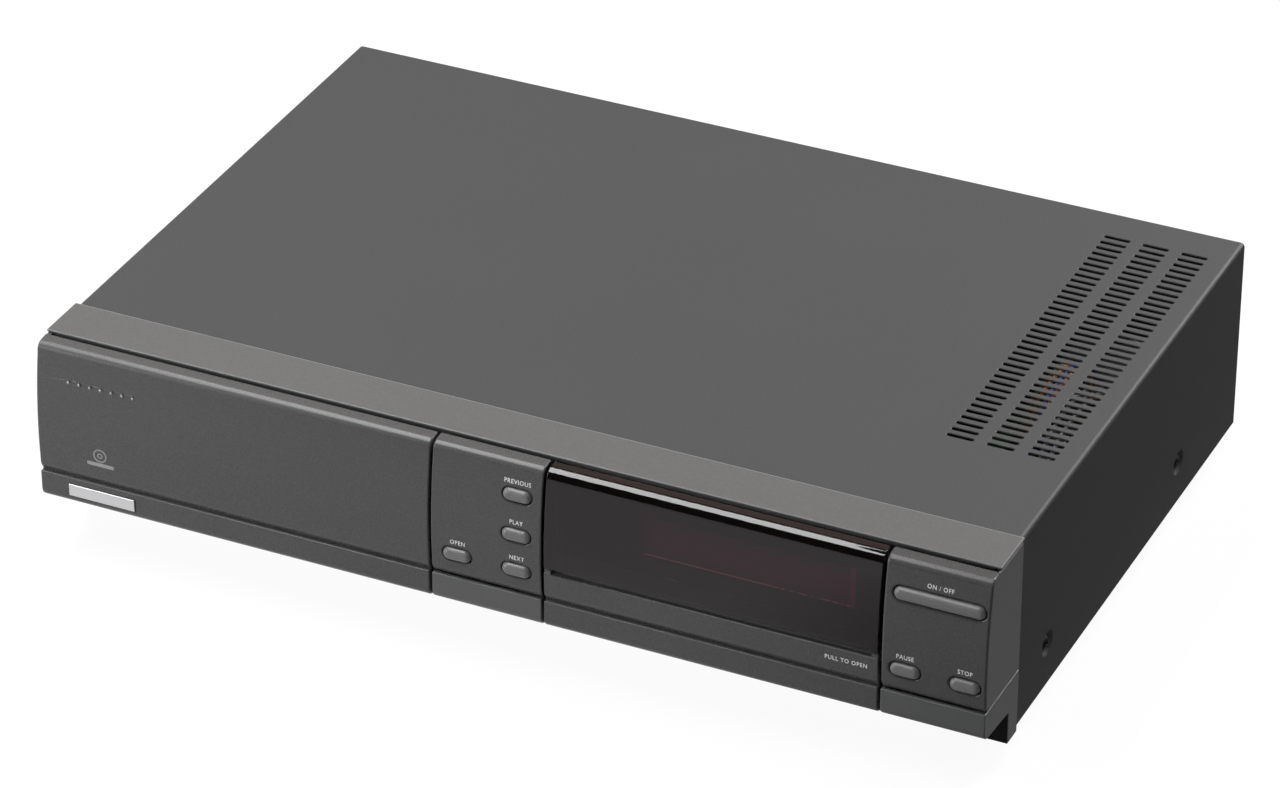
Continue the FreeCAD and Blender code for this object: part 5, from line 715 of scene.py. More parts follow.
def islands(node: bpy.types.Object) -> list[list[Vector]]:
    """Sorts a CAD node's points by the separate solids that it holds.

    Args:
        node: The node.

    Returns:
        The points of each solid.
    """
    work = joined_copy(node, flat=False)
    known: set[bmesh.types.BMVert] = set()
    groups = []
    for start in work.verts:
        if start in known:
            continue
        known.add(start)
        group, waiting = [], [start]
        while waiting:
            vert = waiting.pop()
            group.append(vert.co.copy())
            for edge in vert.link_edges:
                other = edge.other_vert(vert)
                if other not in known:
                    known.add(other)
                    waiting.append(other)
        groups.append(group)
    work.free()
    return groups


def corners(points: Sequence[Vector]) -> tuple[Vector, Vector]:
    """Finds the box round some points.

    Args:
        points: The points.

    Returns:
        Its lowest and highest corners.
    """
    low = Vector(min(point[axis] for point in points) for axis in range(3))
    high = Vector(max(point[axis] for point in points) for axis in range(3))
    return low, high


def soften_edges(work: bmesh.types.BMesh, radius: float, degrees: float) -> None:
    """Sets how far each sharp edge is rounded, so that small or thin features keep their shape.

    Args:
        work: The mesh, whose edges get their bevel weights.
        radius: The full radius.
        degrees: The angle past which an edge counts as sharp.
    """
    limit = math.radians(degrees)
    layers = work.edges.layers.float
    layer = layers.get("bevel_weight_edge") or layers.new("bevel_weight_edge")
    sharp = {edge for edge in work.edges if len(edge.link_faces) == 2 and edge.calc_face_angle(0.0) > limit}
    width: dict[bmesh.types.BMFace, float] = {}
    for start in work.faces:
        if start in width:
            continue
        patch, waiting, rim = [start], [start], 0.0
        width[start] = 0.0
        while waiting:
            for edge in waiting.pop().edges:
                if edge in sharp:
                    rim += edge.calc_length()
                    continue
                for face in edge.link_faces:
                    if face not in width:
                        width[face] = 0.0
                        patch.append(face)
                        waiting.append(face)
        across = 2 * sum(face.calc_area() for face in patch) / max(rim, TINY)
        for face in patch:
            width[face] = across
    for edge in sharp:
        share = EDGE_SHARE * min(width[face] for face in edge.link_faces) / radius
        wanted = share > (OUTER_SHARE if edge.is_convex else INNER_SHARE)
        edge[layer] = min(share, 1.0) if wanted else 0.0


def round_off(piece: bpy.types.Object, radius_mm: float, segments: int = 3, degrees: float = 32.0) -> None:
    """Rounds a piece's sharp edges and gives its flat faces even shading.

    Args:
        piece: The piece, whose mesh is joined.
        radius_mm: The radius of its edges.
        segments: The faces across each rounded edge.
        degrees: The angle past which an edge counts as sharp.
    """
    low, high = corners([vert.co for vert in piece.data.vertices])
    work = bmesh.new()
    work.from_mesh(piece.data)
    soften_edges(work, radius_mm * MM, degrees)
    work.to_mesh(piece.data)
    work.free()
    smooth_by_angle(piece.data, degrees)
    bevel = piece.modifiers.new("edges", "BEVEL")
    bevel.width = radius_mm * MM
    bevel.segments = segments
    bevel.limit_method = "WEIGHT"
    bevel.use_clamp_overlap = False
    bevel.loop_slide = False
    bevel.miter_outer = "MITER_ARC"
    bake_modifiers(piece)
    for vert in piece.data.vertices:
        vert.co = [min(max(place, bottom), top) for place, bottom, top in zip(vert.co, low, high)]
    shade_evenly(piece)


def shade_evenly(piece: bpy.types.Object) -> None:
    """Gives flat faces flat shading beside rounded ones.

    Args:
        piece: The piece, whose normals are weighted by the size of its faces.
    """
    even = piece.modifiers.new("shade", "WEIGHTED_NORMAL")
    even.mode = "FACE_AREA"
    even.keep_sharp = True
    bake_modifiers(piece)


def body_of(frame: dict, node: str) -> str:
    """Finds the body that a node belongs to.

    Args:
        frame: The loaded frame.
        node: The node's name.

    Returns:
        The body's name.
    """
    for body, nodes in frame["record"]["behaviour"]["bodies"].items():
        if node in nodes:
            return body
    raise KeyError(node)


def slot_of(frame: dict, node: str) -> str:
    """Finds the record's material slot of a node.

    Args:
        frame: The loaded frame.
        node: The node's name.

    Returns:
        The slot's name.
    """
    for part in frame["record"]["subparts"]:
        if part["node"] == node:
            return part["material_slot"]
    raise KeyError(node)


def settle(piece: bpy.types.Object, body: str, slot: str) -> bpy.types.Object:
    """Lets a new piece ride on a body and reports it.

    Args:
        piece: The finished piece.
        body: The body's name.
        slot: The material slot's name; not used.

    Returns:
        The piece.
    """
    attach(piece, body)
    LOG.info("%s: %d faces on %s", piece.name, len(piece.data.polygons), body)
    return piece


def dress(frame: dict, finishes: dict[str, Finish]) -> None:
    """Gives CAD nodes that stay in view their finishes.

    Args:
        frame: The loaded frame.
        finishes: A finish for each node's name.
    """
    for node, finish in finishes.items():
        piece = frame["nodes"][node]
        if not piece.data.materials:
            piece.data.materials.append(finish.material())
        for slot in piece.material_slots:
            slot.material = finish.material()
        LOG.info("%s: %s", node, finish.name)


@dataclass
class SoftCopy:
    """A CAD node shown with the small rounded edges that moulding, pressing or coating leaves.

    Each of its parts is a finish with a test that picks the faces that have it.
    """

    node: str
    finish: Finish
    radius_mm: float = 0.4
    segments: int = 3
    degrees: float = 32.0
    parts: tuple[tuple[Finish, Callable[[bpy.types.MeshPolygon], bool]], ...] = ()

    def build(self, frame: dict) -> bpy.types.Object:
        """Makes the piece and lets it replace the node.

        Args:
            frame: The loaded frame.

        Returns:
            The piece.
        """
        work = joined_copy(frame["nodes"][self.node], flat=self.radius_mm > 0)
        mesh = bpy.data.meshes.new(self.node + "_soft")
        work.to_mesh(mesh)
        work.free()
        piece = add_object(self.node + "_soft", mesh, self.finish, *(finish for finish, _ in self.parts))
        if self.radius_mm > 0:
            round_off(piece, self.radius_mm, self.segments, self.degrees)
        else:
            smooth_by_angle(piece.data, self.degrees)
            shade_evenly(piece)
        for face in piece.data.polygons:
            face.material_index = 0
            for index, (_, belongs) in enumerate(self.parts, 1):
                if belongs(face):
                    face.material_index = index
        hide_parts(self.node)
        return settle(piece, body_of(frame, self.node), slot_of(frame, self.node))


class Shaper:
    """Collects lathed, boxed and extruded shapes into one mesh, in millimetres until it ends."""

    def __init__(self) -> None:
        """Starts with nothing."""
        self.work = bmesh.new()

    def lathe(
        self,
        profile: Sequence[Flat],
        at: Point,
        facing: object = Facing.UP,
        segments: int = 32,
        ring: bool = False,
    ) -> "Shaper":
        """Turns a profile round an axis.

        Args:
            profile: Pairs of a radius and a place along the axis, from one end to the other.
            at: The axis's start.
            facing: The axis's direction, as a Facing or a vector.
            segments: The faces round the axis.
            ring: Whether the profile is a closed loop away from the axis.

        Returns:
            This shaper.
        """
        axis = Vector(facing.value if isinstance(facing, Facing) else facing).normalized()
        turn = Vector((0.0, 0.0, 1.0)).rotation_difference(axis).to_matrix()
        rows = []
        for radius, along in profile:
            count = 1 if radius < TINY else segments
            angles = (2 * math.pi * step / segments for step in range(count))
            spots = (Vector((radius * math.cos(a), radius * math.sin(a), along)) for a in angles)
            rows.append([self.work.verts.new(turn @ spot + Vector(at)) for spot in spots])
        pairs = list(zip(rows, rows[1:])) + ([(rows[-1], rows[0])] if ring else [])
        faces = []
        for first, second in pairs:
            for step in range(segments):
                loop = [row[(step + more) % len(row)] for row in (first,) for more in (0, 1)]
                loop += [second[(step + more) % len(second)] for more in (1, 0)]
                unique = list(dict.fromkeys(loop))
                if len(unique) > 2:
                    faces.append(self.work.faces.new(unique))
        if not ring:
            faces += [self.work.faces.new(row) for row in (rows[0], rows[-1]) if len(row) > 2]
        bmesh.ops.recalc_face_normals(self.work, faces=faces)
        return self

    def box(self, low: Point, high: Point) -> "Shaper":
        """Adds a box between two corners.

        Args:
            low: The lowest corner.
            high: The highest corner.

        Returns:
            This shaper.
        """
        size = [top - bottom for bottom, top in zip(low, high)]
        middle = [(top + bottom) / 2 for bottom, top in zip(low, high)]
        matrix = Matrix.Translation(middle) @ Matrix.Diagonal((*size, 1.0))
        bmesh.ops.create_cube(self.work, size=1.0, matrix=matrix)
        return self

    def sweep(self, outline: Sequence[Point], steps: Sequence[Point]) -> "Shaper":
        """Extrudes a closed outline through several places.

        Args:
            outline: The outline's points at the start.
            steps: The shift of the outline at each place, the first one included.

        Returns:
            This shaper.
        """
        rows = [[self.work.verts.new(Vector(point) + Vector(step)) for point in outline] for step in steps]
        faces = [self.work.faces.new(rows[0]), self.work.faces.new(rows[-1])]
        count = len(outline)
        for first, second in zip(rows, rows[1:]):
            for step in range(count):
                following = (step + 1) % count
                loop = (first[step], first[following], second[following], second[step])
                faces.append(self.work.faces.new(loop))
        bmesh.ops.recalc_face_normals(self.work, faces=faces)
        return self

    def mesh(self, name: str) -> bpy.types.Mesh:
        """Ends as a mesh in metres.

        Args:
            name: The mesh's name.

        Returns:
            The mesh.
        """
        self.work.transform(Matrix.Scale(MM, 4))
        made = bpy.data.meshes.new(name)
        self.work.to_mesh(made)
        self.work.free()
        return made

    def piece(self, name: str, *finishes: Finish, degrees: float = 32.0) -> bpy.types.Object:
        """Ends as a piece with plain edges.

        Args:
            name: The piece's name.
            finishes: Its finishes, one for each material slot.
            degrees: The angle past which an edge stays sharp.

        Returns:
            The piece.
        """
        piece = add_object(name, self.mesh(name), *finishes)
        smooth_by_angle(piece.data, degrees)
        return piece

    def block(self, name: str, finish: Finish, radius_mm: float, segments: int = 3) -> bpy.types.Object:
        """Ends as a piece with rounded edges.

        Args:
            name: The piece's name.
            finish: Its finish.
            radius_mm: The radius of its edges.
            segments: The faces across each rounded edge.

        Returns:
            The piece.
        """
        piece = add_object(name, self.mesh(name + "_core"), finish)
        round_off(piece, radius_mm, segments)
        return piece


def cut_away(piece: bpy.types.Object, cutter: bpy.types.Mesh) -> None:
    """Takes a solid out of a piece, with the cut's own material numbers kept.

    Args:
        piece: The piece.
        cutter: The solid, which is used up.
    """
    tool = add_object("cutter", cutter)
    modifier = piece.modifiers.new("cut", "BOOLEAN")
    modifier.operation = "DIFFERENCE"
    modifier.solver = "EXACT"
    modifier.object = tool
    bake_modifiers(piece)
    bpy.data.objects.remove(tool)
    bpy.data.meshes.remove(cutter)


# Geometry Nodes

Socket = bpy.types.NodeSocket


class Repeater:
    """A Geometry Nodes tree with named inputs that repeats or sweeps a shape."""

    def __init__(self, name: str, base: Optional[bpy.types.Mesh] = None) -> None:
        """Starts a tree.

        Args:
            name: The tree's and the piece's name.
            base: The mesh that its points come from, where they come from one.
        """
        self.name = name
        self.base = base
        self.tree = bpy.data.node_groups.new(name, "GeometryNodeTree")
        self.tree.is_modifier = True
        interface = self.tree.interface
        interface.new_socket("Geometry", in_out="INPUT", socket_type="NodeSocketGeometry")
        interface.new_socket("Geometry", in_out="OUTPUT", socket_type="NodeSocketGeometry")
        self.source = self.tree.nodes.new("NodeGroupInput")
        self.values: dict[str, object] = {}

    def input(self, name: str, value: object) -> Socket:
        """Adds a named input with its value.

        Args:
            name: The input's name.
            value: A whole number, a number, a point or an object.

        Returns:
            Its socket inside the tree.
        """
        kinds = {int: "NodeSocketInt", float: "NodeSocketFloat", tuple: "NodeSocketVector"}
        kind = kinds.get(type(value), "NodeSocketObject")
        item = self.tree.interface.new_socket(name, in_out="INPUT", socket_type=kind)
        self.values[item.identifier] = value
        return self.source.outputs[name]

    def add(
        self,
        kind: str,
        inputs: dict[Union[str, int], object],
        output: Union[str, int] = 0,
        **settings: object,
    ) -> Socket:
        """Adds a node.

        Args:
            kind: The node's type, without its GeometryNode prefix where it has that.
            inputs: Values or sockets by input name or number.
            output: The output to return.
            settings: The node's own settings, set first.

        Returns:
            The chosen output socket.
        """
        node = self.tree.nodes.new(kind if kind.startswith("Function") else "GeometryNode" + kind)
        for name, value in settings.items():
            setattr(node, name, value)
        for name, value in inputs.items():
            if isinstance(value, Socket):
                self.tree.links.new(value, node.inputs[name])
            else:
                node.inputs[name].default_value = value
        return node.outputs[output]

    def piece(self, geometry: Socket, finish: Finish, degrees: float = 32.0) -> bpy.types.Object:
        """Ends the tree and turns its result into a plain piece.

        Args:
            geometry: The socket with the shapes.
            finish: The finish that the tree sets.
            degrees: The angle past which an edge stays sharp.

        Returns:
            The piece, with no modifier left.
        """
        real = self.add("RealizeInstances", {0: geometry})
        dressed = self.add("SetMaterial", {"Geometry": real, "Material": finish.material()})
        end = self.tree.nodes.new("NodeGroupOutput")
        self.tree.links.new(dressed, end.inputs[0])
        piece = add_object(self.name, self.base or bpy.data.meshes.new(self.name))
        modifier = piece.modifiers.new("repeat", "NODES")
        modifier.node_group = self.tree
        for identifier, value in self.values.items():
            modifier[identifier] = value
        bake_modifiers(piece)
        smooth_by_angle(piece.data, degrees)
        return piece


@dataclass
class Row:
    """A straight row of one shape."""

    name: str
    start: Point
    step: Point
    count: int
    finish: Finish

    def _line(self, tree: Repeater) -> Socket:
        """Adds the row's points.

        Args:
            tree: The tree that they belong to.

        Returns:
            Their socket.
        """
        inputs = {
            "Count": tree.input("Count", self.count),
            "Start Location": tree.input("Start", self.start),
            "Offset": tree.input("Step", self.step),
        }
        return tree.add("MeshLine", inputs, mode="OFFSET")

    def of_boxes(self, size: Point) -> bpy.types.Object:
        """Makes the row from boxes.

        Args:
            size: The size of each box.

        Returns:
            The piece.
        """
        tree = Repeater(self.name)
        box = tree.add("MeshCube", {"Size": tree.input("Size", size)})
        boxes = tree.add("InstanceOnPoints", {"Points": self._line(tree), "Instance": box})
        return tree.piece(boxes, self.finish)


@dataclass
class Ring:
    """A ring of round pins along Y, such as socket contacts or the ribs of a knob."""

    name: str
    centre: Point
    radius: float
    count: int
    finish: Finish
    sides: int = 12

    def of_pins(self, radius: float, length: float) -> bpy.types.Object:
        """Makes the ring from pins.

        Args:
            radius: The radius of each pin.
            length: Its length.

        Returns:
            The piece.
        """
        tree = Repeater(self.name)
        lying = (math.pi / 2, 0, 0)
        count = tree.input("Count", self.count)
        circle = tree.add("MeshCircle", {"Vertices": count, "Radius": tree.input("Ring radius", self.radius)})
        centre = tree.input("Centre", self.centre)
        points = tree.add("Transform", {"Geometry": circle, "Translation": centre, "Rotation": lying})
        size = {"Radius": tree.input("Pin radius", radius), "Depth": tree.input("Length", length)}
        pin = tree.add("MeshCylinder", {"Vertices": self.sides, **size})
        inputs = {"Points": points, "Instance": pin, "Rotation": lying}
        return tree.piece(tree.add("InstanceOnPoints", inputs), self.finish)


@dataclass
class Scatter:
    """One shape repeated at points that each face their own way.

    The shape's own +Z, or +X where it stays upright, turns to the point's direction.
    """

    name: str
    shape: bpy.types.Mesh
    finish: Finish
    upright: bool = False
    turned: bool = False
    seed: int = 3

    def at(self, spots: Sequence[tuple[Vector, Vector]]) -> bpy.types.Object:
        """Makes the piece.

        Args:
            spots: Each shape's place and direction, in metres.

        Returns:
            The piece.
        """
        base = bpy.data.meshes.new(self.name)
        base.from_pydata([tuple(place) for place, _ in spots], [], [])
        layer = base.attributes.new("facing", "FLOAT_VECTOR", "POINT")
        layer.data.foreach_set("vector", [number for _, facing in spots for number in facing])
        pattern = add_object(self.name + "_pattern", self.shape)
        tree = Repeater(self.name, base)
        named = {"Name": "facing"}
        facing = tree.add("InputNamedAttribute", named, output="Attribute", data_type="FLOAT_VECTOR")
        axis, pivot = ("X", "Z") if self.upright else ("Z", "AUTO")
        turn = tree.add("FunctionNodeAlignRotationToVector", {"Vector": facing}, axis=axis, pivot_axis=pivot)
        if self.turned:
            seed = tree.input("Seed", self.seed)
            angle = tree.add("FunctionNodeRandomValue", {2: 0.0, 3: math.pi, "Seed": seed}, output=1)
            spin = {"Axis": (0.0, 0.0, 1.0), "Angle": angle}
            about = tree.add("FunctionNodeAxisAngleToRotation", spin)
            turned = {"Rotation": turn, "Rotate By": about}
            turn = tree.add("FunctionNodeRotateRotation", turned, rotation_space="LOCAL")
        shape = tree.add("ObjectInfo", {"Object": tree.input("Shape", pattern)}, output="Geometry")
        inputs = {"Points": tree.source.outputs[0], "Instance": shape, "Rotation": turn}
        piece = tree.piece(tree.add("InstanceOnPoints", inputs), self.finish)
        bpy.data.objects.remove(pattern)
        return piece


@dataclass
class Strand:
    """Round insulated leads along smooth lines."""

    name: str
    radius: float
    finish: Finish
    steps: int = 48
    sides: int = 10

    def along(self, routes: Sequence[Sequence[Point]]) -> bpy.types.Object:
        """Makes one lead along each route.

        Args:
            routes: The points of each lead, in millimetres.

        Returns:
            The piece.
        """
        points, edges = [], []
        for route in routes:
            edges += [(len(points) + step, len(points) + step + 1) for step in range(len(route) - 1)]
            points += [tuple(number * MM for number in point) for point in route]
        base = bpy.data.meshes.new(self.name)
        base.from_pydata(points, edges, [])
        tree = Repeater(self.name, base)
        curve = tree.add("MeshToCurve", {0: tree.source.outputs[0]})
        smooth = tree.add("CurveSplineType", {0: curve}, spline_type="CATMULL_ROM")
        fine = tree.add("ResampleCurve", {"Curve": smooth, "Count": tree.input("Steps", self.steps)})
        radius = tree.input("Radius", self.radius)
        circle = tree.add("CurvePrimitiveCircle", {"Resolution": self.sides, "Radius": radius})
        tube = tree.add("CurveToMesh", {"Curve": fine, "Profile Curve": circle, "Fill Caps": True})
        return tree.piece(tube, self.finish, degrees=50.0)


# The studio


@dataclass
class SoftBox:
    """One rectangular studio lamp."""

    name: str
    at: Point
    aim: Point
    size: Flat
    glow: float

    def build(self) -> None:
        """Hangs the lamp."""
        data = bpy.data.lights.new(self.name, "AREA")
        data.shape = "RECTANGLE"
        data.size, data.size_y = self.size
        data.energy = self.glow * math.pi * self.size[0] * self.size[1]
        lamp = bpy.data.objects.new(self.name, data)
        lamp.rotation_euler = (Vector(self.aim) - Vector(self.at)).to_track_quat("-Z", "Y").to_euler()
        lamp.location = self.at
        lamp.visible_camera = False
        bpy.context.scene.collection.objects.link(lamp)


@dataclass
class Studio:
    """Camera, floor, lamps and backdrop.

    The pairs from behind to table_edge say where a soft edge starts and ends: the first five as parts of a
    ray's direction, the last two as places on the floor.
    """

    camera_at: Point = (0.83985, -1.803776, 1.26690)
    forward: Point = (-0.3618, 0.7721, -0.5224)
    upward: Point = (-0.2210, 0.4734, 0.8527)
    lens_mm: float = 156.93
    sensor_mm: float = 36.0
    view_end: float = 100.0
    floor_size: float = 14.0
    floor_grain_mm: float = 2.0
    floor_tone: float = 0.42
    floor_glow: float = 1.10
    floor_share: float = 0.85
    room: float = 0.12
    behind: Flat = (0.0, 0.25)
    horizon: Flat = (0.12, 0.24)
    wall_low: Flat = (0.30, 0.42)
    wall_high: Flat = (0.70, 0.78)
    flank: Flat = (-0.05, 0.30)
    sheet_edge: Flat = (0.06, 0.24)
    table_edge: Flat = (-0.510, -0.495)
    pale: Color = (0.90, 0.85, 0.86)
    wall: Color = (0.70, 0.52, 0.47)
    screen: Color = (1.12, 1.08, 1.09)
    dark: Color = (0.003, 0.003, 0.003)
    lamps: tuple[SoftBox, ...] = (
        SoftBox("overhead", (-0.68, -0.33, 1.60), (-0.68, -0.33, 0.0), (0.65, 1.50), 12.7),
        SoftBox("high_right", (0.70, 1.00, 1.80), (0.0, 0.0, 0.05), (0.6, 0.6), 25.0),
        SoftBox("front_left", (-0.85, -0.75, 0.35), (-0.2, -0.1, 0.05), (0.4, 0.4), 13.0),
        SoftBox("rear", (0.60, 1.90, 0.80), (0.0, 0.1, 0.05), (1.0, 0.6), 16.0),
    )

    def build(self) -> None:
        """Makes everything in the studio."""
        self.make_camera()
        self.make_floor()
        self.make_world()
        for lamp in self.lamps:
            lamp.build()

    def make_camera(self) -> None:
        """Sets the camera to the photograph's place and view."""
        data = bpy.data.cameras.new("camera")
        data.lens = self.lens_mm
        data.sensor_width = self.sensor_mm
        data.sensor_fit = "HORIZONTAL"
        data.clip_end = self.view_end
        camera = bpy.data.objects.new("camera", data)
        back = -Vector(self.forward).normalized()
        right = Vector(self.upward).cross(back).normalized()
        turn = Matrix((right, back.cross(right), back)).transposed().to_4x4()
        camera.matrix_world = Matrix.Translation(self.camera_at) @ turn
        bpy.context.scene.collection.objects.link(camera)
        bpy.context.scene.camera = camera

    def make_floor(self) -> None:
        """Makes the floor, white to the lens; glossy surfaces see it pale in front and dark to the right."""
        mesh = bpy.data.meshes.new("floor")
        reach = self.floor_size / 2
        outline = [(-reach, -reach, 0.0), (reach, -reach, 0.0), (reach, reach, 0.0), (-reach, reach, 0.0)]
        mesh.from_pydata(outline, [], [(0, 1, 2, 3)])
        paper = bpy.data.materials.new("floor_paper")
        paper.use_nodes = True
        graph = Graph(paper.node_tree)
        grain = graph.noise(self.floor_grain_mm)
        tone = (self.floor_tone,) * 3
        matt = graph.add("BsdfDiffuse", {"Color": graph.blend(grain, shade(tone, 0.98), shade(tone, 1.02))})
        white = graph.add("Emission", {"Color": (1, 1, 1, 1), "Strength": self.floor_glow})
        in_front = 1.0 - graph.rise(graph.axis("Y"), *self.table_edge)
        off_sheet = in_front.math("MAXIMUM", graph.rise(graph.axis("X"), *self.sheet_edge))
        pale = graph.blend(off_sheet, self.pale, self.dark)
        sheen = graph.add("Emission", {"Color": pale, "Strength": 1.0})
        camera, glossy = (graph.add("LightPath", output=f"Is {ray} Ray") for ray in ("Camera", "Glossy"))
        seen = graph.add("MixShader", {0: glossy, 1: matt, 2: sheen})
        graph.end(graph.add("MixShader", {0: camera * self.floor_share, 1: seen, 2: white}))
        mesh.materials.append(paper)
        add_object("floor", mesh)

    def make_world(self) -> None:
        """Makes a white backdrop for the lens.

        Glossy rays see a pale screen low behind the player, a brown wall over it, and dark elsewhere.
        """
        world = bpy.data.worlds.new("studio")
        bpy.context.scene.world = world
        world.use_nodes = True
        graph = Graph(world.node_tree, "OutputWorld")
        direction = graph.add("TexCoord", output="Generated")
        side, behind, height = (graph.add("SeparateXYZ", {0: direction}, output=axis) for axis in "XYZ")
        rear = graph.rise(behind, *self.behind)
        screen = (1.0 - graph.rise(height, *self.horizon)) * (1.0 - graph.rise(side, *self.flank)) * rear
        wall = graph.rise(height, *self.wall_low) * (1.0 - graph.rise(height, *self.wall_high)) * rear
        color = graph.blend(screen, graph.blend(wall, self.dark, self.wall), self.screen)
        camera = graph.add("LightPath", output="Is Camera Ray")
        color = graph.blend(camera, color, (1.0, 1.0, 1.0))
        backdrop = graph.add("Background", {"Color": color, "Strength": 1.0})
        room = graph.add("Background", {"Color": (1, 1, 1, 1), "Strength": self.room})
        graph.end(graph.add("MixShader", {0: graph.background_rays(), 1: room, 2: backdrop}))


# The player


@dataclass(frozen=True)
class FrontOutline:
    """The curved outline of the front mouldings, as depth before the seam and height over the base."""

    seam_mm: float = -110.765746
    base_mm: float = 10.0
    foot: Flat = (35.25, 33.2)
    brow: Flat = (32.15, 83.6)
    radius_mm: float = 227.0

    def centre(self) -> Flat:
        """Finds the face's centre of curvature.

        Returns:
            Its depth and height.
        """
        run, rise = self.foot[0] - self.brow[0], self.brow[1] - self.foot[1]
        chord = math.hypot(run, rise)
        arm = math.sqrt(self.radius_mm**2 - (chord / 2) ** 2)
        middle = ((self.foot[0] + self.brow[0]) / 2, (self.foot[1] + self.brow[1]) / 2)
        return middle[0] - arm * rise / chord, middle[1] - arm * run / chord

    def depth(self, height: float) -> float:
        """The face's depth before the seam at a height over the base."""
        depth, level = self.centre()
        return depth + math.sqrt(self.radius_mm**2 - (height - level) ** 2)

    def lean(self, height: float) -> float:
        """How far the face leans back at a height, in radians."""
        return math.asin((height - self.centre()[1]) / self.radius_mm)

    def point(self, x: float, height: float, proud: float = 0.0) -> Vector:
        """A point on the face or a little in front of it, in millimetres."""
        out = self.outward(height)
        return Vector((x, self.seam_mm - self.depth(height), self.base_mm + height)) + out * proud

    def outward(self, height: float) -> Vector:
        """The face's direction at a height."""
        lean = self.lean(height)
        return Vector((0.0, -math.cos(lean), math.sin(lean)))

    def upward(self, height: float) -> Vector:
        """The direction up along the face at a height."""
        lean = self.lean(height)
        return Vector((0.0, math.sin(lean), math.cos(lean)))

    def place(self, depth: float, height: float) -> Flat:
        """A depth and height as Y and Z in millimetres."""
        return self.seam_mm - depth, self.base_mm + height


OUTLINE = FrontOutline()


@dataclass(frozen=True)
class Word:
    """A plain control label, centred at a place on the curved face."""

    text: str
    x_mm: float
    height_mm: float
    tall_mm: float = 1.9


@dataclass
class Lettering:
    """Plain capitals printed on the curved face."""

    name: str
    words: tuple[Word, ...]
    body: str
    finish: Finish = Finishes.PRINT
    spread: float = 1.13
    narrow: float = 0.87
    bold: float = 0.002
    thick_mm: float = 0.05
    weld: float = 1e-7
    curve_steps: int = 3

    def build(self) -> bpy.types.Object:
        """Makes all the words as one piece.

        Returns:
            The piece.
        """
        work = bmesh.new()
        capital = self._flat_word("H")
        cap = max(vert.co.y for vert in capital.vertices)
        for word in self.words:
            mesh = self._flat_word(word.text)
            scale = word.tall_mm / cap
            at = OUTLINE.point(word.x_mm, word.height_mm, self.thick_mm / 2)
            up, out = OUTLINE.upward(word.height_mm), OUTLINE.outward(word.height_mm)
            for vert in mesh.vertices:
                side, level, proud = vert.co
                shift = Vector((side * scale * self.narrow, 0.0, 0.0)) + up * ((level - cap / 2) * scale)
                vert.co = (at + shift + out * (proud * self.thick_mm / 2)) * MM
            work.from_mesh(mesh)
        bmesh.ops.remove_doubles(work, verts=work.verts, dist=self.weld)
        bmesh.ops.recalc_face_normals(work, faces=work.faces)
        mesh = bpy.data.meshes.new(self.name)
        work.to_mesh(mesh)
        work.free()
        return settle(add_object(self.name, mesh, self.finish), self.body, "front_moulding")

    def _flat_word(self, text: str) -> bpy.types.Mesh:
        """Makes a word lying flat.

        Args:
            text: The word.

        Returns:
            Its mesh, about 1 unit tall and from -1 to 1 thick.
        """
        curve = bpy.data.curves.new("word", "FONT")
        curve.body = text
        curve.align_x = "CENTER"
        curve.space_character = self.spread
        curve.offset = self.bold
        curve.extrude = 1.0
        curve.resolution_u = self.curve_steps
        word = bpy.data.objects.new("word", curve)
        bpy.context.scene.collection.objects.link(word)
        graph = bpy.context.evaluated_depsgraph_get()
        mesh = bpy.data.meshes.new_from_object(word.evaluated_get(graph), depsgraph=graph)
        bpy.data.objects.remove(word)
        return mesh


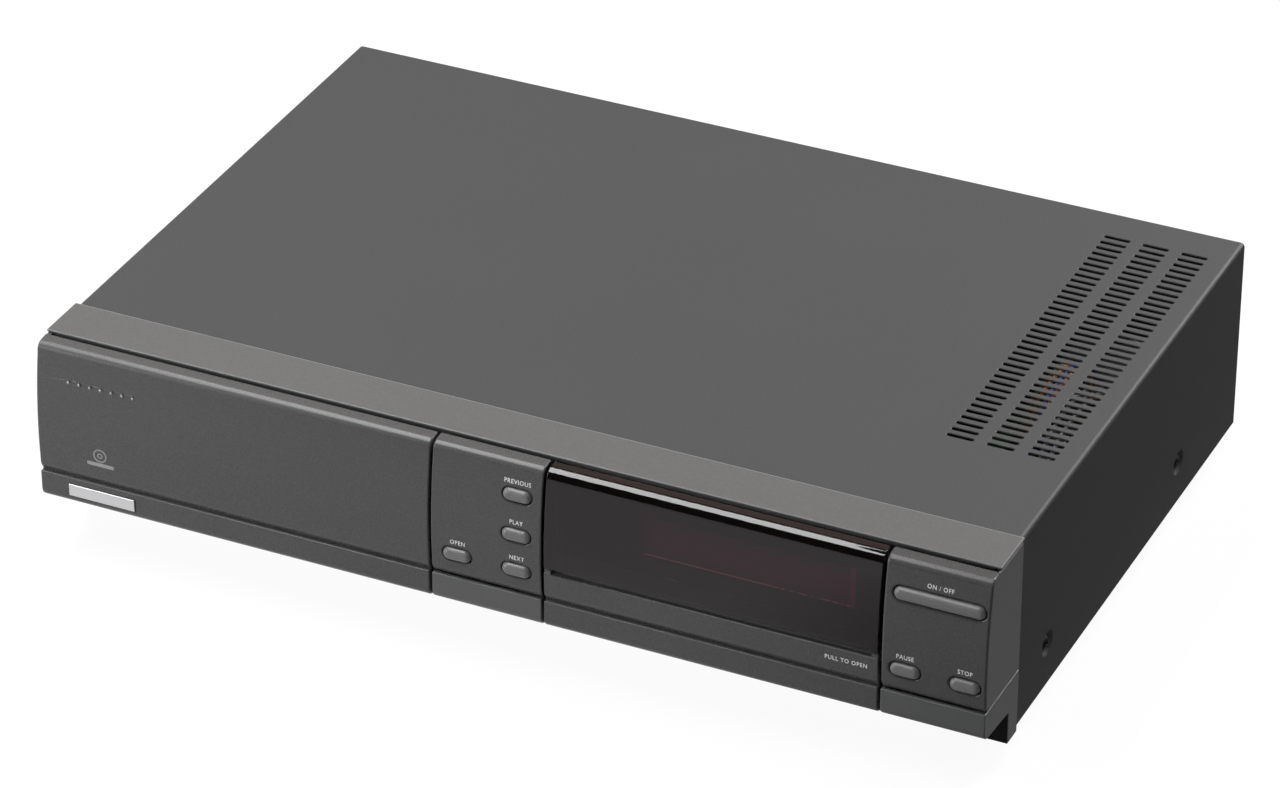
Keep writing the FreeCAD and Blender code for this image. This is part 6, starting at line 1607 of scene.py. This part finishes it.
@dataclass
class Screws:
    """Pan-head screws with a cross recess, in place of a node's plain ones."""

    node: str
    finish: Finish
    head_mm: float = 3.0
    head_tall_mm: float = 1.6
    shank_mm: float = 1.5
    thread_mm: float = 0.6
    groove_mm: float = 0.28
    tip_mm: float = 1.0
    arm_mm: float = 1.7
    slot_mm: float = 0.42
    recess_mm: float = 1.1
    above_mm: float = 1.0
    rim_share: float = 0.9

    def shape(self, length: float) -> bpy.types.Mesh:
        """One screw whose head's top is at the origin and faces up.

        Args:
            length: The whole length in millimetres.

        Returns:
            Its mesh.
        """
        wide, tall, shank = self.head_mm, self.head_tall_mm, self.shank_mm
        dome = [(0.0, 0.0), (wide * 0.45, -0.10), (wide * 0.78, -0.38), (wide * 0.97, -0.85), (wide, -tall)]
        profile = dome + [(shank, -tall)]
        turns = int((length - tall - self.tip_mm) / self.thread_mm)
        for turn in range(turns):
            low = -tall - self.thread_mm * (turn + 0.5)
            profile += [(shank, low), (shank - self.groove_mm, low - self.thread_mm / 2)]
        profile.append((0.0, -length))
        head = add_object("screw", Shaper().lathe(profile, (0.0, 0.0, 0.0), segments=24).mesh("screw"))
        arm, slot = self.arm_mm, self.slot_mm
        for half in ((arm, slot), (slot, arm)):
            low, high = (-half[0], -half[1], -self.recess_mm), (half[0], half[1], self.above_mm)
            cut_away(head, Shaper().box(low, high).mesh("recess"))
        mesh = head.data
        bpy.data.objects.remove(head)
        return mesh

    def build(self, frame: dict) -> bpy.types.Object:
        """Makes the screws where the node's own ones are, as long as the shortest of them.

        Args:
            frame: The loaded frame.

        Returns:
            The piece.
        """
        spots, lengths = [], []
        rim = self.head_mm * MM * self.rim_share
        for points in islands(frame["nodes"][self.node]):
            low, high = corners(points)
            size = high - low
            axis = max(range(3), key=lambda index: abs(size[index] - 2 * self.head_mm * MM))
            middle = (low + high) / 2
            across = [index for index in range(3) if index != axis]
            heads = [
                point[axis] - middle[axis]
                for point in points
                if math.hypot(*(point[index] - middle[index] for index in across)) > rim
            ]
            facing = Vector((0.0, 0.0, 0.0))
            facing[axis] = 1.0 if sum(heads) > 0 else -1.0
            spots.append((middle + facing * size[axis] / 2, facing))
            lengths.append(size[axis] / MM)
        name = self.node.replace("screws", "screw_set")
        piece = Scatter(name, self.shape(min(lengths)), self.finish, turned=True).at(spots)
        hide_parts(self.node)
        return settle(piece, body_of(frame, self.node), slot_of(frame, self.node))


@dataclass
class Housing:
    """The steel cover, the tray under it, the rear panel, the feet and the screws."""

    frame: dict

    def build(self) -> None:
        """Dresses the housing's nodes."""
        SoftCopy("top_cover", Finishes.COVER, radius_mm=0.30, segments=2, degrees=35.0).build(self.frame)
        SoftCopy("rear_panel", Finishes.COVER, radius_mm=0.15, segments=2).build(self.frame)
        SoftCopy("feet", Finishes.FOOT, radius_mm=0.6).build(self.frame)
        dress(self.frame, {"bottom_chassis": Finishes.ZINC})
        Screws("side_screws", Finishes.SCREW).build(self.frame)
        Screws("rear_screws", Finishes.SCREW).build(self.frame)
        Screws("inner_screws", Finishes.STEEL).build(self.frame)


@dataclass
class Window:
    """The smoked window: a thin shell with a round brow that is one with its face."""

    left_mm: float = 20.8
    right_mm: float = 164.8
    bottom_mm: float = 43.65
    top: Flat = (24.5, 87.6)
    crown_mm: float = 4.6
    crown_end_degrees: float = 87.0
    wall_mm: float = 2.5
    open_mm: float = 2.0
    edge_mm: float = 0.45
    margins_mm: tuple[float, ...] = (0.0, 1.2, 3.0)
    face_steps: int = 24
    crown_steps: int = 36

    def profile(self, inset: float) -> list[Flat]:
        """The shell's section, moved inwards, as depth and height.

        Args:
            inset: How far inside the outer skin it lies, in millimetres.

        Returns:
            The points from the bottom of the face to the top of the back.
        """
        brow = OUTLINE.brow[1]
        points = []
        for step in range(self.face_steps + 1):
            height = self.bottom_mm + (brow - self.bottom_mm) * step / self.face_steps
            lean = OUTLINE.lean(height)
            points.append((OUTLINE.depth(height) - inset * math.cos(lean), height - inset * math.sin(lean)))
        start, end = OUTLINE.lean(brow), math.radians(self.crown_end_degrees)
        middle = (
            OUTLINE.depth(brow) - self.crown_mm * math.cos(start),
            brow - self.crown_mm * math.sin(start),
        )
        small = self.crown_mm - inset
        for step in range(1, self.crown_steps + 1):
            angle = start + (end - start) * step / self.crown_steps
            points.append((middle[0] + small * math.cos(angle), middle[1] + small * math.sin(angle)))
        points.append((self.top[0], self.top[1] - inset))
        return points

    def build(self, frame: dict) -> bpy.types.Object:
        """Makes the shell, open below and behind, and lets it replace the CAD window.

        Args:
            frame: The loaded frame.

        Returns:
            The piece.
        """
        outer = self.profile(0.0) + [(self.top[0], self.bottom_mm)]
        inner = self.profile(self.wall_mm)
        back, low = self.top[0] - self.open_mm, self.bottom_mm - self.open_mm
        inner[0] = (inner[0][0], low)
        inner += [(back, inner[-1][1]), (back, low)]
        width = self.right_mm - self.left_mm
        stops = [*self.margins_mm, width / 2, *(width - margin for margin in reversed(self.margins_mm))]
        skin = [(self.left_mm, *OUTLINE.place(*point)) for point in outer]
        core = [(self.left_mm + self.wall_mm, *OUTLINE.place(*point)) for point in inner]
        shell = Shaper().sweep(skin, [(stop, 0.0, 0.0) for stop in stops])
        piece = add_object("flap_window_shell", shell.mesh("shell"), Finishes.WINDOW, Finishes.WINDOW_INSIDE)
        hollow = Shaper().sweep(core, [(0.0, 0.0, 0.0), (width - 2 * self.wall_mm, 0.0, 0.0)]).mesh("hollow")
        for finish in (Finishes.WINDOW, Finishes.WINDOW_INSIDE):
            hollow.materials.append(finish.material())
        for face in hollow.polygons:
            face.material_index = 1
        cut_away(piece, hollow)
        round_off(piece, self.edge_mm, degrees=30.0)
        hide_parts("flap_window")
        return settle(piece, body_of(frame, "flap_window"), "window_moulding")


@dataclass
class Front:
    """The moulded front: strip, panels, drawer front, flap, badge plate, mark and words."""

    frame: dict
    plate_left_mm: float = -196.4
    plate_right_mm: float = -165.7
    plate_low_mm: float = 19.7
    plate_high_mm: float = 25.1
    plate_thick_mm: float = 0.7
    plate_edge_mm: float = 0.22
    seat_grow_mm: float = 0.35
    seat_thick_mm: float = 0.25
    sunk_mm: float = 0.2
    face_mm: float = 35.5
    mark_x_mm: float = -181.0
    mark_height_mm: float = 42.3
    mark_rings_mm: tuple[Flat, ...] = ((2.55, 3.1), (0.8, 1.25))
    bar_below_mm: float = 5.3
    bar_wide_mm: float = 12.4
    bar_tall_mm: float = 1.7
    print_mm: float = 0.05
    cheek_mm: float = 209.9
    cheek_wall_mm: float = 5.0
    plinth_top_mm: float = 24.5
    plinth_front_mm: float = -133.0
    side_share: float = 0.5
    skin_mm: float = 0.7
    lap_mm: float = 53.3
    lap_front_mm: float = -144.8
    dot_left_mm: float = -194.9
    dot_pitch_mm: float = 5.0
    dot_count: int = 7
    dot_height_mm: float = 73.1
    button_words: tuple[Word, ...] = (
        Word("PREVIOUS", 8.7, 79.0),
        Word("PLAY", 8.7, 61.3),
        Word("NEXT", 9.0, 45.0),
        Word("OPEN", -17.2, 45.0),
        Word("ON / OFF", 188.9, 79.2),
        Word("PAUSE", 176.0, 45.3),
        Word("STOP", 201.0, 45.3),
    )
    flap_words: tuple[Word, ...] = (Word("PULL TO OPEN", 151.3, 36.6),)

    def build(self) -> None:
        """Makes the front's pieces."""
        # The cheeks' outer sides get a lighter copy of the moulding, as painted light.
        cheek = (Finishes.CHEEK_LIT, self.on_cheek)
        # The plinth, the button wells and the flap's lap get near-black painted shade.
        plinth = (Finishes.SHADE_BLACK, self.on_plinth)
        wells = (Finishes.SHADE_BLACK, self.in_well)
        lap = (Finishes.SHADE_BLACK, self.on_lap)
        SoftCopy("bezel_frame", Finishes.STRIP, 0.5, parts=(cheek, plinth)).build(self.frame)
        SoftCopy("drawer_front", Finishes.FRONT, 0.7).build(self.frame)
        SoftCopy("button_panel", Finishes.FRONT, 0.6, parts=(wells,)).build(self.frame)
        SoftCopy("right_panel", Finishes.FRONT_RIGHT_SHADED, 0.9, parts=(cheek, wells)).build(self.frame)
        SoftCopy("flap_panel", Finishes.FRONT, 0.5, parts=(lap,)).build(self.frame)
        Window().build(self.frame)
        self.make_plate()
        self.make_mark()
        self.make_dots()
        self.make_words()
        dress(self.frame, {"hinge_pins": Finishes.STEEL})

    def on_cheek(self, face: bpy.types.MeshPolygon) -> bool:
        """Whether a face is on the outer side of a cheek."""
        return abs(face.center.x) > self.cheek_mm * MM

    def on_plinth(self, face: bpy.types.MeshPolygon) -> bool:
        """Picks the plinth, set back under the lower strips, which gets painted shade, but not its outer
        sides.

        Args:
            face: A face of the surround.

        Returns:
            Whether it is on the plinth.
        """
        middle = face.center / MM
        set_back = middle.z < self.plinth_top_mm and middle.y > self.plinth_front_mm
        return set_back and abs(face.normal.x) < self.side_share

    def on_lap(self, face: bpy.types.MeshPolygon) -> bool:
        """Whether a face is on the flap's lap, which the window covers and which gets painted shade."""
        middle = face.center / MM
        return middle.z > self.lap_mm and middle.y > self.lap_front_mm

    def in_well(self, face: bpy.types.MeshPolygon) -> bool:
        """Picks the walls round a section's buttons and beside it, which get painted shade.

        Args:
            face: A face of the section.

        Returns:
            Whether it is behind the section's skin.
        """
        middle = face.center / MM
        height = middle.z - OUTLINE.base_mm
        inside = abs(middle.x) <= self.cheek_mm - self.cheek_wall_mm
        if not (inside and OUTLINE.foot[1] < height < OUTLINE.brow[1]):
            return False
        return middle.y > OUTLINE.seam_mm - OUTLINE.depth(height) + self.skin_mm

    def make_plate(self) -> None:
        """Makes the bare silver badge plate on the drawer's lower strip, on a thin black seat."""
        back = OUTLINE.seam_mm - self.face_mm
        base = OUTLINE.base_mm
        sides = (self.plate_left_mm, self.plate_right_mm, base + self.plate_low_mm, base + self.plate_high_mm)
        for name, grow, thick, finish in (
            ("badge_seat", self.seat_grow_mm, self.seat_thick_mm, Finishes.BLACK),
            ("badge_plate", 0.0, self.plate_thick_mm, Finishes.SILVER),
        ):
            low = (sides[0] - grow, back - thick, sides[2] - grow)
            high = (sides[1] + grow, back + self.sunk_mm, sides[3] + grow)
            piece = Shaper().box(low, high).block(name, finish, self.plate_edge_mm)
            settle(piece, "drawer", "front_moulding")

    def make_mark(self) -> None:
        """Makes the faint disc sign: two thin rings over a bar."""
        out = OUTLINE.outward(self.mark_height_mm)
        at = OUTLINE.point(self.mark_x_mm, self.mark_height_mm)
        shaper = Shaper()
        thick = self.print_mm
        for inner, outer in self.mark_rings_mm:
            loop = [(inner, -thick), (outer, -thick), (outer, thick), (inner, thick)]
            shaper.lathe(loop, tuple(at), tuple(out), segments=48, ring=True)
        bar_height = self.mark_height_mm - self.bar_below_mm
        start = OUTLINE.point(self.mark_x_mm - self.bar_wide_mm / 2, bar_height, -thick)
        up, forward = OUTLINE.upward(bar_height) * self.bar_tall_mm, OUTLINE.outward(bar_height) * 2 * thick
        across = Vector((self.bar_wide_mm, 0.0, 0.0))
        outline = [start, start + across, start + across + up, start + up]
        shaper.sweep([tuple(point) for point in outline], [(0.0, 0.0, 0.0), tuple(forward)])
        settle(shaper.piece("disc_mark", Finishes.FAINT_PRINT), "drawer", "front_moulding")

    def make_dots(self) -> None:
        """Makes the pale domes of the seven raised dots."""
        dome = [(0.0, -0.3), (0.74, -0.3), (0.74, 0.22), (0.66, 0.42), (0.5, 0.56), (0.25, 0.64), (0.0, 0.66)]
        shape = Shaper().lathe(dome, (0.0, 0.0, 0.0), segments=24).mesh("dot")
        spots = []
        for step in range(self.dot_count):
            x = self.dot_left_mm + step * self.dot_pitch_mm
            spots.append((OUTLINE.point(x, self.dot_height_mm) * MM, OUTLINE.outward(self.dot_height_mm)))
        settle(Scatter("raised_dots", shape, Finishes.DOT).at(spots), "drawer", "front_moulding")

    def make_words(self) -> None:
        """Prints the plain control words over the buttons and on the flap."""
        Lettering("button_words", self.button_words, "chassis").build()
        Lettering("flap_words", self.flap_words, "flap").build()


@dataclass
class Buttons:
    """The seven push buttons."""

    frame: dict
    names: tuple[str, ...] = ("previous", "play", "next", "open", "power", "pause", "stop")

    def build(self) -> None:
        """Dresses each cap, whose rim the CAD node already rounds."""
        for name in self.names:
            SoftCopy(name + "_button", Finishes.BUTTON, radius_mm=0.0, degrees=42.0).build(self.frame)


@dataclass
class ControlBay:
    """What the flap uncovers: the recess, the display, the two sockets and the volume knob."""

    frame: dict
    level_mm: float = 41.0
    headphone_x_mm: float = 40.0
    volume_x_mm: float = 66.0
    port_x_mm: float = 92.0
    wall_mm: float = -122.77
    bush_face_mm: float = -124.27
    dash_z_mm: float = 55.6
    dash_tall_mm: float = 0.3
    dash_proud_mm: float = 0.08
    dashes_mm: tuple[Flat, ...] = (
        (54.2, 64.0),
        (64.6, 84.5),
        (85.0, 112.4),
        (113.2, 115.0),
        (117.0, 118.6),
        (120.8, 124.4),
        (126.4, 127.2),
        (130.0, 134.2),
        (135.2, 138.0),
        (139.0, 139.8),
        (141.2, 143.0),
    )
    contact_middle_mm: float = -122.65
    contact_ring_mm: float = 2.7
    contact_mm: Flat = (0.45, 1.2)
    grip_middle_mm: float = -126.80
    grip_ring_mm: float = 6.85
    grip_mm: Flat = (0.3, 5.4)
    marker_wide_mm: float = 0.7
    marker_depth_mm: Flat = (-130.85, -130.60)
    marker_rise_mm: Flat = (2.2, 6.0)

    def build(self) -> None:
        """Makes the bay's pieces."""
        # The recess panel gets near-black painted shade, darker than its black plastic.
        SoftCopy("recess_panel", Finishes.SHADE_BLACK, 0.0).build(self.frame)
        SoftCopy("volume_knob", Finishes.BUTTON, 0.4).build(self.frame)
        dress(
            self.frame,
            {
                "display_filter": Finishes.FILTER,
                "display_tube": Finishes.TUBE,
                "headphone_socket": Finishes.BLACK,
                "volume_control": Finishes.CAN,
                "front_controller_port": Finishes.BLACK,
                "front_board": Finishes.BOARD,
                "key_switches": Finishes.BLACK,
            },
        )
        self.make_dashes()
        self.make_rings()

    def make_dashes(self) -> None:
        """Makes the display's thin lower line, which breaks up towards its right end and has a painted glow.
        """
        shaper = Shaper()
        for left, right in self.dashes_mm:
            low = (left, self.wall_mm - self.dash_proud_mm, self.dash_z_mm)
            shaper.box(low, (right, self.wall_mm, self.dash_z_mm + self.dash_tall_mm))
        settle(shaper.piece("display_line", Finishes.DASH), "chassis", "filter_tint")

    def make_rings(self) -> None:
        """Makes the metal rims of the two sockets and the knob's grip and marker."""
        level = self.level_mm
        rim = [(3.25, 0.0), (4.9, 0.0), (4.9, 0.35), (4.5, 0.7), (3.6, 0.7), (3.25, 0.45)]
        shield = [(4.4, -0.6), (5.3, -0.6), (5.3, 0.9), (5.1, 1.1), (4.6, 1.1), (4.4, 0.9)]
        for name, section, at in (
            ("headphone_rim", rim, (self.headphone_x_mm, self.bush_face_mm, level)),
            ("port_shield", shield, (self.port_x_mm, self.wall_mm, level)),
        ):
            shaper = Shaper().lathe(section, at, Facing.FRONT, segments=48, ring=True)
            settle(shaper.piece(name, Finishes.STEEL), "chassis", "bright_steel")
        centre = (self.port_x_mm * MM, self.contact_middle_mm * MM, level * MM)
        contacts = Ring("port_contacts", centre, self.contact_ring_mm * MM, 8, Finishes.GOLD)
        settle(contacts.of_pins(*(size * MM for size in self.contact_mm)), "chassis", "socket_plating")
        centre = (self.volume_x_mm * MM, self.grip_middle_mm * MM, level * MM)
        grip = Ring("knob_grip", centre, self.grip_ring_mm * MM, 40, Finishes.BUTTON)
        settle(grip.of_pins(*(size * MM for size in self.grip_mm)), "volume_knob", "button_moulding")
        sides = (self.volume_x_mm - self.marker_wide_mm / 2, self.volume_x_mm + self.marker_wide_mm / 2)
        low, high = zip(sides, self.marker_depth_mm, (level + rise for rise in self.marker_rise_mm))
        marker = Shaper().box(low, high).block("knob_marker", Finishes.PRINT, 0.08)
        settle(marker, "volume_knob", "button_moulding")


@dataclass
class RearSockets:
    """The sockets on the rear panel."""

    frame: dict
    plane_mm: float = 139.23
    level_mm: float = 28.5
    ring_gap_mm: float = 0.02
    phono_x_mm: tuple[float, ...] = (-30.0, -12.0, 6.0)
    din_x_mm: tuple[float, ...] = (-84.0, -60.0)
    scart_x_mm: float = 63.0
    wide_start_mm: float = -18.1
    wide_middle_mm: float = 136.2
    wide_pitch_mm: float = 3.81
    wide_count: int = 10
    wide_rows_mm: tuple[Flat, ...] = ((2.9, 0.0), (-2.9, 1.9))
    wide_contact: Point = (0.0009, 0.0056, 0.0022)
    round_middle_mm: float = 138.4
    round_ring_mm: float = 2.3
    round_pin_mm: Flat = (0.5, 1.8)

    def build(self) -> None:
        """Dresses the sockets and adds their contacts and coloured rings."""
        dress(
            self.frame,
            {
                "phono_sockets": Finishes.GOLD,
                "scart_socket": Finishes.BLACK,
                "rear_din_sockets": Finishes.BLACK,
                "mains_inlet": Finishes.BLACK,
            },
        )
        self.make_phono_rings()
        self.make_contacts()

    def make_phono_rings(self) -> None:
        """Makes a red, a white and a yellow ring round the three phono shells."""
        ring = [(4.3, 0.0), (5.9, 0.0), (5.9, 1.0), (5.5, 1.5), (4.7, 1.5), (4.3, 1.2)]
        for x, finish in zip(self.phono_x_mm, (Finishes.YELLOW, Finishes.WHITE, Finishes.RED)):
            at = (x, self.plane_mm + self.ring_gap_mm, self.level_mm)
            name = "phono_" + finish.name
            piece = Shaper().lathe(ring, at, Facing.REAR, segments=48, ring=True).piece(name, finish)
            settle(piece, "chassis", "black_moulding")

    def make_contacts(self) -> None:
        """Makes the contact rows of the wide socket and the rings of pins in the round ones."""
        step = (self.wide_pitch_mm * MM, 0.0, 0.0)
        for row, (lift, shift) in enumerate(self.wide_rows_mm):
            left = self.scart_x_mm + self.wide_start_mm + shift
            start = (left * MM, self.wide_middle_mm * MM, (self.level_mm + lift) * MM)
            contacts = Row(f"wide_socket_row_{row}", start, step, self.wide_count, Finishes.GOLD)
            settle(contacts.of_boxes(self.wide_contact), "chassis", "socket_plating")
        for index, x in enumerate(self.din_x_mm):
            centre = (x * MM, self.round_middle_mm * MM, self.level_mm * MM)
            pins = Ring(f"round_socket_pins_{index}", centre, self.round_ring_mm * MM, 4, Finishes.GOLD)
            settle(pins.of_pins(*(size * MM for size in self.round_pin_mm)), "chassis", "socket_plating")


@dataclass
class PowerSupply:
    """The power board with its transformer, capacitors, heat sink and leads."""

    frame: dict
    board_top_mm: float = 19.6
    core_x_mm: Flat = (150.0, 196.0)
    core_y_mm: Flat = (69.2, 109.2)
    coil_x_mm: Flat = (159.0, 187.0)
    coil_y_mm: Flat = (61.3, 117.1)
    core_top_mm: float = 57.5
    flange_mm: float = 1.6
    lead_pitch_mm: float = 2.6
    lead_radius_mm: float = 0.9
    transistor_y_mm: tuple[float, ...] = (-46.0, -32.0, -18.0)
    small_can_x_mm: tuple[float, ...] = (178.0, 188.0, 197.0)
    small_can_y_mm: tuple[float, ...] = (-48.0, -34.0, -20.0)

    def build(self) -> None:
        """Makes the supply's pieces."""
        dress(
            self.frame,
            {
                "power_board": Finishes.POWER_BOARD,
                "filter_capacitors": Finishes.SLEEVE,
                "heat_sink": Finishes.SINK,
            },
        )
        self.make_transformer()
        self.make_can_tops()
        self.make_leads()
        self.make_small_parts()

    def make_transformer(self) -> None:
        """Makes the laminated core, the winding with its tape, and the bobbin's flanges."""
        low, high = self.board_top_mm, self.core_top_mm
        (left, right), (front, rear) = self.core_x_mm, self.core_y_mm
        stack = Shaper().box((left, front, low), (right, rear, high))
        core = stack.block("transformer_core", Finishes.CORE, 0.8)
        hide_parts("transformer")
        (x0, x1), (y0, y1) = self.coil_x_mm, self.coil_y_mm
        coil = Shaper().box((x0 + 1, y0 + 1, low + 4), (x1 - 1, y1 - 1, high - 4))
        tape = Shaper().box((x0 + 0.7, y0 + 0.6, low + 12), (x1 - 0.7, y1 - 0.6, high - 11))
        flanges = Shaper()
        for height in (low + 2.4, high - 4.0):
            flanges.box((x0, y0, height), (x1, y1, height + self.flange_mm))
        for piece in (
            core,
            coil.block("transformer_coil", Finishes.WINDING, 3.0, 4),
            tape.block("coil_tape", Finishes.TAPE, 2.8, 4),
            flanges.block("bobbin_flanges", Finishes.WHITE, 0.5),
        ):
            settle(piece, "chassis", "core_iron")

    def make_can_tops(self) -> None:
        """Makes the pressed aluminium tops of the filter capacitors."""
        profile = [(0.0, 0.10), (5.6, 0.10), (6.0, 0.35), (6.5, 0.35), (6.9, 0.05), (6.9, -0.5), (0.0, -0.5)]
        spots = []
        for points in islands(self.frame["nodes"]["filter_capacitors"]):
            low, high = corners(points)
            middle = (low + high) / 2
            spots.append((Vector((middle.x, middle.y, high.z)), Vector(Facing.UP.value)))
        top = Shaper().lathe(profile, (0.0, 0.0, 0.0), segments=40).mesh("can_top")
        settle(Scatter("can_tops", top, Finishes.CAN_TOP).at(spots), "chassis", "can_sleeve")

    def make_leads(self) -> None:
        """Makes the insulated leads, in pairs, that rise from the winding and arch over to the board."""
        top, front, board = self.core_top_mm, self.coil_y_mm[0], self.board_top_mm
        routes = {
            "lead_set_blue": (Finishes.LEAD_BLUE, 176.0, 30.0, 0.0),
            "lead_set_green": (Finishes.LEAD_GREEN, 168.0, 24.0, 5.0),
            "lead_set_orange": (Finishes.LEAD_ORANGE, 171.5, 27.0, 2.0),
            "lead_set_grey": (Finishes.LEAD_GREY, 181.0, 18.0, -3.0),
        }
        for name, (finish, x, rise, shift) in routes.items():
            lines = []
            for pair in (0.0, self.lead_pitch_mm):
                peak = top + rise * 0.82 - pair
                line = [
                    (x + pair, front + 3.0, top - 3.0),
                    (x + pair, front - 4.0, top + rise * 0.35),
                    (x + pair * 1.2 - 4, 44.0 + shift, peak),
                    (x + pair * 1.4 - 9, 20.0 + shift, peak * 0.9),
                    (x + pair - 12, 4.0 + shift, 40.0),
                    (x + pair - 13, 1.0 + shift, board - 0.5),
                ]
                lines.append(line)
            strand = Strand(name, self.lead_radius_mm * MM, finish)
            settle(strand.along(lines), "chassis", "can_sleeve")

    def make_small_parts(self) -> None:
        """Makes power transistors on the heat sink, and connectors and small cans on the board."""
        base = self.board_top_mm
        shaper = Shaper()
        for y in self.transistor_y_mm:
            shaper.box((165.1, y - 5.0, base + 8.0), (169.6, y + 5.0, base + 24.0))
        settle(shaper.piece("power_transistors", Finishes.CHIP), "chassis", "black_moulding")
        plugs = Shaper()
        for x, y, wide in ((150.0, -66.0, 22.0), (180.0, -66.0, 14.0), (146.0, 4.0, 8.0)):
            plugs.box((x, y, base - 0.2), (x + wide, y + 6.0, base + 8.5))
        settle(plugs.block("board_connectors", Finishes.WHITE, 0.4), "chassis", "black_moulding")
        profile = [(0.0, -0.2), (3.9, -0.2), (4.0, 0.6), (4.0, 13.2), (3.7, 13.6), (0.0, 13.6)]
        can = Shaper().lathe(profile, (0.0, 0.0, 0.0), segments=24).mesh("can")
        spots = [Vector((x, y, base)) * MM for x in self.small_can_x_mm for y in self.small_can_y_mm]
        cans = Scatter("small_cans", can, Finishes.SLEEVE_BLACK)
        settle(cans.at([(spot, Vector(Facing.UP.value)) for spot in spots]), "chassis", "can_sleeve")


@dataclass
class MainBoard:
    """The large board with its chips, their legs and rows of small parts."""

    frame: dict
    board_top_mm: float = 19.6
    leg_pitch_mm: float = 2.54
    resistor_rows_mm: tuple[float, ...] = (-42.0, -2.0, 34.0, 44.0, 66.0)
    resistor_start_mm: float = 2.0
    resistor_pitch_mm: float = 11.5
    resistor_shift_mm: float = 4.0
    resistor_count: int = 9
    resistor_radius_mm: float = 1.15

    def build(self) -> None:
        """Makes the board's pieces."""
        dress(self.frame, {"main_board": Finishes.BOARD, "board_chips": Finishes.CHIP})
        self.make_legs()
        self.make_resistors()

    def make_legs(self) -> None:
        """Makes the chips' bent legs along their long sides."""
        spots, pitch = [], self.leg_pitch_mm * MM
        for points in islands(self.frame["nodes"]["board_chips"]):
            low, high = corners(points)
            count = int((high.x - low.x) / pitch)
            start = (low.x + high.x) / 2 - (count - 1) / 2 * pitch
            for index in range(count):
                x = start + index * pitch
                spots.append((Vector((x, low.y, low.z)), Vector(Facing.FRONT.value)))
                spots.append((Vector((x, high.y, low.z)), Vector(Facing.REAR.value)))
        leg = Shaper().box((-0.2, -0.35, 1.4), (1.2, 0.35, 1.7)).box((0.9, -0.35, 0.0), (1.2, 0.35, 1.7))
        legs = Scatter("chip_legs", leg.mesh("leg"), Finishes.STEEL, upright=True).at(spots)
        settle(legs, "chassis", "bright_steel")

    def make_resistors(self) -> None:
        """Makes rows of small resistors between the chips, every other row shifted."""
        wide = self.resistor_radius_mm
        half = [(0.9, 2.0), (wide, 2.6), (0.95, 3.1), (0.0, 3.2)]
        profile = [(radius, -along) for radius, along in reversed(half)] + half
        body = Shaper().lathe(profile, (0.0, 0.0, wide), Facing.RIGHT, 12).mesh("resistor")
        spots = []
        for row, y in enumerate(self.resistor_rows_mm):
            start = self.resistor_start_mm + (row % 2) * self.resistor_shift_mm
            for column in range(self.resistor_count):
                x = start + column * self.resistor_pitch_mm
                spots.append((Vector((x, y, self.board_top_mm)) * MM, Vector(Facing.RIGHT.value)))
        resistors = Scatter("resistor_rows", body, Finishes.RESISTOR, upright=True).at(spots)
        settle(resistors, "chassis", "board_resin")


@dataclass
class Loader:
    """The drawer's tray, the frame that it slides in, its drive and the lifting cam."""

    frame: dict

    def build(self) -> None:
        """Dresses the loader's pieces."""
        SoftCopy("disc_tray", Finishes.TRAY, 0.35).build(self.frame)
        dress(
            self.frame,
            {
                "loader_frame": Finishes.BLACK,
                "drive_gear": Finishes.GEAR,
                "drive_pulley": Finishes.GEAR,
                "motor_pulley": Finishes.GEAR,
                "drive_belt": Finishes.BELT,
                "loading_motor": Finishes.CAN,
                "wheel_posts": Finishes.STEEL,
                "lift_cam": Finishes.GEAR,
            },
        )


@dataclass
class OpticalDeck:
    """The lifted deck with its spindle, the laser's carriage and the clamp over them."""

    frame: dict

    def build(self) -> None:
        """Dresses the deck's pieces."""
        dress(
            self.frame,
            {
                "deck_plate": Finishes.ZINC,
                "spindle_motor": Finishes.CAN,
                "turntable": Finishes.RUBBER,
                "laser_carriage": Finishes.BLACK,
                "objective_lens": Finishes.LENS,
                "guide_rods": Finishes.STEEL,
                "sled_gear": Finishes.GEAR,
                "sled_motor": Finishes.CAN,
                "clamp_bridge": Finishes.ZINC,
                "clamp_puck": Finishes.BLACK,
            },
        )


def main() -> None:
    """Builds the scene."""
    logging.basicConfig(level=logging.INFO)
    bpy.context.scene.view_settings.view_transform = "Standard"
    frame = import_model()
    Studio().build()
    parts = (Housing, Front, Buttons, ControlBay, RearSockets, PowerSupply, MainBoard, Loader, OpticalDeck)
    for part in parts:
        LOG.info("building %s", part.__name__)
        part(frame).build()


if __name__ == "__main__":
    main()
